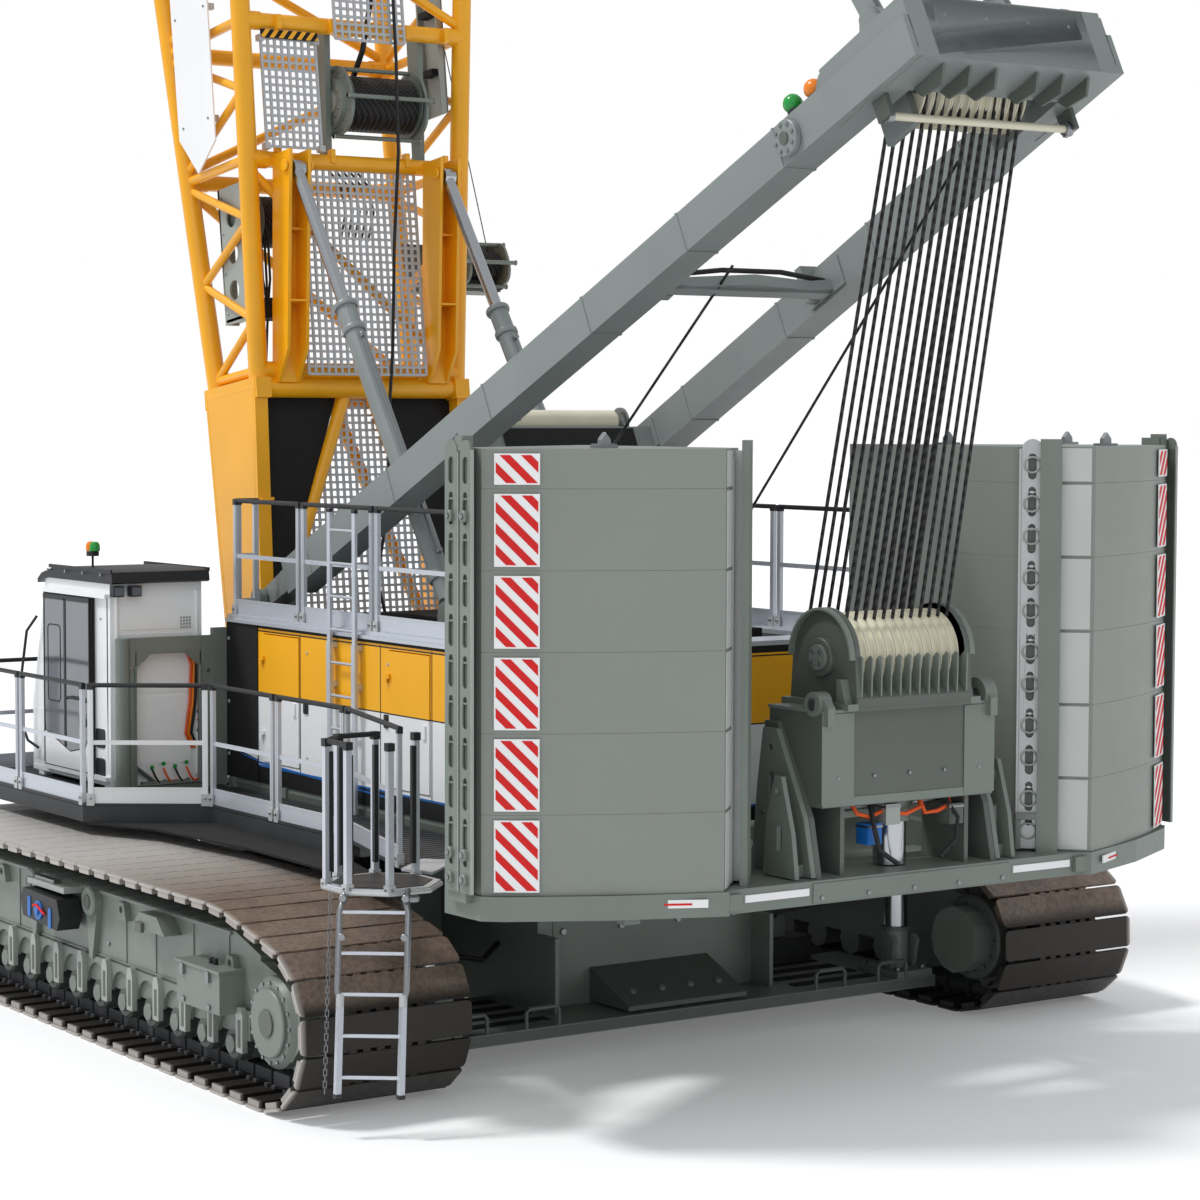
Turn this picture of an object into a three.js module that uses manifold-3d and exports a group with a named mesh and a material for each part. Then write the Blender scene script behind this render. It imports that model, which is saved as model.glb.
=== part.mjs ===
// Crawler crane with a tail ballast, a gantry mast and its shortest main boom.
// Units are millimetres. +Z is up, +Y is forward, +X is the machine's right side.
// Every sub-part is built about the slew axis at x = 0, y = 0 with the ground at z = 0,
// and the whole crane is then moved along Y so that its box is centred on the origin.
import * as THREE from "three";
import { mergeVertices } from "three/addons/utils/BufferGeometryUtils.js";
import Module from "manifold-3d";

const wasm = await Module();
wasm.setup();

// ---------------------------------------------------------------- driving sizes
const SEAT = 0.3; // gap left between two pieces that rest on each other
const SLEW_Y = 1090; // place of the slew axis in the part's frame

const GAUGE = 7000; // between the track centre lines
const SHOE_WIDTH = 1500;
const TRACK_THICKNESS = 170; // shoe and link together
const TRACK_HEIGHT = 1500;
const END_WHEEL_Y = 4040; // centre of each end wheel
const END_RADIUS = 660; // shoe face radius round an end wheel
const WHEEL_INSET = 195; // from the shoe faces down to the end wheel
const COVER_INSET = 360; // from the shoe faces down to the wheel cover
const TOP_RUN_HALF = 3270; // half of the level top run
const SHOE_COUNT = 67;
const SHOE_GAP = 50;
const SHOE_GROOVE = 45;
const SIDE_FRAME_WIDTH = 900;
const ROLLER_COUNT = 13;
const ROLLER_PITCH = 500;
const ROLLER_RADIUS = 150;

const CARBODY_TOP = 1380;
const SLEW_RING_TOP = 1560;
const SLEW_RING_RADIUS = 1300;
const WALKWAY_BOTTOM = 210;
const WALKWAY_TOP = 310;
const WALKWAY_END = 3800;
const CARBODY_END = 2400;

const FRAME_FLOOR_TOP = 1640;
const GIRDER_TOP = 2050;
const GIRDER_INNER = 900;
const GIRDER_OUTER = 1060;
const FRAME_TAIL = 5200;
const HOUSE_BASE = 1880;
const HOUSE_TOP = 3390;
const HOUSE_HALF = 1750;
const HOUSE_FRONT = 1350;
const HOUSE_REAR = -4100;
const HOUSE_WALL = 60;

const TRAY_BOTTOM = 1670;
const TRAY_TOP = 1850;
const SLAB_HEIGHT = 590;
const TOP_SLAB_HEIGHT = 290;
const SLABS = 5; // full slabs on each side, under one thinner top slab

const BOOM_FOOT = { y: 1900, z: 2150 };
const BOOM_LEAN = 7; // degrees forward of upright at rest
const BOOM_LENGTH = 20000;
const BOX_LEG_LENGTH = 3500;
const HEEL_LENGTH = 8400;
const INSERT_END = 14200;
const FOOT_OUTER = 1220;
const LEG_THICKNESS = 140;
const FULL_HALF_WIDTH = 1400;
const FULL_HALF_DEPTH = 1000;
const CHORD_RADIUS = 95;
const RING_RADIUS = 80;
const LACING_RADIUS = 48;

const MAST_FOOT = { y: 1450, z: 3550 };
const MAST_ANGLE = 26; // degrees above level at rest, leaning back
const MAST_LENGTH = 10200;
const MAST_LEG_WIDTH = 300;
const MAST_LEG_DEPTH = 330;
const MAST_FOOT_X = 1200;
const MAST_HEAD_X = 860;

const BACKSTOP_X = 850;
const BACKSTOP_FOOT = { y: -1300, z: 3550 };
const BACKSTOP_EYE = { y: 1600, z: 7700 };
const BARREL_RADIUS = 95;
const BARREL_LENGTH = 3400;
const ROD_RADIUS = 62;
const ROD_LENGTH = 4650;

const PIN_RADIUS = 60;
const WHEEL_SIDES = 16; // flats round a sheave or drum
const PIN_PLAY = 0.6; // running clearance round a pin or rod
const RAIL_HEIGHT = 1100;
const RAIL_TUBE = 45;
const TOE_BOARD = 150;
const DECK_BOTTOM = 1760;
const DECK_TOP = 1790;

// ---------------------------------------------------------------- colours
const paint = (color, roughness = 0.5, metalness = 0.1) =>
  new THREE.MeshStandardMaterial({ color, roughness, metalness });
const GREY = paint(0x6c726c);
const DARK_GREY = paint(0x50544f);
const YELLOW = paint(0xf9b315);
const BLACK = paint(0x161718, 0.6);
const WHITE = paint(0xe9ebea, 0.4);
const SHOE_STEEL = paint(0x5b504a, 0.75, 0.3);
const ALUMINIUM = paint(0xc8ccd0, 0.35, 0.8);
const CHROME = paint(0xd8dadd, 0.15, 1);
const CREAM = paint(0xd9d6bf, 0.5);
const BALLAST = paint(0x7d837d);
const ROPE = paint(0x1b1c1e, 0.8);

// ---------------------------------------------------------------- solids
function solid(geometry) {
  const bare = geometry.index ? geometry : geometry.clone();
  bare.deleteAttribute("normal");
  bare.deleteAttribute("uv");
  const merged = mergeVertices(bare, 1e-3);
  return new wasm.Manifold(
    new wasm.Mesh({
      numProp: 3,
      vertProperties: new Float32Array(merged.attributes.position.array),
      triVerts: new Uint32Array(merged.index.array),
    }),
  );
}

const join = (...pieces) => pieces.flat(Infinity).reduce((whole, piece) => whole.add(piece));
const cut = (whole, ...tools) => tools.flat(Infinity).reduce((left, tool) => left.subtract(tool), whole);

function box([x0, x1], [y0, y1], [z0, z1]) {
  const geometry = new THREE.BoxGeometry(Math.abs(x1 - x0), Math.abs(y1 - y0), Math.abs(z1 - z0));
  geometry.translate((x0 + x1) / 2, (y0 + y1) / 2, (z0 + z1) / 2);
  return solid(geometry);
}

// A round bar from one point to another, with `sides` flats.
function bar(from, to, radius, sides = 8, endRadius = radius) {
  const a = new THREE.Vector3(...from);
  const b = new THREE.Vector3(...to);
  const geometry = new THREE.CylinderGeometry(endRadius, radius, a.distanceTo(b), sides);
  const turn = new THREE.Quaternion().setFromUnitVectors(
    new THREE.Vector3(0, 1, 0),
    b.clone().sub(a).normalize(),
  );
  geometry.applyQuaternion(turn);
  geometry.translate((a.x + b.x) / 2, (a.y + b.y) / 2, (a.z + b.z) / 2);
  return solid(geometry);
}

const barX = (y, z, [x0, x1], radius, sides = 12) => bar([x0, y, z], [x1, y, z], radius, sides);

function extrude(shape, depth) {
  return new THREE.ExtrudeGeometry(shape, { depth, bevelEnabled: false, curveSegments: 5 });
}

const shapeOf = (points) => new THREE.Shape(points.map(([a, b]) => new THREE.Vector2(a, b)));

// A plate whose outline lies in the Y-Z plane, between two places along X.
function plateX(outline, [x0, x1]) {
  const shape = outline instanceof THREE.Shape ? outline : shapeOf(outline);
  const geometry = extrude(shape, x1 - x0);
  geometry.applyMatrix4(new THREE.Matrix4().set(0, 0, 1, x0, 1, 0, 0, 0, 0, 1, 0, 0, 0, 0, 0, 1));
  return solid(geometry);
}

// A plate whose outline lies in the X-Y plane, between two heights.
function plateZ(outline, [z0, z1]) {
  const shape = outline instanceof THREE.Shape ? outline : shapeOf(outline);
  const geometry = extrude(shape, z1 - z0);
  geometry.translate(0, 0, z0);
  return solid(geometry);
}

// A plate whose outline lies in the X-Z plane, between two places along Y.
function plateY(outline, [y0, y1]) {
  const geometry = extrude(shapeOf(outline), y1 - y0);
  geometry.applyMatrix4(new THREE.Matrix4().set(1, 0, 0, 0, 0, 0, -1, y1, 0, 1, 0, 0, 0, 0, 0, 1));
  return solid(geometry);
}

// Both a piece and its mirror image in the machine's centre plane.
function both(make) {
  return [make(1), make(-1)];
}

const span = (side, a, b) => (side > 0 ? [a, b] : [-b, -a]);

const crane = new THREE.Group();
crane.position.y = SLEW_Y;

function add(name, piece, material, { mirrored = false } = {}) {
  const mesh = piece.getMesh();
  const geometry = new THREE.BufferGeometry();
  geometry.setAttribute("position", new THREE.BufferAttribute(new Float32Array(mesh.vertProperties), 3));
  geometry.setIndex(new THREE.BufferAttribute(new Uint32Array(mesh.triVerts), 1));
  geometry.computeVertexNormals();
  const node = new THREE.Mesh(geometry, material);
  node.name = name;
  if (mirrored) node.scale.x = -1;
  crane.add(node);
  return node;
}

// The same piece on the right and, as its mirror image, on the left.
function addPair(name, piece, material) {
  add(`right_${name}`, piece, material);
  add(`left_${name}`, piece, material, { mirrored: true });
}

// A pin's bore as a cutting tool along X, with running clearance round a pin of `radius`.
// Its flats face the pin's corners, so that the two lie close at rest.
function boreX(y, z, x, radius) {
  const sides = 10;
  return barX(y, z, x, (radius + PIN_PLAY) / Math.cos(Math.PI / sides), sides);
}

// A lug plate with a round end about a pin, standing on a base line.
function lug(pin, radius, base, [x0, x1]) {
  const shape = new THREE.Shape();
  shape.moveTo(base.y0, base.z);
  shape.lineTo(base.y1, base.z);
  shape.lineTo(pin.y + radius, pin.z);
  shape.absarc(pin.y, pin.z, radius, 0, Math.PI, false);
  shape.closePath();
  return plateX(shape, [x0, x1]);
}

// ---------------------------------------------------------------- tracks
// The closed path of the track in the Y-Z plane, `inset` inside the shoe faces.
function trackPath(inset) {
  const radius = END_RADIUS - inset;
  const top = TRACK_HEIGHT - inset;
  const reach = Math.hypot(END_WHEEL_Y - TOP_RUN_HALF, TRACK_HEIGHT - END_RADIUS);
  const corner = Math.atan2(TRACK_HEIGHT - END_RADIUS, TOP_RUN_HALF - END_WHEEL_Y);
  const tangent = corner - Math.acos(END_RADIUS / reach);
  const cornerY = TOP_RUN_HALF - inset * Math.tan((Math.PI / 2 - tangent) / 2);
  const path = new THREE.Path();
  path.moveTo(-END_WHEEL_Y, inset);
  path.lineTo(END_WHEEL_Y, inset);
  path.absarc(END_WHEEL_Y, END_RADIUS, radius, -Math.PI / 2, tangent, false);
  path.lineTo(cornerY, top);
  path.lineTo(-cornerY, top);
  path.lineTo(
    -END_WHEEL_Y + radius * Math.cos(Math.PI - tangent),
    END_RADIUS + radius * Math.sin(Math.PI - tangent),
  );
  path.absarc(-END_WHEEL_Y, END_RADIUS, radius, Math.PI - tangent, (3 * Math.PI) / 2, false);
  return path;
}

function trackLoop() {
  const path = trackPath(0);
  const pitch = path.getLength() / SHOE_COUNT;
  const share = (pitch - SHOE_GAP) / pitch;
  const starts = [];
  const ends = [];
  for (let i = 0; i < SHOE_COUNT; i++) {
    starts.push(path.getPoint(i / SHOE_COUNT));
    ends.push(path.getPoint((i + share) / SHOE_COUNT));
  }
  const outline = [];
  for (let i = 0; i < SHOE_COUNT; i++) {
    const next = starts[(i + 1) % SHOE_COUNT];
    const along = next.clone().sub(ends[i]).normalize();
    const inward = new THREE.Vector2(-along.y, along.x).multiplyScalar(SHOE_GROOVE);
    outline.push(starts[i], ends[i], ends[i].clone().add(inward), next.clone().add(inward));
  }
  const shape = new THREE.Shape(outline);
  const inner = trackPath(TRACK_THICKNESS);
  const hole = [];
  for (let i = 0; i < SHOE_COUNT; i++) hole.push(inner.getPoint(i / SHOE_COUNT));
  shape.holes.push(new THREE.Path(hole));
  const half = SHOE_WIDTH / 2;
  return plateX(shape, [GAUGE / 2 - half, GAUGE / 2 + half]);
}

// The long box beside the carbody with its rollers, end wheels and drive covers.
function sideFrame() {
  const middle = GAUGE / 2;
  const half = SIDE_FRAME_WIDTH / 2;
  const bottom = TRACK_THICKNESS + ROLLER_RADIUS + 100;
  const top = TRACK_HEIGHT - TRACK_THICKNESS - 100;
  const outline = [
    [-3480, bottom + 60],
    [-3300, bottom],
    [3300, bottom],
    [3480, bottom + 60],
    [3480, 1100],
    [3050, top],
    [-3050, top],
    [-3480, 1100],
  ];
  const body = plateX(outline, [middle - half, middle + half]);
  const slide = box(
    [middle - 110, middle + 110],
    [-3000, 3000],
    [top - 10, TRACK_HEIGHT - TRACK_THICKNESS - SEAT],
  );
  const rollers = [];
  const axle = TRACK_THICKNESS + SEAT + ROLLER_RADIUS;
  for (let i = 0; i < ROLLER_COUNT; i++) {
    const y = (i - (ROLLER_COUNT - 1) / 2) * ROLLER_PITCH;
    rollers.push(barX(y, axle, [middle - 330, middle + 330], ROLLER_RADIUS, 8));
  }
  const ends = [1, -1].map((end) => {
    const wheel = barX(end * END_WHEEL_Y, END_RADIUS, [middle - 340, middle + 340], END_RADIUS - WHEEL_INSET, 16);
    const covers = barX(end * END_WHEEL_Y, END_RADIUS, [middle - 800, middle + 560], END_RADIUS - COVER_INSET, 12);
    const cheek = [
      [end * 3400, 430],
      [end * 4000, 400],
      [end * 4280, 520],
      [end * 4280, 800],
      [end * 4000, 930],
      [end * 3400, 1080],
    ];
    if (end < 0) cheek.reverse();
    const cheeks = [-1, 1].map((side) =>
      plateX(cheek, [middle + side * 400 - 50, middle + side * 400 + 50]),
    );
    return [wheel, covers, ...cheeks];
  });
  return join(body, slide, rollers, ends.flat());
}

// ---------------------------------------------------------------- carbody
function carbody() {
  const reach = GAUGE / 2 - SIDE_FRAME_WIDTH / 2 - SEAT;
  const drum = bar([0, 0, 480], [0, 0, CARBODY_TOP], 1350, 20);
  const beams = [1, -1].map((end) => {
    const y = end > 0 ? [650, 1500] : [-1500, -650];
    return plateY(
      [
        [-reach, 560],
        [-1500, 420],
        [1500, 420],
        [reach, 560],
        [reach, 1150],
        [1500, 1300],
        [-1500, 1300],
        [-reach, 1150],
      ],
      y,
    );
  });
  const spine = box([-1100, 1100], [-CARBODY_END + SEAT, CARBODY_END - SEAT], [WALKWAY_BOTTOM, 1180]);
  return join(drum, beams, spine);
}

function slewRing() {
  const bottom = CARBODY_TOP + SEAT;
  const profile = [
    [950, bottom],
    [SLEW_RING_RADIUS, bottom],
    [SLEW_RING_RADIUS, bottom + 70],
    [SLEW_RING_RADIUS - 60, bottom + 90],
    [SLEW_RING_RADIUS - 60, SLEW_RING_TOP],
    [950, SLEW_RING_TOP],
    [950, bottom],
  ].map(([r, z]) => new THREE.Vector2(r, z));
  const geometry = new THREE.LatheGeometry(profile, 24);
  geometry.rotateX(Math.PI / 2);
  return solid(geometry);
}

// Deck, ballast block and two stowed jacks at one end of the carbody; `end` is 1 in front.
function walkway(end) {
  const yRange = (a, b) => (end > 0 ? [a, b] : [-b, -a]);
  const deck = box([-2700, 2700], yRange(CARBODY_END, WALKWAY_END), [WALKWAY_BOTTOM, WALKWAY_TOP]);
  const block = box([-1150, 1150], yRange(CARBODY_END, 3150), [WALKWAY_TOP - 5, 1180]);
  const jacks = [1, -1].map((side) => [
    bar([side * 2480, end * 3500, WALKWAY_TOP - 5], [side * 2480, end * 3500, 1120], 105, 16),
    box(span(side, 2330, 2630), yRange(3350, 3650), [WALKWAY_TOP - 5, WALKWAY_TOP + 40]),
  ]);
  return join(deck, block, jacks);
}

addPair("track", trackLoop(), SHOE_STEEL);
addPair("side_frame", sideFrame(), GREY);
add("carbody", carbody(), GREY);
add("slew_ring", slewRing(), DARK_GREY);
add("front_walkway", walkway(1), GREY);
add("rear_walkway", walkway(-1), GREY);

// ---------------------------------------------------------------- upper frame
const MAST_LUG_X = [1000, 1400]; // outer faces of the pair of plates beside a mast foot
const BOOM_PLATES = [960, 1340]; // outer faces of the pair of plates beside a boom foot
const PLATE = 80;

function upperFrame() {
  const bottom = SLEW_RING_TOP + SEAT;
  const floor = box([-1400, 1400], [-FRAME_TAIL, 1500], [bottom, FRAME_FLOOR_TOP]);
  const deck = box(
    [-HOUSE_HALF + 10, HOUSE_HALF - 10],
    [HOUSE_REAR, HOUSE_FRONT],
    [HOUSE_BASE - 80, HOUSE_BASE - SEAT],
  );
  const sides = both((side) => [
    plateX(
      [
        [-5900, TRAY_TOP],
        [-FRAME_TAIL, TRAY_TOP],
        [-FRAME_TAIL, FRAME_FLOOR_TOP - 40],
        [1700, FRAME_FLOOR_TOP - 40],
        [2200, 1900],
        [2100, GIRDER_TOP],
        [-5900, GIRDER_TOP],
      ],
      span(side, GIRDER_INNER, GIRDER_OUTER),
    ),
    lug(BOOM_FOOT, 230, { y0: 1450, y1: 2130, z: 1700 }, span(side, BOOM_PLATES[0], BOOM_PLATES[0] + PLATE)),
    lug(BOOM_FOOT, 230, { y0: 1450, y1: 2130, z: 1580 }, span(side, BOOM_PLATES[1] - PLATE, BOOM_PLATES[1])),
    barX(BOOM_FOOT.y, BOOM_FOOT.z, span(side, BOOM_PLATES[0], BOOM_PLATES[1]), PIN_RADIUS + 20),
    box(span(side, GIRDER_OUTER - 100, BOOM_PLATES[1]), [1420, 1560], [1580, 1900]),
    ...[MAST_LUG_X[0], MAST_LUG_X[1] - PLATE].map((x) =>
      lug(MAST_FOOT, 100, { y0: 1360, y1: 1560, z: 1700 }, span(side, x, x + PLATE)),
    ),
    barX(MAST_FOOT.y, MAST_FOOT.z, span(side, MAST_LUG_X[0], MAST_LUG_X[1]), PIN_RADIUS),
    box(span(side, MAST_LUG_X[0], MAST_LUG_X[1]), [1370, 1540], [2700, 3100]),
    ...[-100, 60].map((offset) =>
      lug(
        BACKSTOP_FOOT,
        110,
        { y0: BACKSTOP_FOOT.y - 300, y1: BACKSTOP_FOOT.y + 300, z: FRAME_FLOOR_TOP },
        span(side, BACKSTOP_X + offset, BACKSTOP_X + offset + 40),
      ),
    ),
    box(
      span(side, BACKSTOP_X - 100, GIRDER_INNER + 30),
      [BACKSTOP_FOOT.y - 250, BACKSTOP_FOOT.y + 250],
      [FRAME_FLOOR_TOP - 10, 1900],
    ),
    barX(BACKSTOP_FOOT.y, BACKSTOP_FOOT.z, span(side, BACKSTOP_X - 100, BACKSTOP_X + 100), 45),
    ...[800, -600, -2000, -3500].map((y) =>
      box(span(side, 1390, 2250), [y - 60, y + 60], [bottom, DECK_BOTTOM - SEAT]),
    ),
  ]);
  const cabArms = [1560, 2960].map((y) => box([-3250, -900], [y - 60, y + 60], [bottom, DECK_BOTTOM - SEAT]));
  const cabLink = box([-1400, -1180], [1440, 3020], [bottom, DECK_BOTTOM - SEAT]);
  const crossBeam = box([-GIRDER_OUTER, GIRDER_OUTER], [-FRAME_TAIL, -FRAME_TAIL + 300], [FRAME_FLOOR_TOP - 5, GIRDER_TOP]);
  return join(floor, deck, crossBeam, sides.flat(), cabArms, cabLink);
}

add("upper_frame", upperFrame(), GREY);

// ---------------------------------------------------------------- machinery house
const DOORS = [
  { name: "front", y0: -80, y1: 620 },
  { name: "rear", y0: -2400, y1: -1700 },
];
const DOOR_BOTTOM = 2080;
const DOOR_TOP = 3290;
const DOOR_GAP = 10;
const DOOR_PROUD = 10; // how far a leaf stands out from the wall
const DOOR_HINGE = { out: 26, radius: 12, height: 40, levels: [2300, 3000] };

function houseShell() {
  const z = [HOUSE_BASE, HOUSE_TOP - 60 - SEAT];
  const outer = box([-HOUSE_HALF, HOUSE_HALF], [HOUSE_REAR, HOUSE_FRONT], z);
  const inner = box(
    [-HOUSE_HALF + HOUSE_WALL, HOUSE_HALF - HOUSE_WALL],
    [HOUSE_REAR + HOUSE_WALL, HOUSE_FRONT - HOUSE_WALL],
    [z[0] - 100, z[1] + 100],
  );
  const openings = DOORS.map(({ y0, y1 }) =>
    box([-HOUSE_HALF - 100, HOUSE_HALF + 100], [y0, y1], [DOOR_BOTTOM, DOOR_TOP]),
  );
  const girderSlots = both((side) =>
    box(
      span(side, GIRDER_INNER - 10, GIRDER_OUTER + 10),
      [HOUSE_REAR - 100, HOUSE_FRONT + 100],
      [HOUSE_BASE - 100, GIRDER_TOP + 10],
    ),
  );
  const knuckles = DOORS.map(({ y1 }) => both((side) => DOOR_HINGE.levels.map((z) => hingeLeaf(side, y1, z, 1))));
  return join(cut(outer, inner, openings, girderSlots), knuckles);
}

// One half of a door hinge: a knuckle about the hinge pin with its strap, ahead of it or behind.
function hingeLeaf(side, y, z, ahead) {
  const x = side * (HOUSE_HALF + DOOR_HINGE.out);
  const heights = [z, z + DOOR_HINGE.height];
  const knuckle = bar([x, y, heights[0]], [x, y, heights[1]], DOOR_HINGE.radius, 8);
  const reach = ahead > 0 ? [y, y + 40] : [y - 40, y];
  const strap = box(span(side, HOUSE_HALF - 5, HOUSE_HALF + DOOR_HINGE.out + 8), reach, heights);
  return join(knuckle, strap);
}

function houseRoof() {
  const roof = box([-HOUSE_HALF, HOUSE_HALF], [HOUSE_REAR, HOUSE_FRONT], [HOUSE_TOP - 60, HOUSE_TOP]);
  const slots = both((side) =>
    box(
      span(side, BACKSTOP_X - 130, BACKSTOP_X + 130),
      [BACKSTOP_FOOT.y - 250, BACKSTOP_FOOT.y + 250],
      [HOUSE_TOP - 100, HOUSE_TOP + 100],
    ),
  );
  return cut(roof, slots);
}

function serviceDoor({ y0, y1 }) {
  const skin = box(
    [HOUSE_HALF - 50, HOUSE_HALF + DOOR_PROUD],
    [y0 + DOOR_GAP, y1 - DOOR_GAP],
    [DOOR_BOTTOM + DOOR_GAP, DOOR_TOP - DOOR_GAP],
  );
  const latch = box([HOUSE_HALF + 5, HOUSE_HALF + 25], [y0 + 60, y0 + 110], [2560, 2680]);
  const hinges = DOOR_HINGE.levels.map((z) => hingeLeaf(1, y1, z + DOOR_HINGE.height + SEAT, -1));
  return join(skin, latch, hinges);
}

add("house_shell", houseShell(), YELLOW);
add("house_roof", houseRoof(), DARK_GREY);
for (const door of DOORS) addPair(`${door.name}_service_door`, serviceDoor(door), YELLOW);
add("engine_block", box([-600, 600], [-3600, -1700], [HOUSE_BASE, 2900]), DARK_GREY);

// ---------------------------------------------------------------- tail ballast
const SLAB_OUTLINE = [
  [1380, -4150],
  [1380, -6240],
  [1830, -6690],
  [2600, -6370],
  [3280, -6010],
  [3400, -5900],
  [3420, -5450],
];

// The outline grown by `margin` about its own middle.
function grown(outline, margin) {
  const middleX = outline.reduce((sum, [x]) => sum + x, 0) / outline.length;
  const middleY = outline.reduce((sum, [, y]) => sum + y, 0) / outline.length;
  return outline.map(([x, y]) => {
    const reach = Math.hypot(x - middleX, y - middleY);
    const factor = (reach + margin) / reach;
    return [middleX + (x - middleX) * factor, middleY + (y - middleY) * factor];
  });
}

const mirrorOutline = (outline) => outline.map(([x, y]) => [-x, y]).reverse();

function ballastTray() {
  const z = [TRAY_BOTTOM, TRAY_TOP - SEAT];
  const wing = grown(SLAB_OUTLINE, 40);
  const wings = [plateZ(wing, z), plateZ(mirrorOutline(wing), z)];
  const beam = box([-1850, 1850], [-6660, -6150], z);
  const hooks = both((side) => box(span(side, GIRDER_INNER - 40, GIRDER_OUTER + 40), [-6200, -5600], z));
  const bridge = box([-1400, 1400], [-5900, -5600], z);
  const rails = both((side) => {
    const top = TRAY_TOP + SLABS * SLAB_HEIGHT + TOP_SLAB_HEIGHT + 60;
    return [
      box(span(side, 3440, 3500), [-5800, -5560], [TRAY_TOP - 60, top]),
      plateZ(
        side > 0
          ? [[1590, -6560], [1470, -6440], [1430, -6480], [1550, -6600]]
          : [[-1550, -6600], [-1430, -6480], [-1470, -6440], [-1590, -6560]],
        [TRAY_TOP - 60, top],
      ),
    ];
  });
  return join(wings, beam, hooks, bridge, rails);
}

function slab(index) {
  const bottom = TRAY_TOP + index * SLAB_HEIGHT;
  const height = index < SLABS ? SLAB_HEIGHT : TOP_SLAB_HEIGHT;
  return plateZ(SLAB_OUTLINE, [bottom, bottom + height - SEAT]);
}

add("ballast_tray", ballastTray(), GREY);
for (let i = 0; i <= SLABS; i++) addPair(`ballast_slab_${i + 1}`, slab(i), BALLAST);

// ---------------------------------------------------------------- luffing sheaves at the tail
const TAIL_SHEAVE = { y: -6260, z: 3490 };
const TAIL_SHEAVE_RADIUS = 340;
const BLOCK_HALF = 560;
const BEAM_TOP = 3110;
const BEAM_BOTTOM = 2380;

function luffingBeam() {
  const beam = box([-850, 850], [-6600, -5950], [BEAM_BOTTOM, BEAM_TOP]);
  const cheekRadius = TAIL_SHEAVE_RADIUS + 40;
  const cheekShape = new THREE.Shape();
  cheekShape.moveTo(-6670, BEAM_TOP - 5);
  cheekShape.lineTo(-5850, BEAM_TOP - 5);
  cheekShape.lineTo(TAIL_SHEAVE.y + cheekRadius, TAIL_SHEAVE.z);
  cheekShape.absarc(TAIL_SHEAVE.y, TAIL_SHEAVE.z, cheekRadius, 0, Math.PI, false);
  cheekShape.closePath();
  const base = box([-BLOCK_HALF, BLOCK_HALF], [-6670, -5850], [BEAM_TOP - 5, BEAM_TOP + 20]);
  const ribs = both((side) => [
    plateX(cheekShape, span(side, BLOCK_HALF - 40, BLOCK_HALF)),
    plateX(
      [[-6600, TRAY_TOP], [-5800, TRAY_TOP], [-5900, 2500], [-5950, 3000], [-6100, 3000], [-6500, 2300]],
      span(side, 845, 895),
    ),
    plateX([[-6560, TRAY_TOP], [-6050, TRAY_TOP], [-6050, BEAM_BOTTOM + 5], [-6560, BEAM_BOTTOM + 5]], span(side, 600, 640)),
  ]);
  const axle = barX(TAIL_SHEAVE.y, TAIL_SHEAVE.z, [-BLOCK_HALF + 20, BLOCK_HALF - 20], PIN_RADIUS);
  return join(beam, base, ribs, axle);
}

// A row of rope sheaves on one hub, with a bore for its axle.
function sheaveRow(axle, radius, halfWidth, count) {
  const bore = (PIN_RADIUS + PIN_PLAY) / Math.cos(Math.PI / WHEEL_SIDES);
  const profile = [new THREE.Vector2(bore, -halfWidth)];
  const pitch = (2 * halfWidth) / count;
  for (let i = 0; i < count; i++) {
    const start = -halfWidth + i * pitch;
    profile.push(
      new THREE.Vector2(radius, start),
      new THREE.Vector2(radius - 45, start + pitch / 2),
    );
  }
  profile.push(new THREE.Vector2(radius, halfWidth));
  profile.push(new THREE.Vector2(bore, halfWidth));
  profile.push(profile[0].clone());
  const geometry = new THREE.LatheGeometry(profile, WHEEL_SIDES);
  geometry.rotateZ(-Math.PI / 2);
  geometry.translate(0, axle.y, axle.z);
  return solid(geometry);
}

add("luffing_beam", luffingBeam(), DARK_GREY);
add("tail_sheaves", sheaveRow(TAIL_SHEAVE, TAIL_SHEAVE_RADIUS, BLOCK_HALF - 60, 6), CREAM);

// ---------------------------------------------------------------- gantry mast
// Place `along` the mast from its foot pin and `above` its centre line, as [y, z].
function mastPoint(along, above) {
  const angle = THREE.MathUtils.degToRad(MAST_ANGLE);
  return [
    MAST_FOOT.y - along * Math.cos(angle) + above * Math.sin(angle),
    MAST_FOOT.z + along * Math.sin(angle) + above * Math.cos(angle),
  ];
}

const HOOD_LENGTH = 1050;
const MAST_SHEAVE = { along: MAST_LENGTH - 750, above: 30, radius: 270 };
const PENDANT_PIN = { along: MAST_LENGTH - 600, above: 520, x: 680 };
const PENDANT_PIN_RADIUS = 45;
const HEAD_START = MAST_LENGTH - 440;

// A mast piece whose section lies in the mast's side view, between two places along X.
const mastPlate = (points, x) => plateX(points.map(([along, above]) => mastPoint(along, above)), x);

// A block square to the mast.
const mastBlock = (x, [a0, a1], [t0, t1]) => mastPlate([[a0, t0], [a1, t0], [a1, t1], [a0, t1]], x);

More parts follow.
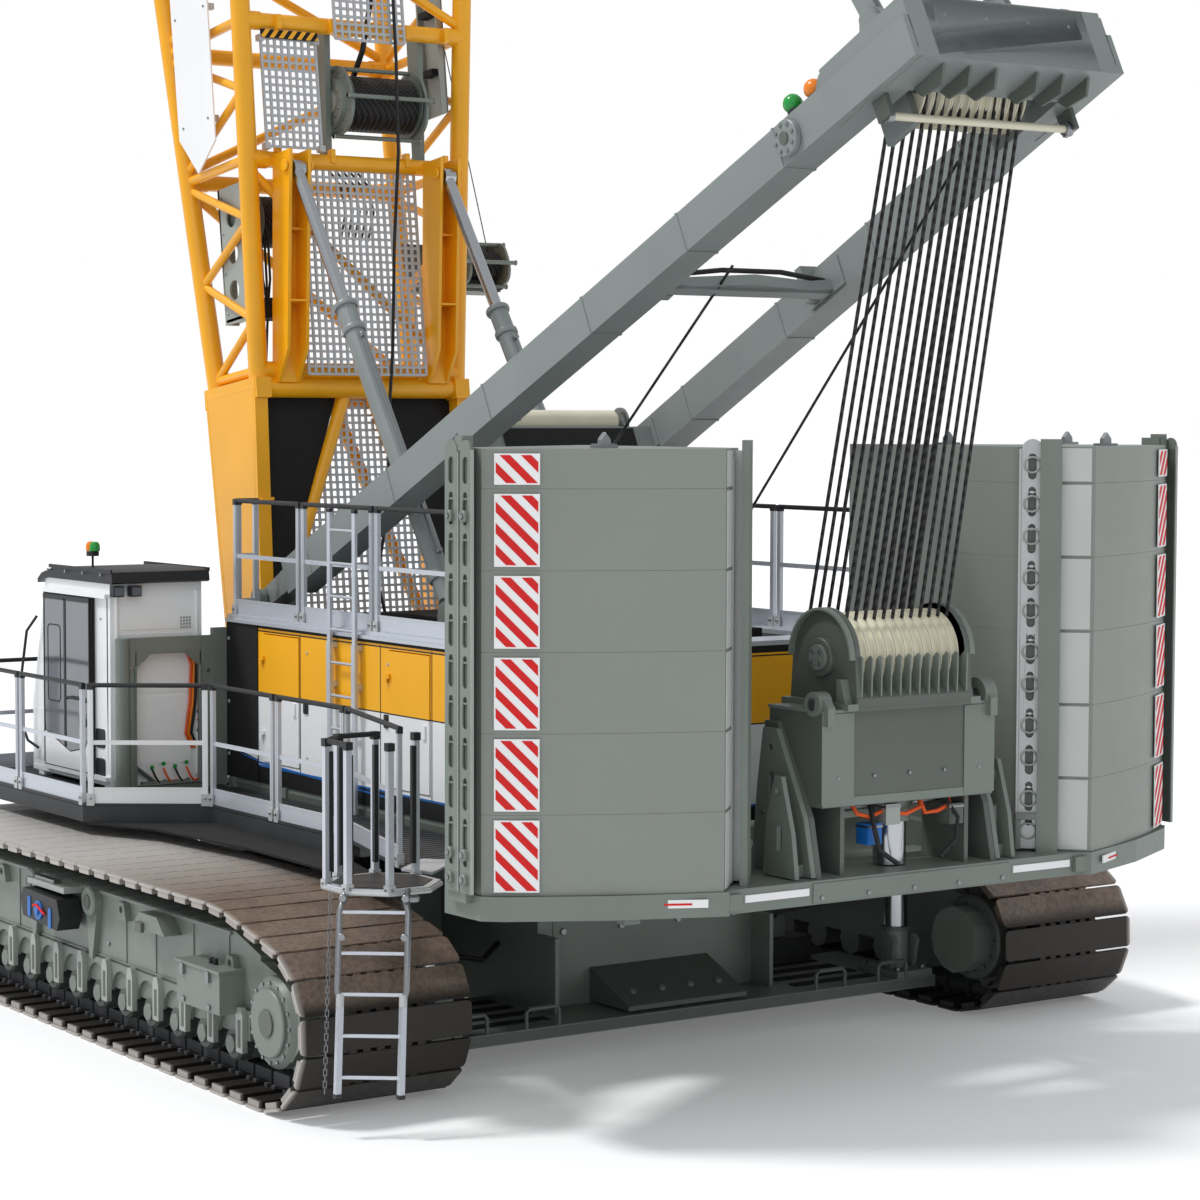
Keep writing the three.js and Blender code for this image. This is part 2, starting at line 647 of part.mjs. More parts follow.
// A mast leg tapers in plan, so it is a plate cut from an outline seen from above the mast.
function mastLeg(side) {
  const half = MAST_LEG_WIDTH / 2;
  const start = 520;
  const depth = MAST_LEG_DEPTH / 2;
  const xAt = (along) => MAST_FOOT_X + ((MAST_HEAD_X - MAST_FOOT_X) * along) / MAST_LENGTH;
  const outline = [
    [xAt(start) - half, start],
    [xAt(start) + half, start],
    [xAt(MAST_LENGTH) + half, MAST_LENGTH],
    [xAt(MAST_LENGTH) - half, MAST_LENGTH],
  ].map(([x, along]) => [side * x, along]);
  const shape = shapeOf(side > 0 ? outline : outline.reverse());
  const geometry = extrude(shape, 2 * depth);
  geometry.translate(0, 0, -depth);
  geometry.rotateX(Math.PI - THREE.MathUtils.degToRad(MAST_ANGLE));
  geometry.translate(0, MAST_FOOT.y, MAST_FOOT.z);
  return solid(geometry);
}

function mastFrame() {
  const legs = [1, -1].map(mastLeg);
  const eye = MAST_FOOT_X;
  const feet = both((side) => {
    const x = span(side, eye - 100, eye + 100);
    const plate = mastPlate([[0, -90], [700, -120], [700, 120], [0, 90]], x);
    const round = barX(MAST_FOOT.y, MAST_FOOT.z, x, 92);
    return cut(join(plate, round), boreX(MAST_FOOT.y, MAST_FOOT.z, span(side, eye - 200, eye + 200), PIN_RADIUS));
  });
  const head = mastBlock([-950, 950], [HEAD_START, MAST_LENGTH], [-170, 310]);
  const hood = mastBlock([-950, 950], [MAST_LENGTH - HOOD_LENGTH, MAST_LENGTH], [310, 350]);
  const hoodSides = both((side) => mastBlock(span(side, 700, 950), [MAST_LENGTH - HOOD_LENGTH, MAST_LENGTH], [100, 320]));
  const lugs = both((side) => {
    const [y, z] = mastPoint(PENDANT_PIN.along, PENDANT_PIN.above);
    const plates = [-90, 50].map((offset) =>
      join(
        mastPlate(
          [
            [PENDANT_PIN.along - 180, 330],
            [PENDANT_PIN.along + 180, 330],
            [PENDANT_PIN.along + 90, PENDANT_PIN.above],
            [PENDANT_PIN.along - 90, PENDANT_PIN.above],
          ],
          span(side, PENDANT_PIN.x + offset, PENDANT_PIN.x + offset + 40),
        ),
        barX(y, z, span(side, PENDANT_PIN.x + offset, PENDANT_PIN.x + offset + 40), 90),
      ),
    );
    return [plates, barX(y, z, span(side, PENDANT_PIN.x - 90, PENDANT_PIN.x + 90), PENDANT_PIN_RADIUS)];
  });
  const crossBeam = mastBlock([-1000, 1000], [3450, 3700], [-150, 60]);
  const [rollerY, rollerZ] = mastPoint(3570, 170);
  const roller = barX(rollerY, rollerZ, [-600, 600], 95, 16);
  const brackets = both((side) => mastBlock(span(side, 560, 600), [3500, 3640], [40, 200]));
  const brace = mastBlock([-900, 900], [6550, 6650], [-140, -40]);
  const [axleY, axleZ] = mastPoint(MAST_SHEAVE.along, MAST_SHEAVE.above);
  const axle = barX(axleY, axleZ, [-760, 760], PIN_RADIUS);
  return join(legs, feet, head, hood, hoodSides, lugs, crossBeam, roller, brackets, brace, axle);
}

add("gantry_mast", mastFrame(), GREY);
{
  const [y, z] = mastPoint(MAST_SHEAVE.along, MAST_SHEAVE.above);
  add("mast_sheaves", sheaveRow({ y, z }, MAST_SHEAVE.radius, 500, 6), CREAM);
}

// ---------------------------------------------------------------- main boom
// Place `along` the boom from its foot pin and `front` of its centre line, as [y, z].
function boomPoint(along, front) {
  const lean = THREE.MathUtils.degToRad(BOOM_LEAN);
  return [
    BOOM_FOOT.y + along * Math.sin(lean) + front * Math.cos(lean),
    BOOM_FOOT.z + along * Math.cos(lean) - front * Math.sin(lean),
  ];
}

const boomSpot = (x, along, front) => [x, ...boomPoint(along, front)];

// A boom piece whose section lies in the boom's side view, between two places along X.
const boomPlate = (points, x) => plateX(points.map(([along, front]) => boomPoint(along, front)), x);

const between = (a, b, t) => a + (b - a) * t;

// Half width and half depth of the lattice's chord lines at a place along the boom.
function section(along) {
  if (along <= HEEL_LENGTH) {
    const t = (along - BOX_LEG_LENGTH) / (HEEL_LENGTH - BOX_LEG_LENGTH);
    return {
      x: between(FOOT_OUTER - CHORD_RADIUS, FULL_HALF_WIDTH - CHORD_RADIUS, t),
      v: between(440, FULL_HALF_DEPTH - CHORD_RADIUS, t),
    };
  }
  if (along <= INSERT_END) return { x: FULL_HALF_WIDTH - CHORD_RADIUS, v: FULL_HALF_DEPTH - CHORD_RADIUS };
  const t = (along - INSERT_END) / (BOOM_LENGTH - INSERT_END);
  return {
    x: between(FULL_HALF_WIDTH - CHORD_RADIUS, 520, t),
    v: between(FULL_HALF_DEPTH - CHORD_RADIUS, 420, t),
  };
}

// Chords, rings and zigzag lacing between a list of places along the boom.
function lattice(stations, { openRearBay = -1 } = {}) {
  const bars = [];
  const corner = (along, sx, sv) => {
    const { x, v } = section(along);
    return boomSpot(sx * x, along, sv * v);
  };
  const first = stations[0];
  const last = stations[stations.length - 1];
  for (const sx of [1, -1]) {
    for (const sv of [1, -1]) {
      const a = new THREE.Vector3(...corner(first, sx, sv));
      const b = new THREE.Vector3(...corner(last, sx, sv));
      const past = b.clone().sub(a).setLength(CHORD_RADIUS);
      bars.push(bar(a.clone().sub(past).toArray(), b.clone().add(past).toArray(), CHORD_RADIUS, 6));
    }
  }
  stations.forEach((along, i) => {
    const inset = i === 0 ? CHORD_RADIUS : i === stations.length - 1 ? -CHORD_RADIUS : 0;
    const at = along + inset;
    for (const sv of [1, -1]) bars.push(bar(corner(at, -1, sv), corner(at, 1, sv), RING_RADIUS, 6));
    for (const sx of [1, -1]) bars.push(bar(corner(at, sx, -1), corner(at, sx, 1), LACING_RADIUS, 4));
  });
  for (let i = 0; i + 1 < stations.length; i++) {
    const flip = i % 2 ? -1 : 1;
    const a = stations[i] + CHORD_RADIUS;
    const b = stations[i + 1] - CHORD_RADIUS;
    for (const sx of [1, -1]) bars.push(bar(corner(a, sx, flip), corner(b, sx, -flip), LACING_RADIUS, 4));
    for (const sv of i === openRearBay ? [1] : [1, -1]) {
      bars.push(bar(corner(a, flip, sv), corner(b, -flip, sv), LACING_RADIUS, 4));
    }
  }
  const keep = boomPlate([[first, -2000], [first, 2000], [last, 2000], [last, -2000]], [-2500, 2500]);
  return join(bars).intersect(keep);
}

const BRACKET_FROM = 3450;
const BRACKET_TO = 5650;
const WINCH_BAY = [5620, 6950]; // places along the boom of the rings beside the winch
const WINCH_END = 90; // thickness of a winch's end housing
const WINCH_PLAY = 12; // between a drum and each end housing
const SIDE_WINCH = { along: 4800, front: 195, x: 1900, radius: 190, half: 210 };
const SHELF = { along: [SIDE_WINCH.along - 250, SIDE_WINCH.along + 250], front: 460 }; // carries the side winch
const BOOM_WINCH = { along: 6230, front: -620, x: 260, radius: 310, half: 400 };

function heelSection() {
  const legs = both((side) => {
    const x = span(side, FOOT_OUTER - LEG_THICKNESS, FOOT_OUTER);
    const leg = boomPlate(
      [[0, -170], [900, -370], [BOX_LEG_LENGTH, -535], [BOX_LEG_LENGTH, 535], [900, 390], [0, 170]],
      x,
    );
    const round = barX(BOOM_FOOT.y, BOOM_FOOT.z, x, 178);
    return cut(join(leg, round), boreX(BOOM_FOOT.y, BOOM_FOOT.z, span(side, 900, 1500), PIN_RADIUS + 20));
  });
  const lowerRings = [1, -1].map((sv) =>
    bar(boomSpot(-1150, BOX_LEG_LENGTH - 90, sv * 440), boomSpot(1150, BOX_LEG_LENGTH - 90, sv * 440), 100, 8),
  );
  const frameBars = both((side) => [
    bar(boomSpot(side * 120, BOX_LEG_LENGTH - 60, -400), boomSpot(side * 1130, 760, -260), 70, 6),
    bar(boomSpot(side * 1130, 760, 260), boomSpot(side * 120, BOX_LEG_LENGTH - 60, 400), 70, 6),
  ]);
  const brackets = both((side) => [
    boomPlate(
      [[BRACKET_FROM, -560], [BRACKET_TO, -800], [BRACKET_TO, -720], [BRACKET_FROM, -430]],
      span(side, BACKSTOP_X - 120, BACKSTOP_X + 120),
    ),
    ...[-120, 85].map((offset) =>
      boomPlate(
        [[BRACKET_FROM, -560], [BRACKET_FROM + 300, -780], [BRACKET_TO, -1070], [BRACKET_TO, -720], [BRACKET_FROM, -430]],
        span(side, BACKSTOP_X + offset, BACKSTOP_X + offset + 35),
      ),
    ),
  ]);
  const upper = lattice([BOX_LEG_LENGTH - 20, ...WINCH_BAY, HEEL_LENGTH - SEAT], { openRearBay: 1 });
  const reach = BOOM_WINCH.half + WINCH_PLAY + WINCH_END + SEAT;
  const winchRails = [-1, 1].map((side) => {
    const inner = BOOM_WINCH.x + side * reach;
    const outer = inner + side * 70;
    return boomPlate(
      [[WINCH_BAY[0] - 20, -690], [WINCH_BAY[1] + 20, -810], [WINCH_BAY[1] + 20, -560], [WINCH_BAY[0] - 20, -520]],
      [Math.min(inner, outer), Math.max(inner, outer)],
    );
  });
  const shelf = boomPlate(
    [
      [SHELF.along[0], SHELF.front],
      [SHELF.along[1], SHELF.front],
      [SHELF.along[1], SHELF.front + 100],
      [SHELF.along[0], SHELF.front + 100],
    ],
    [1150, 2210],
  );
  return join(legs, lowerRings, frameBars, brackets, upper, winchRails, shelf);
}

add("boom_heel", heelSection(), YELLOW);
add("boom_insert", lattice([HEEL_LENGTH, 10330, 12260, INSERT_END - SEAT]), YELLOW);

const HEAD_SHEAVE = { along: BOOM_LENGTH, front: 560, radius: 400 };
const BOOM_PENDANT_PIN = { along: BOOM_LENGTH - 100, front: -500 };
const PENDANT_BOSS = 640; // the bosses end beside the pendants' eyes

function headSection() {
  const top = BOOM_LENGTH - 500;
  const upper = lattice([INSERT_END, 16000, 17800, top]);
  const cheeks = both((side) =>
    boomPlate(
      [
        [top - 300, -480],
        [BOOM_LENGTH + 150, -560],
        [BOOM_LENGTH + 250, -300],
        [BOOM_LENGTH + 260, 640],
        [BOOM_LENGTH - 100, 800],
        [top - 300, 480],
      ],
      span(side, 480, 540),
    ),
  );
  const cross = boomPlate([[top - 60, -300], [top + 100, -300], [top + 100, 60], [top - 60, 60]], [-500, 500]);
  const [axleY, axleZ] = boomPoint(HEAD_SHEAVE.along, HEAD_SHEAVE.front);
  const [pinY, pinZ] = boomPoint(BOOM_PENDANT_PIN.along, BOOM_PENDANT_PIN.front);
  const axle = barX(axleY, axleZ, [-500, 500], PIN_RADIUS);
  const pin = barX(pinY, pinZ, [-PENDANT_BOSS, PENDANT_BOSS], 70);
  return join(upper, cheeks, cross, axle, pin);
}

add("boom_head", headSection(), YELLOW);
{
  const [y, z] = boomPoint(HEAD_SHEAVE.along, HEAD_SHEAVE.front);
  add("boom_head_sheaves", sheaveRow({ y, z }, HEAD_SHEAVE.radius, 300, 4), CREAM);
}

// ---------------------------------------------------------------- winches on the boom
// Two end housings joined by tie bars and an axle; the drum turns between them.
function winchFrame({ along, front, x, radius, half }) {
  const [y, z] = boomPoint(along, front);
  const ends = [-1, 1].map((side) => {
    const inner = x + side * (half + WINCH_PLAY);
    const outer = inner + side * WINCH_END;
    return barX(y, z, [Math.min(inner, outer), Math.max(inner, outer)], radius + 60);
  });
  const reach = half + WINCH_PLAY + WINCH_END;
  const ties = [
    [0, -(radius + 50)],
    [-(radius + 30), -30],
    [radius + 30, -30],
  ].map(([da, dv]) => {
    const [tieY, tieZ] = boomPoint(along + da, front + dv);
    return barX(tieY, tieZ, [x - reach, x + reach], 24, 6);
  });
  const axle = barX(y, z, [x - half - 20, x + half + 20], PIN_RADIUS);
  return join(ends, ties, axle);
}

function winchDrum({ along, front, x, radius, half }) {
  const [y, z] = boomPoint(along, front);
  const bore = (PIN_RADIUS + PIN_PLAY) / Math.cos(Math.PI / WHEEL_SIDES);
  const profile = [
    [bore, -half],
    [radius, -half],
    [radius, -half + 30],
    [radius - 60, -half + 30],
    [radius - 60, half - 30],
    [radius, half - 30],
    [radius, half],
    [bore, half],
    [bore, -half],
  ].map(([r, w]) => new THREE.Vector2(r, w));
  const geometry = new THREE.LatheGeometry(profile, WHEEL_SIDES);
  geometry.rotateZ(-Math.PI / 2);
  geometry.translate(x, y, z);
  return solid(geometry);
}

add("boom_winch_frame", winchFrame(BOOM_WINCH), GREY);
add("boom_winch_drum", winchDrum(BOOM_WINCH), ROPE);
add(
  "side_winch",
  join(
    winchFrame(SIDE_WINCH),
    boomPlate(
      [
        [SHELF.along[0], 330],
        [SHELF.along[1], 330],
        [SHELF.along[1], SHELF.front - SEAT],
        [SHELF.along[0], SHELF.front - SEAT],
      ],
      [1650, 2150],
    ),
    barX(...boomPoint(SIDE_WINCH.along, SIDE_WINCH.front), [SIDE_WINCH.x - 230, SIDE_WINCH.x + 230], 140),
  ),
  DARK_GREY,
);

// ---------------------------------------------------------------- backstop cylinders
const BACKSTOP_LINE = new THREE.Vector2(
  BACKSTOP_EYE.y - BACKSTOP_FOOT.y,
  BACKSTOP_EYE.z - BACKSTOP_FOOT.z,
);
const BACKSTOP_SPAN = BACKSTOP_LINE.length();
const backstopSpot = (along) => [
  BACKSTOP_X,
  BACKSTOP_FOOT.y + (BACKSTOP_LINE.x * along) / BACKSTOP_SPAN,
  BACKSTOP_FOOT.z + (BACKSTOP_LINE.y * along) / BACKSTOP_SPAN,
];

function backstopBarrel() {
  const eye = [BACKSTOP_X - 50, BACKSTOP_X + 50];
  const tube = bar(backstopSpot(60), backstopSpot(BARREL_LENGTH), BARREL_RADIUS, 12);
  const foot = barX(BACKSTOP_FOOT.y, BACKSTOP_FOOT.z, eye, 90);
  const pin = boreX(BACKSTOP_FOOT.y, BACKSTOP_FOOT.z, [BACKSTOP_X - 200, BACKSTOP_X + 200], 45);
  const sideCuts = [-1, 1].map((side) =>
    bar(
      [BACKSTOP_X + side * 60, BACKSTOP_FOOT.y, BACKSTOP_FOOT.z],
      [BACKSTOP_X + side * 160, BACKSTOP_FOOT.y, BACKSTOP_FOOT.z],
      150,
      12,
    ),
  );
  const bore = bar(backstopSpot(170), backstopSpot(BARREL_LENGTH + 100), ROD_RADIUS + PIN_PLAY, 12);
  return cut(join(cut(tube, sideCuts), foot), pin, bore);
}

function backstopRod() {
  const rod = bar(backstopSpot(BACKSTOP_SPAN - ROD_LENGTH), backstopSpot(BACKSTOP_SPAN), ROD_RADIUS, 12);
  const eye = barX(BACKSTOP_EYE.y, BACKSTOP_EYE.z, [BACKSTOP_X - 60, BACKSTOP_X + 60], 85);
  return join(rod, eye);
}

addPair("backstop_barrel", backstopBarrel(), GREY);
addPair("backstop_rod", backstopRod(), CHROME);

// ---------------------------------------------------------------- pendants and hook
const MAST_PIN = mastPoint(PENDANT_PIN.along, PENDANT_PIN.above);
const BOOM_PIN = boomPoint(BOOM_PENDANT_PIN.along, BOOM_PENDANT_PIN.front);

function pendant() {
  const x = PENDANT_PIN.x;
  const along = new THREE.Vector2(BOOM_PIN[0] - MAST_PIN[0], BOOM_PIN[1] - MAST_PIN[1]);
  const length = along.length();
  along.normalize();
  const across = new THREE.Vector2(-along.y, along.x);
  const at = (s, t) => [
    MAST_PIN[0] + along.x * s + across.x * t,
    MAST_PIN[1] + along.y * s + across.y * t,
  ];
  const strip = plateX([at(0, -60), at(length, -60), at(length, 60), at(0, 60)], [x - 20, x + 20]);
  const ends = [at(0, 0), at(length, 0)].map(([y, z]) => barX(y, z, [x - 30, x + 30], 100));
  return cut(join(strip, ends), boreX(...MAST_PIN, [x - 100, x + 100], PENDANT_PIN_RADIUS));
}

addPair("pendant", pendant(), GREY);

const HOOK_DROP = 2300; // from the head sheave axle to the hook block's own axle

function hookBlock() {
  const [axleY, axleZ] = boomPoint(HEAD_SHEAVE.along, HEAD_SHEAVE.front);
  const hangY = axleY + HEAD_SHEAVE.radius + 60;
  const blockZ = axleZ - HOOK_DROP;
  const falls = [-150, 150].map((x) => bar([x, hangY, blockZ], [x, hangY, axleZ + 60], 22, 8));
  const arms = [-385, 345].map((x) => box([x, x + 40], [axleY - 90, hangY + 60], [axleZ - 90, axleZ + 90]));
  const bores = boreX(axleY, axleZ, [-500, 500], PIN_RADIUS);
  const yoke = box([-385, 385], [hangY - 30, hangY + 60], [axleZ - 60, axleZ + 60]);
  const cheeks = plateX(
    [
      [hangY - 260, blockZ + 120],
      [hangY - 200, blockZ - 420],
      [hangY + 200, blockZ - 420],
      [hangY + 260, blockZ + 120],
      [hangY, blockZ + 340],
    ],
    [-210, 210],
  );
  const shank = bar([0, hangY, blockZ - 400], [0, hangY, blockZ - 620], 60, 12);
  const hook = new THREE.Shape();
  hook.moveTo(hangY - 60, blockZ - 600);
  hook.absarc(hangY, blockZ - 800, 210, Math.PI * 0.6, Math.PI * 2.15, false);
  hook.absarc(hangY, blockZ - 800, 100, Math.PI * 2.15, Math.PI * 0.6, true);
  hook.lineTo(hangY + 60, blockZ - 600);
  hook.closePath();
  const bowl = plateX(hook, [-50, 50]);
  return join(cut(join(arms, yoke), bores), falls, cheeks, shank, bowl);
}

add("hook_block", hookBlock(), YELLOW);

// ---------------------------------------------------------------- walkways with rails
// Posts, top and middle rails and a toe board along an open line of [x, y] points.
function railing(line, floor, postPitch = 1250) {
  const pieces = [];
  for (let i = 0; i + 1 < line.length; i++) {
    const a = new THREE.Vector2(...line[i]);
    const b = new THREE.Vector2(...line[i + 1]);
    const length = a.distanceTo(b);
    const along = b.clone().sub(a).normalize();
    const across = new THREE.Vector2(-along.y, along.x).multiplyScalar(RAIL_TUBE / 2);
    const strip = (from, to, z0, z1, width = 1) => {
      const p = a.clone().addScaledVector(along, from);
      const q = a.clone().addScaledVector(along, to);
      const w = across.clone().multiplyScalar(width);
      return plateZ([[p.x + w.x, p.y + w.y], [q.x + w.x, q.y + w.y], [q.x - w.x, q.y - w.y], [p.x - w.x, p.y - w.y]], [z0, z1]);
    };
    pieces.push(strip(0, length, floor - 20, floor + TOE_BOARD, 0.4));
    pieces.push(strip(0, length, floor + RAIL_HEIGHT - RAIL_TUBE, floor + RAIL_HEIGHT));
    pieces.push(strip(0, length, floor + RAIL_HEIGHT / 2 - 20, floor + RAIL_HEIGHT / 2 + 20, 0.7));
    const posts = Math.max(1, Math.round(length / postPitch));
    for (let k = 0; k <= posts; k++) {
      const s = Math.min(Math.max((length * k) / posts, RAIL_TUBE / 2), length - RAIL_TUBE / 2);
      pieces.push(strip(s - RAIL_TUBE / 2, s + RAIL_TUBE / 2, floor - 20, floor + RAIL_HEIGHT));
    }
  }
  return join(pieces);
}

const CATWALK_INNER = HOUSE_HALF + 20;
const CATWALK_OUTER = 2540;
const CAB_DECK_OUTER = 3480;
const CAB_DECK_REAR = 850;
const NARROW_DECK_FRONT = 200;

function leftCatwalk() {
  const deck = plateZ(
    [
      [-CAB_DECK_OUTER, 3800],
      [-CAB_DECK_OUTER, CAB_DECK_REAR],
      [-CATWALK_OUTER, NARROW_DECK_FRONT],
      [-CATWALK_OUTER, -2300],
      [-3000, -4080],
      [-CATWALK_INNER, -4080],
      [-CATWALK_INNER, 1360],
      [-1600, 1620],
      [-1600, 3800],
    ],
    [DECK_BOTTOM, DECK_TOP],
  );
  const inset = RAIL_TUBE / 2;
  const line = [
    [-1700, 3800 - inset],
    [-CAB_DECK_OUTER + inset, 3800 - inset],
    [-CAB_DECK_OUTER + inset, CAB_DECK_REAR],
    [-CATWALK_OUTER + inset, NARROW_DECK_FRONT],
    [-CATWALK_OUTER + inset, -2300],
    [-2960, -3960],
  ];
  return join(deck, railing(line, DECK_TOP));
}

function rightCatwalk() {
  const deck = box([CATWALK_INNER, CATWALK_OUTER], [-4080, 1340], [DECK_BOTTOM, DECK_TOP]);
  const inset = RAIL_TUBE / 2;
  const line = [
    [CATWALK_INNER + 40, 1340 - inset],
    [CATWALK_OUTER - inset, 1340 - inset],
    [CATWALK_OUTER - inset, -4080 + inset],
  ];
  return join(deck, railing(line, DECK_TOP));
}

const ROOF_PLANK_INNER = 1400;

// A plank along each long edge of the roof and one across its rear end, with rails.
function roofWalkway() {
  const z = [HOUSE_TOP + SEAT, HOUSE_TOP + 40];
  const x = HOUSE_HALF - RAIL_TUBE;
  const planks = both((side) => box(span(side, ROOF_PLANK_INNER, HOUSE_HALF), [HOUSE_REAR, HOUSE_FRONT], z));
  const rear = box([-HOUSE_HALF, HOUSE_HALF], [HOUSE_REAR, HOUSE_REAR + 400], z);
  const rails = both((side) =>
    railing(
      [
        [side * (ROOF_PLANK_INNER + 20), HOUSE_FRONT - RAIL_TUBE],
        [side * x, HOUSE_FRONT - RAIL_TUBE],
        [side * x, HOUSE_REAR + RAIL_TUBE],
      ],
      z[1],
      1500,
    ),
  );
  return join(planks, rear, rails);
}

// Two stiles and evenly spaced rungs between a foot and a head, `across` apart.
function ladder(foot, head, across, rungs, radius = 22) {
  const side = new THREE.Vector3(...across);
  const a = new THREE.Vector3(...foot);
  const b = new THREE.Vector3(...head);
  const spot = (t, s) => a.clone().lerp(b, t).addScaledVector(side, s).toArray();
  const stiles = [-0.5, 0.5].map((s) => bar(spot(0, s), spot(1, s), radius, 6));
  const steps = [];
  for (let i = 0; i < rungs; i++) {
    const t = (i + 0.5) / rungs;
    steps.push(bar(spot(t, -0.5), spot(t, 0.5), radius * 0.7, 6));
  }
  return join(stiles, steps);
}

const CAGE = { x: -3480, y: -4560, radius: 450 };

function accessLadder() {
  const octagon = [];
  for (let i = 0; i < 8; i++) {
    const angle = ((i + 0.5) * Math.PI) / 4;
    octagon.push([CAGE.x + CAGE.radius * Math.cos(angle), CAGE.y + CAGE.radius * Math.sin(angle)]);
  }
  const platform = plateZ(octagon, [DECK_BOTTOM, DECK_TOP]);
  const tongue = plateZ([[-3100, -4200], [-2700, -3850], [-2500, -4050], [-3000, -4500]], [DECK_TOP + SEAT, DECK_TOP + 20]);
  const tongueFoot = plateZ([[-3100, -4250], [-3030, -4190], [-2960, -4350], [-3100, -4500]], [DECK_BOTTOM, DECK_TOP + 20]);
  const posts = octagon.map(([x, y]) => {
    const px = CAGE.x + (x - CAGE.x) * 0.94;
    const py = CAGE.y + (y - CAGE.y) * 0.94;
    return box([px - 25, px + 25], [py - 25, py + 25], [DECK_TOP - 5, DECK_TOP + RAIL_HEIGHT]);
  });
  const hoop = (z0, z1) => {
    const ring = plateZ(octagon, [z0, z1]);
    const inside = octagon.map(([x, y]) => [CAGE.x + (x - CAGE.x) * 0.88, CAGE.y + (y - CAGE.y) * 0.88]);
    const doorway = plateZ([[CAGE.x, CAGE.y], [CAGE.x + 900, CAGE.y + 200], [CAGE.x + 500, CAGE.y + 900]], [z0 - 50, z1 + 50]);
    return cut(ring, plateZ(inside, [z0 - 10, z1 + 10]), doorway);
  };
  const out = new THREE.Vector2(CAGE.x, CAGE.y).normalize();
  const across = [-out.y * 470, out.x * 470, 0];
  const foot = [out.x * 6530, out.y * 6530, 300];
  const head = [out.x * 6190, out.y * 6190, DECK_TOP - 10];
  const runs = ladder(foot, head, across, 5);
  const hanger = bar(
    [head[0] - out.x * 150 - across[0] / 2, head[1] - out.y * 150 - across[1] / 2, DECK_TOP - 15],
    [head[0] - out.x * 150 + across[0] / 2, head[1] - out.y * 150 + across[1] / 2, DECK_TOP - 15],
    20,
    6,
  );
  const ties = [-0.5, 0.5].map((s) =>
    bar(
      [head[0] + across[0] * s, head[1] + across[1] * s, DECK_TOP - 20],
      [head[0] - out.x * 200 + across[0] * s, head[1] - out.y * 200 + across[1] * s, DECK_TOP - 20],
      20,
      6,
    ),
  );
  return join(
    platform,
    tongue,
    tongueFoot,
    posts,
    hoop(DECK_TOP + RAIL_HEIGHT - 45, DECK_TOP + RAIL_HEIGHT),
    runs,
    hanger,
    ties,
  );
}

function roofLadder() {
  const x = -HOUSE_HALF - 60;
  const foot = [x, -975, DECK_TOP + SEAT];
  const head = [x, -975, HOUSE_TOP + RAIL_HEIGHT];
  return ladder(foot, head, [0, 450, 0], 9);
}

function exhaustHood() {
  const middle = { y: -2250, z: HOUSE_TOP + 270 };
  const outline = [];
  for (let i = 0; i < 8; i++) {
    const angle = ((i + 0.5) * Math.PI) / 4;
    outline.push([middle.y + 300 * Math.cos(angle), middle.z + 268 * Math.sin(angle)]);
  }
  const body = plateX(outline, [-1340, -560]);
  const base = box([-1300, -600], [-2480, -2020], [HOUSE_TOP + SEAT, HOUSE_TOP + 100]);
  return join(body, base);
}

add("left_catwalk", leftCatwalk(), ALUMINIUM);
add("right_catwalk", rightCatwalk(), ALUMINIUM);
add("roof_walkway", roofWalkway(), ALUMINIUM);
add("access_ladder", accessLadder(), ALUMINIUM);
add("roof_ladder", roofLadder(), ALUMINIUM);
add("exhaust_hood", exhaustHood(), WHITE);

// ---------------------------------------------------------------- cab
const CAB_X = [-2900, -1950];
const CAB_REAR = 1500;
const CAB_FLOOR = 1830;
const CAB_ROOF = 3740;
const CAB_WALL = 60;
const CAB_FRONT_LOW = 3290;
const CAB_FRONT_HIGH = 2960;
const DOORWAY = { y: [1880, 2880], z: [1960, 3560] };
const DOOR_LEAF = { y: [1830, 2910], z: [1920, 3600] };
const CAB_DOOR_THICKNESS = 40;
const CAB_DOOR_PLAY = 10;

function cabShell() {
  const outline = (inset) => [
    [CAB_REAR + inset, CAB_FLOOR + inset],
    [CAB_FRONT_LOW - inset, CAB_FLOOR + inset],
    [CAB_FRONT_LOW - inset, 2500],
    [CAB_FRONT_HIGH - inset, CAB_ROOF - inset],
    [CAB_REAR + inset, CAB_ROOF - inset],
  ];
  const outer = plateX(outline(0), CAB_X);
  const inner = plateX(outline(CAB_WALL), [CAB_X[0] + CAB_WALL, CAB_X[1] - CAB_WALL]);
  const doorway = box([CAB_X[0] - 50, CAB_X[0] + 100], DOORWAY.y, DOORWAY.z);
  const frontScreen = box([CAB_X[0] + 90, CAB_X[1] - 90], [CAB_FRONT_HIGH - 150, CAB_FRONT_LOW + 100], [2080, 3560]);
  const rightWindow = box([CAB_X[1] - 100, CAB_X[1] + 50], [1750, 2850], [2500, 3520]);
  const rails = [
    [DOOR_LEAF.z[0] - SEAT - 40, DOOR_LEAF.z[0] - SEAT],
    [DOOR_LEAF.z[1] + SEAT, DOOR_LEAF.z[1] + SEAT + 40],
  ].map((z) => box([CAB_X[0] - CAB_DOOR_PLAY - CAB_DOOR_THICKNESS, CAB_X[0] + 5], [CAB_REAR + 10, DOOR_LEAF.y[1] + 20], z));
  const skids = [1520, 3040].map((y) => box(CAB_X, [y, y + 120], [DECK_TOP + SEAT, CAB_FLOOR + 5]));
  return join(cut(outer, inner, doorway, frontScreen, rightWindow), skids, rails);
}

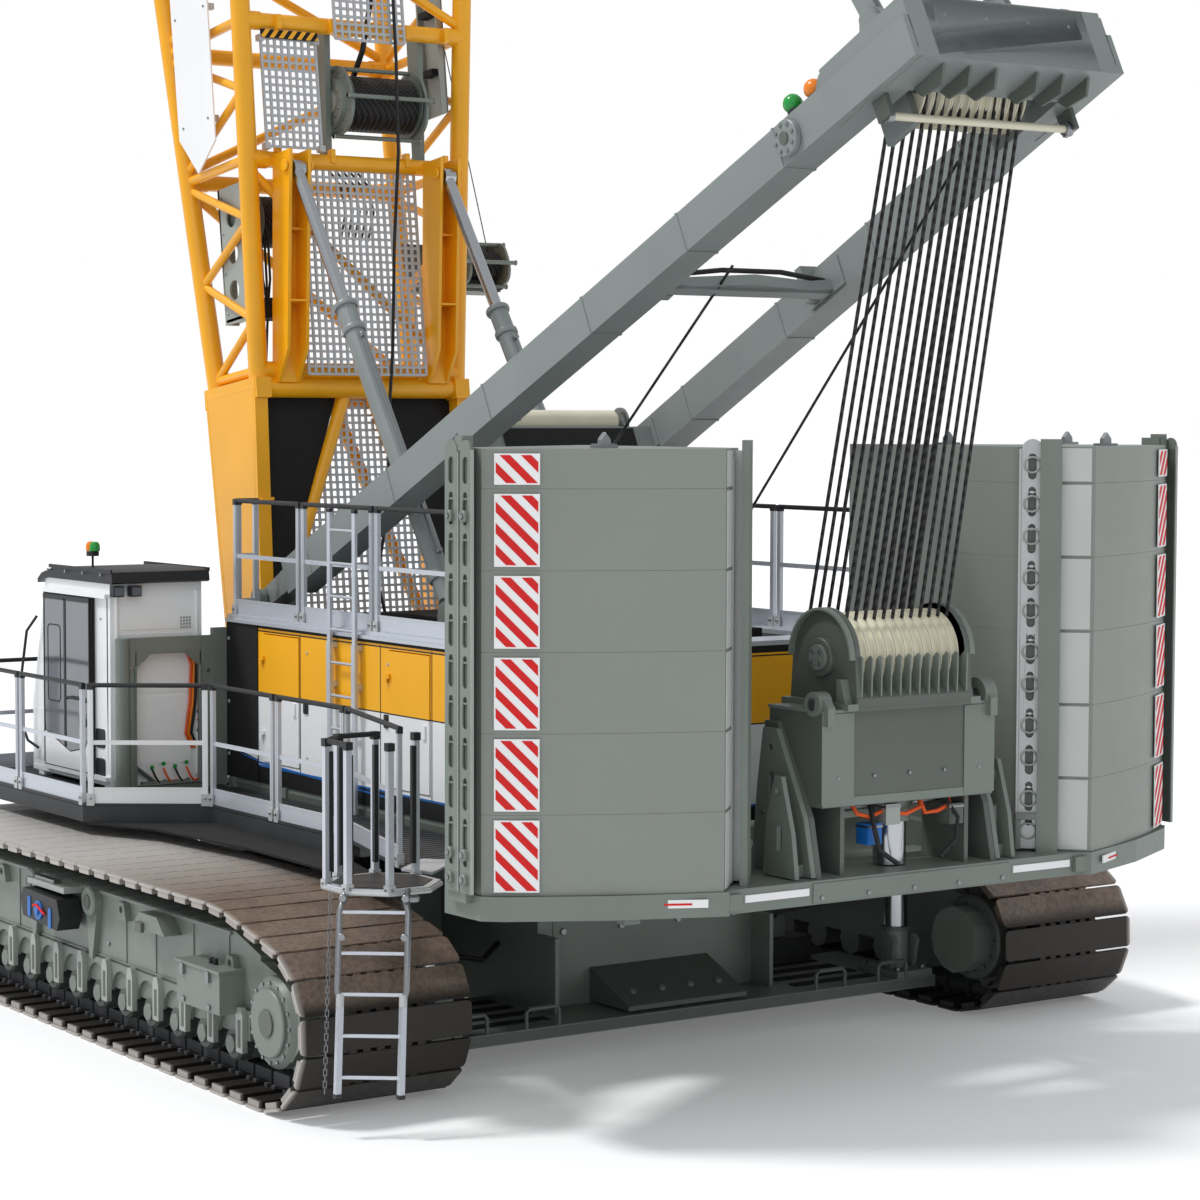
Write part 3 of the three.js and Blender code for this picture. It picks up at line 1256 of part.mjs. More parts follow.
function cabDoor() {
  const x = [CAB_X[0] - CAB_DOOR_PLAY - CAB_DOOR_THICKNESS, CAB_X[0] - CAB_DOOR_PLAY];
  const leaf = box(x, DOOR_LEAF.y, DOOR_LEAF.z);
  const pane = box(
    [x[0] - 50, x[1] + 50],
    [DOORWAY.y[0] + 40, DOORWAY.y[1] - 50],
    [2350, DOORWAY.z[1] - 40],
  );
  return cut(leaf, pane);
}

function cabRoofGuard() {
  const bottom = CAB_ROOF + SEAT;
  return plateX(
    [
      [CAB_REAR - 110, bottom],
      [3000, bottom],
      [3080, bottom - 30],
      [3080, bottom + 30],
      [2900, bottom + 110],
      [CAB_REAR - 110, bottom + 130],
    ],
    [CAB_X[0] - 30, CAB_X[1] + 30],
  );
}

function cabBracket() {
  const z = [DECK_TOP + SEAT, 3230];
  const plate = box([-2880, -HOUSE_HALF - 60], [1380, 1430], z);
  const opening = box([-2690, -2030], [1300, 1500], [1840, 3090]);
  const post = bar([-2820, 1405, z[0]], [-2820, 1405, z[1]], 70, 16);
  return join(cut(plate, opening), post);
}

function operatorSeat() {
  const x = [-2680, -2200];
  const base = box([-2560, -2320], [1950, 2250], [CAB_FLOOR + CAB_WALL + SEAT, 2260]);
  const cushion = box(x, [1850, 2380], [2250, 2380]);
  const back = plateX([[1850, 2300], [1700, 3050], [1800, 3070], [1970, 2370]], x);
  return join(base, cushion, back);
}

add("cab_shell", cabShell(), WHITE);
add("cab_door", cabDoor(), BLACK);
add("cab_roof_guard", cabRoofGuard(), BLACK);
add("cab_bracket", cabBracket(), GREY);
add("operator_seat", operatorSeat(), BLACK);

export default crane;
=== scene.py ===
"""Finish, lights and fine detail of a crawler crane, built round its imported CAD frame.

Lengths are metres. Shapes are written about the slew axis (x = 0, y = 0, ground at z = 0) and
`make` moves them to the frame's own origin, which is the centre of the crane's plan outline.
"""

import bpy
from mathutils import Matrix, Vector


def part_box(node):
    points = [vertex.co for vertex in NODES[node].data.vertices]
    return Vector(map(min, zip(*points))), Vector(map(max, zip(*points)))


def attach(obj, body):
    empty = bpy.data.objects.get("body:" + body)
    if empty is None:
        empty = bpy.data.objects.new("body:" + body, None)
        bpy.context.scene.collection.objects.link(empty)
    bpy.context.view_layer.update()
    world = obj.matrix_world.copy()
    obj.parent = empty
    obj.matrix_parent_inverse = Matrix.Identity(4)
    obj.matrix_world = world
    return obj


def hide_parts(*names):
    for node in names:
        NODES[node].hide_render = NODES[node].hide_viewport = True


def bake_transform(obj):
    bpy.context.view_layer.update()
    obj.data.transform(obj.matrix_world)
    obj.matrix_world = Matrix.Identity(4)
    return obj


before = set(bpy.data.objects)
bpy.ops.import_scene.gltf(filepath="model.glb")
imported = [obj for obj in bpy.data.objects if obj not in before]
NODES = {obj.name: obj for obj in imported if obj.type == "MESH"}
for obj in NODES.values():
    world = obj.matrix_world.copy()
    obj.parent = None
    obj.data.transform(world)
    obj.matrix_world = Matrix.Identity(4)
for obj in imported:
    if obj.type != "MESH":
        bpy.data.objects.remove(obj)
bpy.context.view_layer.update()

import math
import random

import bmesh
import bpy
from mathutils import Matrix, Vector
from mathutils.geometry import tessellate_polygon

RING_LOW, RING_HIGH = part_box("slew_ring")
SLEW_Y = (RING_LOW.y + RING_HIGH.y) / 2  # the slew axis in the frame
random.seed(7)


def node_box(name):
    """A CAD node's two corners about the slew axis."""
    low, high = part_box(name)
    shift = Vector((0, SLEW_Y, 0))
    return low - shift, high - shift


# ---------------------------------------------------------------- camera
CAMERA_SPOT = Vector((-14.766, -24.045 + SLEW_Y, 5.339))
CAMERA_YAW = 34.28  # degrees from +Y towards +X
CAMERA_PITCH = 3.575  # degrees down
CAMERA_ROLL = 0.162
CAMERA_LENS = 89.34  # millimetres on a 36 mm sensor


def set_camera():
    yaw, pitch, roll = (math.radians(a) for a in (CAMERA_YAW, CAMERA_PITCH, CAMERA_ROLL))
    forward = Vector((math.sin(yaw) * math.cos(pitch), math.cos(yaw) * math.cos(pitch), -math.sin(pitch)))
    right = Vector((math.cos(yaw), -math.sin(yaw), 0))
    up = right.cross(forward)
    tilted_right = math.cos(roll) * right + math.sin(roll) * up
    tilted_up = math.cos(roll) * up - math.sin(roll) * right
    camera = bpy.data.objects.new("camera", bpy.data.cameras.new("camera"))
    bpy.context.scene.collection.objects.link(camera)
    camera.data.lens = CAMERA_LENS
    camera.data.sensor_width = 36
    camera.data.clip_end = 400
    turn = Matrix((tilted_right, tilted_up, -forward)).transposed()
    camera.matrix_world = Matrix.Translation(CAMERA_SPOT) @ turn.to_4x4()
    bpy.context.scene.camera = camera


set_camera()


# ---------------------------------------------------------------- materials
def linear(colour):
    """A colour written as 0 to 255 on the screen, in linear light."""
    return tuple(((c / 255 + 0.055) / 1.055) ** 2.4 if c > 10 else c / 255 / 12.92 for c in colour)


class Finish:
    """A node material on Principled BSDF, written down step by step."""

    def __init__(self, name, roughness=0.5, metallic=0.0, coat=0.0):
        self.material = bpy.data.materials.new(name)
        self.material.use_nodes = True
        self.nodes = self.material.node_tree.nodes
        self.links = self.material.node_tree.links
        self.shader = self.nodes["Principled BSDF"]
        self.shader.inputs["Roughness"].default_value = roughness
        self.shader.inputs["Metallic"].default_value = metallic
        self.shader.inputs["Coat Weight"].default_value = coat
        self.shader.inputs["Coat Roughness"].default_value = 0.15
        self.spot = self.nodes.new("ShaderNodeTexCoord").outputs["Object"]

    def noise(self, scale, detail=3.0, stretch=None):
        texture = self.nodes.new("ShaderNodeTexNoise")
        texture.inputs["Scale"].default_value = scale
        texture.inputs["Detail"].default_value = detail
        source = self.spot
        if stretch:
            mapping = self.nodes.new("ShaderNodeMapping")
            mapping.inputs["Scale"].default_value = stretch
            self.links.new(source, mapping.inputs["Vector"])
            source = mapping.outputs["Vector"]
        self.links.new(source, texture.inputs["Vector"])
        return texture.outputs["Fac"]

    def ramp(self, value, *stops):
        """A colour ramp of (place, colour) stops."""
        ramp = self.nodes.new("ShaderNodeValToRGB")
        elements = ramp.color_ramp.elements
        while len(elements) < len(stops):
            elements.new(0.5)
        for element, (place, colour) in zip(elements, stops):
            element.position = place
            element.color = (*colour, 1)
        self.links.new(value, ramp.inputs["Fac"])
        return ramp.outputs["Color"]

    def spread(self, value, low, high):
        span = self.nodes.new("ShaderNodeMapRange")
        span.inputs["To Min"].default_value = low
        span.inputs["To Max"].default_value = high
        self.links.new(value, span.inputs["Value"])
        return span.outputs["Result"]

    def mix(self, factor, first, second):
        blend = self.nodes.new("ShaderNodeMix")
        blend.data_type = "RGBA"
        for socket, value in (("Factor", factor), ("A", first), ("B", second)):
            index = {"Factor": 0, "A": 6, "B": 7}[socket]
            if isinstance(value, (tuple, float)):
                blend.inputs[index].default_value = (*value, 1) if isinstance(value, tuple) else value
            else:
                self.links.new(value, blend.inputs[index])
        return blend.outputs[2]

    def multiply(self, first, second, share):
        """The first colour darkened by a share of the second."""
        blend = self.nodes.new("ShaderNodeMix")
        blend.data_type = "RGBA"
        blend.blend_type = "MULTIPLY"
        blend.inputs[0].default_value = share
        self.links.new(first, blend.inputs[6])
        self.links.new(second, blend.inputs[7])
        return blend.outputs[2]

    def coordinate(self, axis):
        split = self.nodes.new("ShaderNodeSeparateXYZ")
        self.links.new(self.spot, split.inputs["Vector"])
        return split.outputs[axis]

    def rise(self, value, low, high):
        """0 where a value is below `low` metres, 1 where it is above `high`."""
        span = self.nodes.new("ShaderNodeMapRange")
        span.inputs["From Min"].default_value = low
        span.inputs["From Max"].default_value = high
        self.links.new(value, span.inputs["Value"])
        return span.outputs["Result"]

    def off_centre(self):
        """The distance from the crane's middle plane."""
        offset = self.nodes.new("ShaderNodeMath")
        offset.operation = "ABSOLUTE"
        self.links.new(self.coordinate("X"), offset.inputs[0])
        return offset.outputs[0]

    def bump(self, value, depth, strength=0.4):
        bump = self.nodes.new("ShaderNodeBump")
        bump.inputs["Strength"].default_value = strength
        bump.inputs["Distance"].default_value = depth
        self.links.new(value, bump.inputs["Height"])
        self.links.new(bump.outputs["Normal"], self.shader.inputs["Normal"])

    def set(self, socket, value):
        self.links.new(value, self.shader.inputs[socket])

    def paint(self, colour, vary=0.06, scale=1.3):
        """A coat of paint: broad slow changes of tone, a fine skin and uneven gloss."""
        base = linear(colour)
        light = tuple(min(1, c * (1 + vary)) for c in base)
        dark = tuple(c * (1 - vary) for c in base)
        self.set("Base Color", self.ramp(self.noise(scale), (0.3, dark), (0.7, light)))
        rough = self.shader.inputs["Roughness"].default_value
        self.set("Roughness", self.spread(self.noise(6, 4), rough - 0.06, rough + 0.08))
        self.bump(self.noise(90, 2), 0.0006, 0.25)
        return self.material


def rope_finish():
    """Strands twist round the rope as slanting bands."""
    finish = Finish("wire_rope", 0.5, 0.35)
    wave = finish.nodes.new("ShaderNodeTexWave")
    wave.bands_direction = "DIAGONAL"
    wave.inputs["Scale"].default_value = 9
    wave.inputs["Distortion"].default_value = 0.6
    finish.links.new(finish.spot, wave.inputs["Vector"])
    finish.set("Base Color", finish.ramp(wave.outputs["Fac"], (0.2, linear((16, 16, 17))),
                                         (0.8, linear((52, 52, 54)))))
    finish.bump(wave.outputs["Fac"], 0.006, 0.8)
    return finish.material


def shoe_finish():
    """Track shoes: brown steel, painted highlight towards the front, painted shade low down, polished on
    the ends.
    """
    finish = Finish("track_shoe", 0.5, 0.4)
    tone = finish.ramp(
        finish.noise(2.2, 5),
        (0.3, linear((112, 98, 88))),
        (0.55, linear((134, 117, 104))),
        (0.75, linear((122, 112, 105))),
    )
    grime = finish.ramp(finish.noise(26, 4), (0.35, linear((74, 68, 64))), (0.6, (1, 1, 1)))
    # Painted highlight: the shoes turn pale towards the front of the track.
    painted_highlight_mask = finish.rise(finish.coordinate("Y"), -1.9, 0.7)
    # Painted shade: shoes below the top run are painted dark brown.
    clear_of_painted_shade = finish.rise(finish.coordinate("Z"), 0.86, 0.96)
    shoe_end = finish.rise(finish.off_centre(), 4.2, 4.25)
    pale = finish.mix(painted_highlight_mask, finish.multiply(tone, grime, 0.35), linear((196, 192, 187)))
    shaded = finish.mix(clear_of_painted_shade, linear((46, 42, 38)), pale)
    worn = finish.mix(shoe_end, shaded, linear((178, 172, 166)))
    finish.set("Base Color", worn)
    finish.set("Roughness", finish.spread(finish.noise(14, 4), 0.3, 0.58))
    finish.bump(finish.noise(60, 4), 0.002, 0.5)
    return finish.material


def metal_finish(name, colour, roughness, stretch, metallic=1.0):
    """Bare metal with a brushed or drawn grain along one direction."""
    finish = Finish(name, roughness, metallic)
    base = linear(colour)
    grain = finish.noise(18, 4, stretch)
    finish.set("Base Color", finish.ramp(grain, (0.3, tuple(c * 0.88 for c in base)), (0.7, base)))
    finish.set("Roughness", finish.spread(grain, roughness - 0.07, roughness + 0.1))
    finish.bump(grain, 0.0004, 0.2)
    return finish.material


def soft_finish(name, colour, roughness, scale, depth, vary=0.12):
    """Rubber, nylon, moulded plastic or grained trim."""
    finish = Finish(name, roughness)
    base = linear(colour)
    dark = tuple(c * (1 - vary) for c in base)
    light = tuple(min(1, c * (1 + vary)) for c in base)
    finish.set("Base Color", finish.ramp(finish.noise(5, 3), (0.3, dark), (0.7, light)))
    finish.set("Roughness", finish.spread(finish.noise(20, 2), roughness - 0.05, roughness + 0.08))
    finish.bump(finish.noise(scale, 3), depth, 0.4)
    return finish.material


def glass_finish():
    """Dark tinted glass with faint streaks in its gloss."""
    finish = Finish("tinted_glass", 0.06, 0.0, 0.6)
    finish.set("Base Color", finish.ramp(finish.noise(0.8), (0.3, linear((70, 74, 80))),
                                         (0.7, linear((92, 97, 104)))))
    finish.set("Roughness", finish.spread(finish.noise(3, 2), 0.04, 0.14))
    finish.bump(finish.noise(1.5, 1), 0.0008, 0.1)
    return finish.material


def seat_finish():
    finish = Finish("seat_cloth", 0.85)
    weave = finish.nodes.new("ShaderNodeTexVoronoi")
    weave.inputs["Scale"].default_value = 260
    finish.links.new(finish.spot, weave.inputs["Vector"])
    finish.set("Base Color", finish.ramp(weave.outputs["Distance"], (0.1, linear((26, 27, 30))),
                                         (0.8, linear((48, 50, 56)))))
    finish.bump(weave.outputs["Distance"], 0.001, 0.5)
    return finish.material


def livery_finish():
    """House sides: a black skirt, a white band, a yellow band and thin dark lines between them."""
    finish = Finish("house_livery", 0.36)
    low, high = 1.8, 3.4
    skirt, line, blue, white, yellow = (6, 6, 7), (9, 9, 10), (18, 100, 178), (236, 238, 239), (255, 182, 2)
    bands = (
        (low, skirt), (2.03, blue), (2.045, white), (2.722, line), (2.735, yellow), (3.3, line),
        (3.31, yellow),
    )
    stops = [((place - low) / (high - low), linear(colour)) for place, colour in bands]
    tone = finish.ramp(finish.rise(finish.coordinate("Z"), low, high), *stops)
    tone.node.color_ramp.interpolation = "CONSTANT"
    wear = finish.ramp(finish.noise(1.3), (0.3, (0.94, 0.94, 0.94)), (0.7, (1, 1, 1)))
    finish.set("Base Color", finish.multiply(tone, wear, 1.0))
    finish.set("Roughness", finish.spread(finish.noise(6, 4), 0.42, 0.56))
    finish.bump(finish.noise(90, 2), 0.0006, 0.25)
    return finish.material


FINISHES = {
    "livery": livery_finish(),
    "grey": Finish("grey_green_paint", 0.42, 0.1).paint((120, 128, 121)),
    "grey_dark": Finish("dark_green_grey_paint", 0.45, 0.1).paint((92, 98, 92)),
    "mast_grey": Finish("mast_paint", 0.4, 0.1).paint((133, 140, 138)),
    "ballast": Finish("ballast_paint", 0.42, 0.15).paint((136, 141, 134), 0.04, 0.5),
    "ballast_pale": Finish("pale_ballast_paint", 0.4, 0.1).paint((196, 199, 196), 0.04, 0.5),
    "yellow": Finish("yellow_paint", 0.36, 0.0, 0.25).paint((249, 176, 14), 0.05),
    "black": Finish("black_paint", 0.78).paint((6, 6, 7), 0.2),
    "white": Finish("white_paint", 0.35, 0.0, 0.2).paint((236, 238, 239), 0.02),
    "blue": Finish("blue_paint", 0.4).paint((18, 100, 178), 0.08),
    "red": Finish("red_film", 0.62).paint((214, 8, 8), 0.05),
    "film_white": Finish("white_film", 0.35).paint((243, 243, 243), 0.02),
    "deck": Finish("deck_coating", 0.5, 0.2).paint((52, 54, 56), 0.2, 3),
    "engine": Finish("engine_casting", 0.6, 0.3).paint((70, 72, 72), 0.15, 4),
    "shoe": shoe_finish(),
    "rope": rope_finish(),
    "aluminium": metal_finish("aluminium", (205, 210, 218), 0.34, (1, 1, 12), 0.55),
    "mesh_metal": metal_finish("galvanised_mesh", (190, 193, 196), 0.45, (3, 3, 3), 0.3),
    "link": Finish("track_link", 0.5, 0.3).paint((74, 76, 79), 0.12, 3),
    # Pale grey; on the side frames' lugs it is a painted highlight.
    "grey_pale": Finish("pale_grey_paint", 0.4, 0.2).paint((158, 164, 158), 0.06),
    "steel": metal_finish("bare_steel", (150, 152, 154), 0.35, (6, 6, 1)),
    "steel_pale": metal_finish("pale_steel", (196, 198, 198), 0.38, (5, 5, 2), 0.4),
    "chrome": metal_finish("rod_chrome", (186, 189, 192), 0.2, (8, 8, 1)),
    "nylon": soft_finish("cast_nylon", (216, 211, 188), 0.5, 60, 0.001, 0.04),
    "rubber": soft_finish("black_rubber", (22, 22, 23), 0.6, 120, 0.001),
    "plastic": soft_finish("black_plastic", (28, 29, 31), 0.48, 200, 0.0006),
    "orange": soft_finish("orange_sleeve", (232, 92, 30), 0.5, 150, 0.001, 0.08),
    "lamp_orange": soft_finish("amber_lens", (240, 130, 20), 0.25, 30, 0.0004, 0.05),
    "lamp_green": soft_finish("green_lens", (24, 150, 58), 0.25, 30, 0.0004, 0.05),
    "glass": glass_finish(),
    "cloth": seat_finish(),
}


# ---------------------------------------------------------------- shapes
BOOM_FOOT = (1.9, 2.15)  # y and z of the pin that carries the boom
BOOM_LEAN = math.radians(7)  # forward from upright
MAST_FOOT = (1.45, 3.55)
MAST_RISE = math.radians(26)  # above level, lying back
BOX_FACES = [(0, 1, 3, 2), (4, 6, 7, 5), (0, 4, 5, 1), (2, 3, 7, 6), (0, 2, 6, 4), (1, 5, 7, 3)]


def boom_spot(point):
    """(x, along the boom, in front of its axis) about the slew axis."""
    x, along, front = point
    sine, cosine = math.sin(BOOM_LEAN), math.cos(BOOM_LEAN)
    return (x, BOOM_FOOT[0] + along * sine + front * cosine, BOOM_FOOT[1] + along * cosine - front * sine)


def mast_spot(point):
    """(x, along the mast, above its axis) about the slew axis."""
    x, along, above = point
    sine, cosine = math.sin(MAST_RISE), math.cos(MAST_RISE)
    return (x, MAST_FOOT[0] - along * cosine + above * sine, MAST_FOOT[1] + along * sine + above * cosine)


class Shape:
    """Faces gathered about the slew axis, in metres, each with its own finish."""

    def __init__(self, spot=tuple):
        self.spot = spot
        self.points = []
        self.faces = []
        self.skins = []
        self.names = []

    def add(self, points, faces, skin):
        if skin not in self.names:
            self.names.append(skin)
        start = len(self.points)
        self.points += [tuple(self.spot(p)) for p in points]
        self.faces += [[start + i for i in face] for face in faces]
        self.skins += [self.names.index(skin)] * len(faces)

    def box(self, x, y, z, skin, place=tuple):
        """A block between three spans; `place` may move its corners."""
        corners = [place((a, b, c)) for a in x for b in y for c in z]
        self.add(corners, BOX_FACES, skin)

    def plate(self, outline, span, skin, axis="x", holes=(), place=tuple, whole=False):
        """An outline run over a span of one axis; it holds the other two, and `place` may move it.

        A `whole` plate has one face for each cap; others have their caps cut into triangles.
        """
        order = {
            "x": lambda u, v, w: (w, u, v),
            "y": lambda u, v, w: (u, w, v),
            "z": lambda u, v, w: (u, v, w),
        }
        loops = [list(outline)] + [list(hole) for hole in holes]
        flat = [p for loop in loops for p in loop]
        count = len(flat)
        caps = [range(count)]
        if not whole:
            caps = tessellate_polygon([[Vector((u, v, 0)) for u, v in loop] for loop in loops])
        points = [place(order[axis](u, v, w)) for w in span for u, v in flat]
        faces = [tuple(t) for t in caps] + [tuple(count + i for i in reversed(t)) for t in caps]
        start = 0
        for loop in loops:
            size = len(loop)
            for i in range(size):
                a, b = start + i, start + (i + 1) % size
                faces.append((a, b, count + b, count + a))
            start += size
        self.add(points, faces, skin)

    def pipe(self, line, radius, skin, sides=8, closed=False):
        """A round bar along a line of points; radius is one number or one for each point."""
        line = [Vector(p) for p in line]
        radii = radius if isinstance(radius, (list, tuple)) else [radius] * len(line)
        count = len(line)
        points = []
        side = None
        for i, spot in enumerate(line):
            before = line[i - 1] if i or closed else line[0]
            after = line[(i + 1) % count] if i < count - 1 or closed else line[-1]
            along = (after - before).normalized()
            if side is None:
                side = along.orthogonal().normalized()
            side = (side - along * side.dot(along)).normalized()
            other = along.cross(side)
            for step in range(sides):
                turn = 2 * math.pi * step / sides
                points.append(spot + radii[i] * (math.cos(turn) * side + math.sin(turn) * other))
        faces = []
        for i in range(count if closed else count - 1):
            j = (i + 1) % count
            for step in range(sides):
                after = (step + 1) % sides
                faces.append((i * sides + step, i * sides + after, j * sides + after, j * sides + step))
        if not closed:
            faces.append(tuple(reversed(range(sides))))
            faces.append(tuple((count - 1) * sides + i for i in range(sides)))
        self.add(points, faces, skin)

    def lathe(self, centre, axis, profile, skin, sides=24):
        """A closed ring of (radius, along) points turned about the axis through centre."""
        centre, axis = Vector(centre), Vector(axis).normalized()
        side = axis.orthogonal().normalized()
        other = axis.cross(side)
        count = len(profile)
        points = []
        for step in range(sides):
            turn = 2 * math.pi * step / sides
            out = math.cos(turn) * side + math.sin(turn) * other
            points += [centre + axis * along + out * radius for radius, along in profile]
        faces = []
        for step in range(sides):
            here, there = step * count, (step + 1) % sides * count
            for i in range(count):
                j = (i + 1) % count
                faces.append((here + i, here + j, there + j, there + i))
        self.add(points, faces, skin)

    def disc(self, centre, axis, radius, thick, skin, sides=20, chamfer=0.15):
        """A round boss with a chamfered rim, standing on centre."""
        rim = min(radius, thick) * chamfer
        line = [(0.0005, 0), (radius, 0), (radius, thick - rim), (radius - rim, thick), (0.0005, thick)]
        self.lathe(centre, axis, line, skin, sides)

    def ball(self, centre, radius, skin, flat=1.0):
        rings = 8
        line = []
        for i in range(rings + 1):
            turn = math.pi * i / rings
            line.append((max(0.0005, radius * math.sin(turn)), -radius * flat * math.cos(turn)))
        self.lathe(centre, (0, 0, 1), line, skin, 12)

    def bolts(self, spots, axis, radius, skin, thick=0.02):
        for spot in spots:
            self.disc(spot, axis, radius, thick, skin, 6)


def mirrored(side, a, b):
    """The span from a to b on the side that is 1 or -1, lower end first."""
    return sorted((side * a, side * b))


def around(middle, half):
    """The span that reaches `half` to both sides of its middle."""
    return middle - half, middle + half


def rect(u, v):
    """A rectangle's outline from its two spans."""
    return [(u[0], v[0]), (u[1], v[0]), (u[1], v[1]), (u[0], v[1])]


def circle(u, v, radius, sides=16, start=0.0):
    turns = (start + 2 * math.pi * i / sides for i in range(sides))
    return [(u + radius * math.cos(turn), v + radius * math.sin(turn)) for turn in turns]


def half_circle(u, v, radius, steps):
    """The upper half of a circle, both ends included."""
    turns = (math.pi * i / steps for i in range(steps + 1))
    return [(u + radius * math.cos(turn), v + radius * math.sin(turn)) for turn in turns]


def slot_hole(u, v, half, radius, upright=True, sides=6):
    """A slot's outline: two half circles joined by straight sides."""
    loop = []
    for end in (1, -1):
        for i in range(sides + 1):
            turn = math.pi * i / sides + (0 if end > 0 else math.pi)
            a, b = radius * math.cos(turn), radius * math.sin(turn) + end * half
            loop.append((u + a, v + b) if upright else (u + b, v + a))
    return loop


def rounded(u, v, radius, steps=3):
    """A rectangle's outline with rounded corners."""
    loop = []
    for cu, cv, start in (
        (u[1], v[1], 0.0),
        (u[0], v[1], 0.5),
        (u[0], v[0], 1.0),
        (u[1], v[0], 1.5),
    ):
        du = -radius if cu == u[1] else radius
        dv = -radius if cv == v[1] else radius
        for i in range(steps + 1):
            turn = math.pi * (start + 0.5 * i / steps)
            loop.append((cu + du + radius * math.cos(turn), cv + dv + radius * math.sin(turn)))
    return loop


def stripes(u, v, width, slope, gap):
    """Slanted bands clipped to a rectangle: outlines of every second band across it."""
    bands = []
    height = v[1] - v[0]
    lean = height * slope
    start = u[0] - max(0, lean) - gap
    while start < u[1] + max(0, -lean):
        corners = [(start, v[0]), (start + width, v[0]), (start + width + lean, v[1]), (start + lean, v[1])]
        band = clip(corners, 0, u[0], 1)
        band = clip(band, 0, u[1], -1)
        if len(band) > 2:
            bands.append(band)
        start += width + gap
    return bands


def clip(outline, axis, limit, sign):
    """The part of an outline on one side of a line across an axis."""
    kept = []
    for i, here in enumerate(outline):
        there = outline[(i + 1) % len(outline)]
        inside, next_inside = sign * here[axis] >= sign * limit, sign * there[axis] >= sign * limit
        if inside:
            kept.append(here)
        if inside != next_inside:
            share = (limit - here[axis]) / (there[axis] - here[axis])
            kept.append(tuple(here[k] + share * (there[k] - here[k]) for k in (0, 1)))
    return kept


def sharpen(mesh, angle=35):
    mesh.shade_smooth()
    mesh.set_sharp_from_angle(angle=math.radians(angle))


FINE_BEVEL = 0.004  # edges this narrow or narrower take a single face


def add_bevel(piece, width):
    bevel = piece.modifiers.new("edges", "BEVEL")
    bevel.width = width
    bevel.segments = 2 if width > FINE_BEVEL else 1
    bevel.limit_method = "ANGLE"
    bevel.angle_limit = math.radians(32)
    bevel.use_clamp_overlap = True
    bevel.harden_normals = True


def mesh_piece(name, shape):
    """A mesh object made from a shape, with its faces turned outwards."""
    mesh = bpy.data.meshes.new(name)
    mesh.from_pydata([(x, y + SLEW_Y, z) for x, y, z in shape.points], [], shape.faces)
    mesh.polygons.foreach_set("material_index", shape.skins)
    for skin in shape.names:
        mesh.materials.append(FINISHES[skin])
    work = bmesh.new()
    work.from_mesh(mesh)
    bmesh.ops.recalc_face_normals(work, faces=work.faces)
    work.to_mesh(mesh)
    work.free()
    sharpen(mesh)
    piece = bpy.data.objects.new(name, mesh)
    bpy.context.scene.collection.objects.link(piece)
    return piece


def make(name, shape, body, bevel=0.0, replaces=()):
    """One finished piece: it rides on its body and may stand for CAD nodes."""
    piece = mesh_piece(name, shape)
    if bevel:
        add_bevel(piece, bevel)
    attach(piece, body)
    if replaces:
        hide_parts(*replaces)
    return piece


# ---------------------------------------------------------------- CAD nodes that stay
def dress(names, skin, bevel=0.0):
    """CAD nodes that keep their own shape take a finish and softened edges."""
    for name in names:
        node = NODES[name]
        node.data.materials.clear()
        node.data.materials.append(FINISHES[skin])
        if bevel:
            add_bevel(node, bevel)


def dress_nodes():
    dress(["hook_block"], "yellow", 0.006)
    dress(["boom_head_sheaves"], "nylon")
    dress(["ballast_tray", "upper_frame", "carbody", "front_walkway", "rear_walkway"], "grey", 0.006)
    dress(["cab_bracket", "left_side_frame", "right_side_frame"], "grey", 0.005)
    dress(["gantry_mast", "left_pendant", "right_pendant"], "mast_grey", 0.004)
    dress(["left_backstop_barrel", "right_backstop_barrel"], "mast_grey", 0.004)
    dress(["left_backstop_rod", "right_backstop_rod"], "chrome")
    dress(["slew_ring", "luffing_beam"], "grey_dark", 0.005)
    dress(["cab_shell"], "white", 0.006)
    dress(["house_shell"], "livery", 0.006)
    dress(["house_roof", "cab_door"], "black", 0.004)
    dress(["engine_block"], "engine", 0.01)
    for side in ("left", "right"):
        dress([f"{side}_front_service_door", f"{side}_rear_service_door"], "livery", 0.006)


dress_nodes()
# ---------------------------------------------------------------- tracks
TRACK_MIDDLE = 3.5
SHOE_COUNT = 67
SHOE_HALF = 0.75  # half of a shoe's length across the track
END_WHEEL = (4.04, 0.66)  # y and z of an end wheel, and its shoe radius is its height
TOP_RUN_HALF = 3.27
TRACK_TOP = 1.5
SIDE_FRAME_FACE = 3.951  # distance of a side frame's outer face from the middle plane
COVER_Y = 3.92  # of the covers on the end wheels
WALKWAY_TOP = 0.31


def track_path():
    """Points round one track in (y, z), from the rear of the bottom run."""
    wheel_y, radius = END_WHEEL
    reach = math.hypot(wheel_y - TOP_RUN_HALF, TRACK_TOP - radius)
    tangent = math.atan2(TRACK_TOP - radius, TOP_RUN_HALF - wheel_y) - math.acos(radius / reach)
    steps = 24
    sweep = [-math.pi / 2 + (tangent + math.pi / 2) * i / steps for i in range(steps + 1)]
    front = [(wheel_y + radius * math.cos(a), radius + radius * math.sin(a)) for a in sweep]
    rear = [(-y, z) for y, z in reversed(front)]
    top = [(TOP_RUN_HALF, TRACK_TOP), (-TOP_RUN_HALF, TRACK_TOP)]
    return [(-wheel_y, 0.0)] + front + top + rear[:-1]


def along_path(path, distance):
    """The point at a distance along a closed path."""
    count = len(path)
    for i in range(count * 2):
        a, b = Vector(path[i % count]), Vector(path[(i + 1) % count])
        step = (b - a).length
        if distance <= step:
            return a.lerp(b, distance / step)
        distance -= step
    return Vector(path[0])


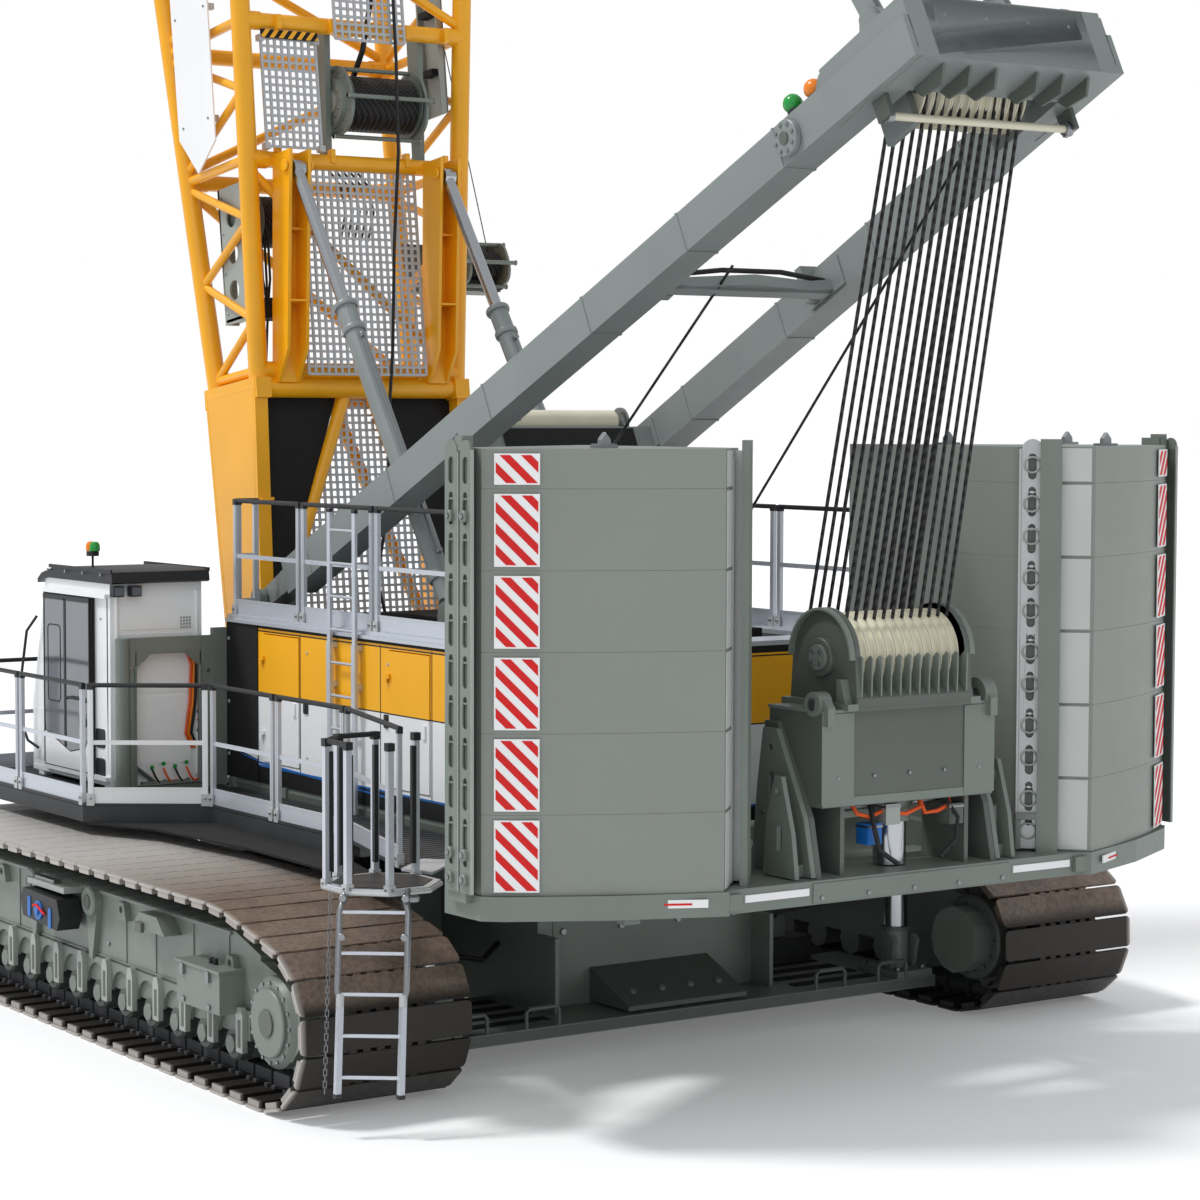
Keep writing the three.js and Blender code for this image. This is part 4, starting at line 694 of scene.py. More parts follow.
def shoe_outline(half, notch):
    """A shoe seen from outside: rounded ends, and short notches along both edges."""
    x = SHOE_HALF
    upper = []
    if notch:
        for i in range(-2, 3):
            for dx, depth in ((-0.055, 0), (-0.05, notch), (0.05, notch), (0.055, 0)):
                upper.append((i * 0.27 + dx, half - depth))
        lower = [(-px + 0.135, -py) for px, py in upper[4:]]
    else:
        lower = []
    corner = 0.035
    ends = [(x - corner, half), (x - 0.01, half - 0.012), (x, half - corner)]
    right = ends + [(px, -py) for px, py in reversed(ends)]
    left = [(-px, -py) for px, py in right]
    return upper + right + lower + left


def track_shoes(side):
    shape = Shape()
    path = track_path()
    length = sum((Vector(path[i]) - Vector(path[i - 1])).length for i in range(len(path)))
    pitch = length / SHOE_COUNT
    for index in range(SHOE_COUNT):
        start = along_path(path, index * pitch)
        middle = along_path(path, (index + 0.5) * pitch)
        end = along_path(path, (index + 1) * pitch)
        along = (end - start).normalized()
        inward = Vector((-along.y, along.x))
        centre = (start + end) / 2
        straight = abs(along.y) < 0.02
        level = straight and middle.y > 1
        gap = 0.006 if level else 0.014
        half = (end - start).length / 2 - gap

        def place(point):
            x, u, w = point
            spot = centre + along * u + inward * w
            return (side * TRACK_MIDDLE + x, spot.x, spot.y)

        def block(x, u, w, skin):
            shape.box(x, u, w, skin, place)

        shape.plate(shoe_outline(half, 0.014 if level else 0), (0.0, 0.026), "shoe", axis="z", place=place)
        block((-SHOE_HALF + 0.012, SHOE_HALF - 0.012), (-half * 0.66, half * 0.66), (0.024, 0.075), "shoe")
        block((-0.33, 0.33), (-half * 0.98, half * 0.98), (0.05, 0.168), "link")
        for x in (-0.3, -0.18, -0.06, 0.06, 0.18, 0.3):
            if not straight:
                shift = half if round(x * 100) % 4 == 2 else half - 0.03
                block(around(x, 0.035), (shift - 0.03, shift + 0.028), (0.012, 0.05), "shoe")
        for x in (-0.42, 0.42):
            for u in (-0.06, 0.06):
                block(around(x, 0.02), around(u, 0.025), (0.07, 0.1), "link")
    return shape


def side_frame_detail(side):
    """Plates, brackets and boxes on the outer face of a side frame."""
    shape = Shape()
    face = side * SIDE_FRAME_FACE

    def out(a, b):
        return (face + side * a, face + side * b) if side > 0 else (face - b, face - a)

    scallop = [(-3.35, 0.64)]
    for i in range(13):
        y = (i - 6) * 0.5
        scallop += reversed(half_circle(y, 0.4, 0.19, 8))
    scallop += [(3.35, 0.4), (3.35, 0.64)]
    scallop.insert(1, (-3.35, 0.4))
    shape.plate(scallop, out(0.0, 0.03), "grey")
    for i in range(13):
        y = (i - 6) * 0.5
        shape.disc((face - side * 0.2, y, 0.322), (side, 0, 0), 0.14, 0.2, "grey_dark", 24)
        shape.disc((face, y, 0.322), (side, 0, 0), 0.075, 0.03, "grey", 16)
    for i in range(14):
        y = (i - 6.5) * 0.5
        lug = [(y - 0.055, 0.3), (y + 0.055, 0.3), (y + 0.055, 0.6), (y + 0.03, 0.66), (y - 0.03, 0.66),
               (y - 0.055, 0.6)]
        # The lugs take the pale grey as a painted highlight on the bracket plates.
        shape.plate(lug, out(0.03, 0.075), "grey_pale")
        shape.plate(rect(around(y, 0.02), (0.34, 0.56)), out(0.075, 0.079), "grey_dark")
    for y in (-2.95, -2.32, -1.62, -1.05, 1.2, 1.9, 2.6):
        shape.box(out(0.0, 0.008), around(y, 0.006), (0.66, 1.21), "grey")
    shape.box(out(0.0, 0.02), (-3.0, 3.0), (1.195, 1.225), "grey")
    shape.box(out(0.0, 0.012), (-3.3, 3.3), (0.655, 0.668), "grey")
    middle = 0.17  # of the tool box between its arms
    for end in (-1, 1):
        y = middle + end * 0.62
        arm = [
            (y - 0.11, 1.12), (y + 0.11, 1.12), (y + 0.1, 1.0),
            (y - end * 0.02 + 0.03, 0.62), (y - end * 0.02 - 0.03, 0.62), (y - 0.1, 1.0),
        ]
        shape.plate(arm, out(0.0, 0.05), "grey")
        shape.disc((face, y, 1.12), (side, 0, 0), 0.13, 0.09, "grey", 24)
        shape.disc((face + side * 0.09, y, 1.12), (side, 0, 0), 0.06, 0.012, "grey_dark", 16)
    shape.box(out(0.02, 0.2), (middle - 0.38, middle + 0.4), (1.16, 1.21), "grey_pale")
    shape.box(out(0.1, 0.17), (middle - 0.1, middle + 0.3), (1.21, 1.24), "steel")
    box = [(middle - 0.36, 0.84), (middle + 0.36, 0.88), (middle + 0.42, 1.04), (middle + 0.36, 1.13),
           (middle - 0.36, 1.11), (middle - 0.42, 0.95)]
    shape.plate(box, out(0.05, 0.26), "plastic")
    for y, z, wide in ((middle + 0.22, 0.98, 0.03), (middle - 0.22, 0.93, 0.03)):
        shape.plate(rounded((y - wide, y + wide), around(z, 0.09), 0.02), out(0.26, 0.268), "blue")
    shape.plate(circle(middle + 0.02, 0.97, 0.085, 20), out(0.26, 0.272), "blue")
    shape.disc((face + side * 0.27, middle + 0.02, 0.97), (side, 0, 0), 0.04, 0.02, "blue", 12)
    shape.pipe([(face + side * 0.27, middle + 0.12, 1.0), (face + side * 0.285, middle + 0.02, 1.02),
                (face + side * 0.27, middle - 0.12, 0.95)], 0.011, "red")
    for y, z in ((-1.05, 1.13), (-3.05, 0.98), (1.5, 1.13), (3.05, 0.98)):
        ear = [(y - 0.1, z - 0.09), (y + 0.1, z - 0.09), (y + 0.05, z + 0.06), (y - 0.05, z + 0.06)]
        shape.plate(ear, out(0.0, 0.055), "grey", holes=[circle(y, z, 0.032, 12)])
    wedge = [(-2.1, 1.06), (-1.5, 1.06), (-1.62, 1.2), (-1.95, 1.2)]
    shape.plate(wedge, out(0.0, 0.16), "grey")
    shape.box(out(0.16, 0.19), (-1.72, -1.6), (1.04, 1.12), "grey_dark")
    for end in (1, -1):
        y = mirrored(end, 2.45, 3.2)
        shape.box(out(0.0, 0.22), y, (0.6, 0.93), "grey")
        shape.box(out(-0.01, 0.235), (y[0] - 0.015, y[1] + 0.015), (0.925, 0.95), "grey")
        for dy in (0.15, 0.6):
            shape.box(out(0.22, 0.245), (y[0] + dy, y[0] + dy + 0.05), (0.84, 0.93), "steel")
            shape.box(out(0.22, 0.235), (y[0] + dy, y[0] + dy + 0.05), (0.62, 0.66), "steel")
        for dy in (0.3, 0.37):
            shape.disc((face + side * 0.1, y[0] + dy, 0.95), (0, 0, 1), 0.022, 0.05, "plastic", 10)
        shape.disc((face - side * 0.05, end * COVER_Y, 0.66), (side, 0, 0), 0.36, 0.2, "grey", 40, 0.2)
        shape.disc((face + side * 0.15, end * COVER_Y, 0.66), (side, 0, 0), 0.27, 0.035, "grey", 40, 0.3)
        shape.disc((face + side * 0.18, end * COVER_Y, 0.66), (side, 0, 0), 0.11, 0.02, "grey_dark", 24)
        ring = [(face + side * 0.15, y, z) for y, z in circle(end * COVER_Y, 0.66, 0.31, 16)]
        shape.bolts(ring, (side, 0, 0), 0.016, "steel", 0.014)
    for y in (-2.7, -2.1, -0.7, 0.9, 2.2):
        shape.disc((face, y, 0.78), (side, 0, 0), 0.02, 0.015, "steel", 8)
    return shape


def end_wheel(side, end):
    """The toothed wheel seen between the track's runs."""
    shape = Shape()
    x = side * TRACK_MIDDLE
    teeth = 12
    tips = circle(end * END_WHEEL[0], 0.66, 0.468, teeth * 4)
    roots = circle(end * END_WHEEL[0], 0.66, 0.41, teeth * 4)
    rim = [tip if i % 4 in (0, 1) else root for i, (tip, root) in enumerate(zip(tips, roots))]
    hole = circle(end * END_WHEEL[0], 0.66, 0.14, 24)
    for a, b in ((0.345, 0.40), (-0.40, -0.345)):
        shape.plate(rim, (x + a, x + b), "grey_dark", holes=[hole])
    inner = x - side * 0.46
    shape.disc((inner, end * END_WHEEL[0], 0.66), (-side, 0, 0), 0.38, 0.14, "grey_dark", 32)
    shape.disc((inner - side * 0.14, end * END_WHEEL[0], 0.66), (-side, 0, 0), 0.24, 0.06, "grey", 32)
    ring = [(inner - side * 0.14, y, z) for y, z in circle(end * END_WHEEL[0], 0.66, 0.31, 14)]
    shape.bolts(ring, (-side, 0, 0), 0.02, "steel", 0.02)
    return shape


def walkway_detail(end):
    """Grip strips, handles, step plates and jacks on a walkway between the tracks."""
    shape = Shape()
    top = WALKWAY_TOP
    for side in (1, -1):
        for i in range(4):
            y = end * (2.62 + 0.28 * i)
            shape.box(mirrored(side, 1.3, 2.2), sorted((y, y + end * 0.11)), (top, top + 0.012), "black")
        for x in (1.35, 2.05):
            y = end * 3.78
            line = [(side * x, y, top), (side * x, y, top + 0.13), (side * (x + 0.03), y, top + 0.16)]
            line += [(side * (x + 0.29), y, top + 0.16), (side * (x + 0.32), y, top + 0.13),
                     (side * (x + 0.32), y, top)]
            shape.pipe(line, 0.018, "grey_dark", 8)
        x = side * 2.48
        shape.pipe([(x, end * 3.5, top), (x, end * 3.5, 0.72)], 0.118, "grey", 24)
        shape.pipe([(x, end * 3.5, 0.71), (x, end * 3.5, 1.118)], 0.1075, "chrome", 24)
        shape.lathe((x, end * 3.5, 0.7), (0, 0, 1), rect((0.11, 0.14), (0, 0.035)), "grey_dark", 24)
        foot = rect(around(x, 0.2), (end * 3.22, end * 3.78))
        shape.plate(foot if end > 0 else list(reversed(foot)), (top, top + 0.055), "grey", axis="z")
        for dx in (-0.14, 0.14):
            for dy in (-0.2, 0.2):
                shape.disc((x + dx, end * 3.5 + dy, top + 0.055), (0, 0, 1), 0.026, 0.03, "steel", 6)
        clamp = [(end * 3.6, top), (end * 3.66, 0.62), (end * 3.6, 0.66), (end * 3.5, top)]
        for dx in (-0.15, 0.11):
            shape.plate(clamp, (x + dx, x + dx + 0.04), "grey")
        shape.box(mirrored(side, 1.6, 2.15), mirrored(end, 2.42, 2.7), (top, 0.56), "plastic")
        shape.box(mirrored(side, 1.64, 1.9), mirrored(end, 2.42, 2.62), (0.56, 0.74), "grey_dark")
        shape.pipe([(side * 1.2, end * 2.6, 0.8), (side * 1.45, end * 2.75, 0.7),
                    (side * 1.8, end * 2.6, 0.76)], 0.024, "rubber")
    slope = [(end * 3.14, 0.62), (end * 3.74, 0.37), (end * 3.74, 0.33), (end * 3.14, 0.33)]
    shape.plate(slope, (-0.62, 0.62), "grey_dark")
    for x in (-0.45, -0.15, 0.15, 0.45):
        shape.disc((x, end * 3.55, 0.44), (0, end * 0.38, 0.92), 0.03, 0.035, "grey", 10)
    shape.box((-2.69, 2.69), mirrored(end, 3.79, 3.806), (0.22, 0.3), "grey_dark")
    for x in (-1.15, 1.11):
        shape.box((x, x + 0.04), mirrored(end, 3.15, 3.42), (top, 0.95), "grey")
    shape.box((-1.0, 1.0), mirrored(end, 3.15, 3.158), (0.72, 1.1), "grey")
    for x in (-0.9, -0.3, 0.3, 0.9):
        shape.disc((x, end * 3.158, 0.95), (0, end, 0), 0.03, 0.02, "steel", 8)
    return shape


def carbody_detail():
    """Bolted ring, stiffeners and pin bosses on the carbody."""
    shape = Shape()
    for x, y in circle(0, 0, 1.22, 48):
        shape.disc((x, y, 1.559), (0, 0, 1), 0.022, 0.016, "steel", 6)
    shape.lathe((0, 0, 1.4), (0, 0, 1), [(1.3, 0), (1.318, 0.02), (1.318, 0.1), (1.3, 0.12)], "grey_dark",
                64)
    for side in (1, -1):
        for end in (1, -1):
            y = end * 1.075
            shape.disc((side * 2.6, y, 1.19), (0, 0, 1), 0.11, 0.07, "grey", 24)
            shape.disc((side * 2.6, y, 1.25), (0, 0, 1), 0.05, 0.04, "steel", 16)
            for x in (1.6, 2.2):
                shape.box(mirrored(side, x, x + 0.03), mirrored(end, 1.5, 1.56), (0.56, 1.15), "grey")
    return shape


def build_undercarriage():
    for side, name in ((1, "right"), (-1, "left")):
        make(f"{name}_track_shoes", track_shoes(side), "undercarriage", 0.004,
             [f"{name}_track"])
        make(f"{name}_side_frame_fittings", side_frame_detail(side), "undercarriage", 0.005)
        wheels = end_wheel(side, 1)
        rear = end_wheel(side, -1)
        wheels.add(rear.points, rear.faces, "grey_dark")
        make(f"{name}_end_wheels", wheels, "undercarriage", 0.006)
    make("front_walkway_fittings", walkway_detail(1), "undercarriage", 0.004)
    make("rear_walkway_fittings", walkway_detail(-1), "undercarriage", 0.004)
    make("carbody_fittings", carbody_detail(), "undercarriage", 0.003)


build_undercarriage()


# ---------------------------------------------------------------- ballast
SLAB_NUMBERS = range(1, 7)
STACK_BASE = node_box("right_ballast_slab_1")[0].z
STACK_TOP = node_box("right_ballast_slab_6")[1].z
INNER_CHAMFER = ((1.38, -6.24), (1.83, -6.69))  # plan corners of a right slab
REAR_CURVE = ((1.83, -6.69), (2.75, -6.36), (3.4, -5.9))  # start, control point, end


def slab_plan():
    """A right slab seen from above, with its curved rear and rounded corners."""
    a, b, c = (Vector(p) for p in REAR_CURVE)
    curve = []
    steps = 14
    for i in range(steps + 1):
        t = i / steps
        curve.append((1 - t) ** 2 * a + 2 * t * (1 - t) * b + t * t * c)
    corner = [Vector((3.413, -5.872)), Vector((3.418, -5.83)), Vector((3.42, -5.78))]
    line = [Vector((1.38, -4.15)), Vector((1.38, -6.21)), Vector((1.39, -6.25))] + curve[:-1] + corner
    line.append(Vector((3.42, -5.45)))
    return [tuple(p) for p in line]


def ballast_slab(side, number):
    low, high = node_box(f"right_ballast_slab_{number}")
    shape = Shape()
    outline = [(side * x, y) for x, y in slab_plan()]
    shape.plate(outline, (low.z + 0.001, high.z), "ballast", axis="z")
    if number == SLAB_NUMBERS[-1]:
        for x, y in ((1.75, -5.0), (2.5, -6.1), (3.1, -5.0)):
            x *= side
            shape.box(around(x, 0.09), around(y, 0.05), (high.z - 0.002, high.z + 0.02), "steel")
            ear = [(x - 0.05, high.z), (x + 0.05, high.z), (x + 0.045, high.z + 0.06), (x, high.z + 0.11),
                   (x - 0.045, high.z + 0.06)]
            shape.plate(ear, around(y, 0.02), "steel", axis="y")
    return shape


def plan_spot(origin, toward, side):
    """Places (along a plan line, out from it, height) about the slew axis."""
    start, end = Vector(origin), Vector(toward)
    along = (end - start).normalized()
    out = Vector((along.y, -along.x))
    if out.y > 0.5:
        out = -out

    def spot(point):
        s, away, z = point
        place = start + along * s + out * away
        return (side * place.x, place.y, z)

    return spot


def hazard_panels(side):
    """Striped film near the outer corner of each slab."""
    shape = Shape(plan_spot((3.385, -5.915), (3.02, -6.165), side))
    width = (0.045, 0.375)
    for number in SLAB_NUMBERS:
        low, high = node_box(f"right_ballast_slab_{number}")
        z = (low.z + 0.03, high.z - 0.035)
        shape.box(width, (0.004, 0.014), z, "film_white")
        inner = (width[0] + 0.012, width[1] - 0.012)
        for band in stripes(inner, (z[0] + 0.012, z[1] - 0.012), 0.075, -1.0, 0.078):
            shape.plate(band, (0.013, 0.0165), "red", axis="y", whole=True)
    return shape


def rail_holes(bottom, top, slot_half, radius):
    """Slots and round holes by turns down a guide rail."""
    holes = []
    z = top - 0.22
    while z > bottom + 0.2:
        holes.append(slot_hole(0, z, slot_half, radius))
        holes.append(circle(0, z - slot_half - 0.12, radius * 0.86, 12))
        z -= 0.295
    return holes


def guide_rails(side):
    """Slotted rails that hold the slabs: two at the outer side, one on the inner chamfer."""
    bottom, top = STACK_BASE + 0.02, STACK_TOP + 0.062
    outer = Shape()
    x = side * 3.5
    for middle, wide in ((-5.635, 0.085), (-5.83, 0.07)):
        outline = [(middle - wide, bottom), (middle + wide, bottom)]
        outline += half_circle(middle, top - wide, wide, 8)
        holes = [[(middle + u, v) for u, v in hole] for hole in rail_holes(bottom, top, 0.065, 0.034)]
        outer.plate(outline, sorted((x + side * 0.012, x + side * 0.026)), "grey", holes=holes)
        outer.box(sorted((x, x + side * 0.008)), (middle - wide * 0.9, middle + wide * 0.9),
                  (bottom, top - 0.1), "grey_dark")
        outer.box(sorted((x, x + side * 0.024)), (middle - wide - 0.012, middle - wide + 0.002),
                  (bottom, top - wide), "grey_pale")
        for z in (bottom + 0.1, bottom + 0.28, top - 0.55):
            outer.disc((x + side * 0.02, middle, z), (side, 0, 0), 0.045, 0.035, "grey", 20)
            outer.disc((x + side * 0.055, middle, z), (side, 0, 0), 0.022, 0.012, "steel", 12)
    outer.box(mirrored(side, 3.425, 3.52), (-5.78, -5.68), (top - 0.08, top + 0.03), "grey")
    inner = Shape(plan_spot(*INNER_CHAMFER, side))
    middle = 0.14
    holes = [[(middle + u, v) for u, v in hole] for hole in rail_holes(bottom, top, 0.07, 0.032)]
    wide = 0.085
    outline = [(middle - wide, bottom), (middle + wide, bottom)]
    outline += half_circle(middle, top - wide, wide, 8)
    inner.plate(outline, (0.056, 0.072), "steel_pale", axis="y", holes=holes)
    inner.box((middle - wide, middle + wide), (0.04, 0.05), (bottom, top - 0.12), "grey_dark")
    inner.box((middle - wide - 0.02, middle - wide), (0.0, 0.074), (bottom, top - 0.08), "steel_pale")
    inner.box((middle + wide, middle + wide + 0.02), (0.0, 0.074), (bottom, top - 0.08), "steel_pale")
    inner.box((0.34, 0.355), (0.0, 0.02), (bottom, top - 0.12), "grey_pale")
    return outer, inner


def stack_channel(side):
    """The pale chamfer panel with its channel, round eyes and clamp fork."""
    shape = Shape(plan_spot(*INNER_CHAMFER, side))
    length = (Vector(INNER_CHAMFER[1]) - Vector(INNER_CHAMFER[0])).length
    for number in SLAB_NUMBERS:
        low, high = node_box(f"right_ballast_slab_{number}")
        shape.box((0.26, length - 0.03), (0.0, 0.008), (low.z + 0.012, high.z - 0.012), "ballast_pale")
        middle = (low.z + high.z) / 2
        for z_eye in around(middle, 0.13) if number < 6 else (middle,):
            ring = [(s, 0.078, z) for s, z in circle(0.14, z_eye, 0.062, 20)]
            shape.pipe(ring, 0.01, "grey_pale", 6, closed=True)
    base = STACK_BASE
    for s in (0.06, 0.22):
        shape.box(around(s, 0.02), (0.03, 0.12), (base + 0.02, base + 0.3), "grey")
    shape.box((0.04, 0.24), (0.04, 0.13), (base + 0.26, base + 0.31), "grey")
    return shape


def tray_trim():
    """White bands and red chevrons along the tray's rear edge, pads and lugs below."""
    shape = Shape()
    bottom, top = node_box("ballast_tray")[0].z, STACK_BASE
    for side in (1, -1):
        edge = plan_spot((3.41, -5.945), (1.86, -6.732), side)
        shape.box((0.1, 1.62), (0.0, 0.012), (top - 0.105, top - 0.045), "film_white", edge)
        for start in (0.12, 0.34, 0.56):
            chevron = [(start, top - 0.05), (start + 0.14, top - 0.05), (start + 0.26, top - 0.15),
                       (start + 0.12, top - 0.15)]
            skin = "film_white" if start == 0.34 else "red"
            shape.plate(chevron, (0.0, 0.015), skin, axis="y", place=edge, whole=True)
        thin = rect((0.75, 1.5), (top - 0.085, top - 0.07))
        shape.plate(thin, (0.012, 0.015), "red", axis="y", place=edge, whole=True)
        x = mirrored(side, 1.02, 1.62)
        shape.box(x, (-6.672, -6.66), (top - 0.105, top - 0.05), "film_white")
        shape.box(mirrored(side, 1.66, 1.8), (-6.7, -6.65), (bottom + 0.03, top - 0.03), "grey")
        for y in (-5.6, -4.7):
            shape.disc((side * 3.3, y, bottom - 0.03), (0, 0, 1), 0.06, 0.04, "steel", 16)
        for y in (-6.1, -5.2):
            shape.box(mirrored(side, 2.2, 2.34), around(y, 0.05), (bottom - 0.1, bottom + 0.01), "grey")
    shape.box((-0.98, 0.98), (-6.672, -6.66), (bottom + 0.015, top - 0.02), "grey")
    for x in (-0.9, -0.45, 0.0, 0.45, 0.9):
        shape.disc((x, -6.672, bottom + 0.05), (0, -1, 0), 0.018, 0.012, "steel", 8)
    return shape


# ---------------------------------------------------------------- tail block
TAIL_AXLE = (-6.26, 3.49)
TAIL_RADIUS = 0.34


def sheave_set(axle, radius, half, count, skin="nylon", sides=48):
    """A row of grooved rope sheaves on one hub."""
    shape = Shape()
    pitch = 2 * half / count
    y, z = axle
    for i in range(count):
        start = -half + i * pitch
        wide = pitch * 0.94
        groove = [(0.07, 0), (radius * 0.99, 0), (radius, pitch * 0.06), (radius, pitch * 0.16)]
        for k in range(7):
            turn = math.pi * k / 6
            groove.append((radius - pitch * 0.34 * math.sin(turn) - 0.004,
                           wide / 2 - (wide / 2 - pitch * 0.18) * math.cos(turn)))
        groove += [(radius, wide - pitch * 0.16), (radius, wide - pitch * 0.06), (radius * 0.99, wide),
                   (0.07, wide)]
        shape.lathe((start, y, z), (1, 0, 0), groove, skin, sides)
        for hole_y, hole_z in circle(y, z, radius * 0.62, 6):
            shape.disc((start - 0.002, hole_y, hole_z), (-1, 0, 0), radius * 0.14, 0.004, "grey_dark", 12)
    shape.lathe((-half, y, z), (1, 0, 0), rect((0.062, 0.115), (0, 2 * half)), "steel", 24)
    return shape


def luffing_block():
    """The tail block: cheeks with flanges, separator plates, eyes, ribs and hoses."""
    shape = Shape()
    y, z = TAIL_AXLE
    radius = TAIL_RADIUS + 0.04
    for side in (1, -1):
        x = side * 0.56
        arc = half_circle(y, z, radius, 24)
        cheek = arc + [(-6.67, 3.12), (-5.85, 3.12)]
        shape.plate(cheek, sorted((x - side * 0.04, x + side * 0.012)), "grey_dark")
        for i in range(24):
            a, b = arc[i], arc[i + 1]
            inner_a = (y + (a[0] - y) * 0.95, z + (a[1] - z) * 0.95)
            inner_b = (y + (b[0] - y) * 0.95, z + (b[1] - z) * 0.95)
            shape.plate([a, b, inner_b, inner_a], sorted((x, x + side * 0.06)), "grey")
        shape.disc((x + side * 0.012, y, z), (side, 0, 0), 0.15, 0.05, "grey_dark", 32)
        shape.disc((x + side * 0.06, y, z), (side, 0, 0), 0.1, 0.02, "grey", 32)
        bolts = [(x + side * 0.08, bolt_y, bolt_z) for bolt_y, bolt_z in circle(y, z, 0.06, 4, 0.78)]
        shape.bolts(bolts, (side, 0, 0), 0.018, "steel", 0.014)
        shape.box(sorted((x, x + side * 0.1)), (-6.67, -5.85), (3.11, 3.16), "grey")
        shape.plate([(-6.62, 3.12), (-6.5, 3.12), (-6.5, 3.34), (-6.55, 3.34)],
                    sorted((x, x + side * 0.08)), "grey")
    for i in range(12):
        x = -0.52 + 1.04 * i / 11
        fin = [(-6.66, 3.13), (-6.3, 3.13), (-6.3, 3.2), (-6.64, 3.52), (-6.67, 3.5)]
        shape.plate(fin, around(x, 0.007), "grey")
    slope = [(-6.668, 3.13), (-6.668, 3.2), (-6.56, 3.3), (-6.5, 3.3), (-6.5, 3.13)]
    shape.plate(slope, (-0.56, 0.56), "grey_dark")
    for side in (1, -1):
        big = 0.13 if side > 0 else 0.095
        x = side * 0.81
        shape.plate(
            [(-6.66, 3.0), (-6.66, 3.14), (-6.6, 3.2), (-6.4, 3.2), (-6.34, 3.11), (-6.34, 3.0)],
            around(x, 0.035), "grey",
        )
        shape.lathe((x - 0.06, -6.5, 3.16), (1, 0, 0), rect((0.05, big), (0, 0.12)), "grey", 28)
        shape.disc((x + side * 0.06, -6.5, 3.16), (side, 0, 0), 0.049, 0.01, "steel", 20)
        plate = [(-6.61, 2.4), (-6.61, 3.09), (-6.603, 3.09), (-6.603, 2.4)]
        shape.plate(plate, mirrored(side, 0.55, 0.86), "grey")
        rib = [(-6.6, 1.86), (-5.85, 1.86), (-5.92, 2.5), (-5.99, 2.95), (-6.16, 2.95), (-6.5, 2.3)]
        holes = [slot_hole(-6.2, 2.12, 0.05, 0.035), slot_hole(-6.1, 2.5, 0.09, 0.03),
                 circle(-6.08, 2.8, 0.03, 12)]
        shape.plate(rib, mirrored(side, 0.9, 0.945), "grey", holes=holes)
        outer = [(-6.6, 1.86), (-6.2, 1.86), (-6.24, 2.3), (-6.34, 2.62), (-6.42, 2.62), (-6.55, 2.2)]
        shape.plate(outer, mirrored(side, 1.06, 1.1), "grey",
                    holes=[circle(-6.38, 2.5, 0.035, 12), slot_hole(-6.4, 2.15, 0.08, 0.03)])
        shape.box(mirrored(side, 0.945, 1.06), (-6.5, -6.25), (1.86, 1.95), "grey")
        for py, pz in ((-6.4, 1.98), (-6.1, 1.98), (-6.0, 2.3)):
            shape.disc((side * 0.945, py, pz), (side, 0, 0), 0.02, 0.014, "steel", 8)
    shape.box((-0.845, 0.845), (-6.606, -6.6), (2.385, 2.45), "grey")
    shape.box((-0.86, 0.86), (-6.61, -5.94), (3.095, 3.118), "grey")
    for x in (-0.7, -0.35, 0.0, 0.35, 0.7):
        shape.disc((x, -6.606, 2.6), (0, -1, 0), 0.014, 0.01, "steel", 8)
    shape.pipe([(-0.5, -6.3, 2.39), (-0.5, -6.34, 2.33), (0.1, -6.4, 2.33), (0.62, -6.36, 2.35),
                (0.64, -6.3, 2.39)], 0.022, "steel")
    for k, (x0, x1) in enumerate(((-0.46, -0.16), (-0.1, 0.2), (0.22, 0.5))):
        line = [(x0, -6.45, 2.4), (x0 + 0.03, -6.5, 2.3 - 0.02 * k), (x0 + 0.14, -6.52, 2.27),
                (x1, -6.5, 2.31), (x1 + 0.03, -6.44, 2.4)]
        shape.pipe(line, 0.017, "orange", 8)
    shape.pipe([(-0.3, -6.5, 2.36), (-0.34, -6.6, 2.2), (-0.3, -6.62, 2.02), (-0.1, -6.6, 1.9)], 0.02,
               "rubber", 8)
    shape.pipe([(0.44, -6.5, 2.38), (0.5, -6.6, 2.22), (0.46, -6.62, 2.05), (0.3, -6.62, 1.93)], 0.016,
               "rubber", 8)
    for x, z_low, skin in ((-0.12, 2.2, "grey_pale"), (0.52, 2.16, "grey_dark"), (-0.3, 2.06, "blue")):
        shape.box(around(x, 0.07), (-6.56, -6.42), (z_low, z_low + 0.16), skin)
        shape.box(around(x, 0.075), (-6.565, -6.415), (z_low + 0.13, z_low + 0.145), "steel")
    shape.pipe([(0.06, -6.3, 1.86), (0.06, -6.3, 2.39)], 0.13, "chrome", 28)
    shape.pipe([(0.06, -6.3, 2.2), (0.06, -6.3, 2.39)], 0.16, "grey", 28)
    return shape


def build_tail():
    for side, name in ((1, "right"), (-1, "left")):
        for number in SLAB_NUMBERS:
            node = f"{name}_ballast_slab_{number}"
            make(f"{node}_body", ballast_slab(side, number), "upperworks", 0.012, [node])
        make(f"{name}_hazard_panels", hazard_panels(side), "upperworks")
        outer, inner = guide_rails(side)
        make(f"{name}_outer_guide_rails", outer, "upperworks", 0.003)
        make(f"{name}_inner_guide_rail", inner, "upperworks", 0.003)
        make(f"{name}_stack_channel", stack_channel(side), "upperworks", 0.003)
    make("tray_trim", tray_trim(), "upperworks", 0.002)
    make("luffing_block_fittings", luffing_block(), "upperworks", 0.004)
    half = node_box("tail_sheaves")[1].x
    make("tail_sheave_set", sheave_set(TAIL_AXLE, TAIL_RADIUS, half, 11), "tail_block_sheaves",
         0,
         ["tail_sheaves"])


build_tail()


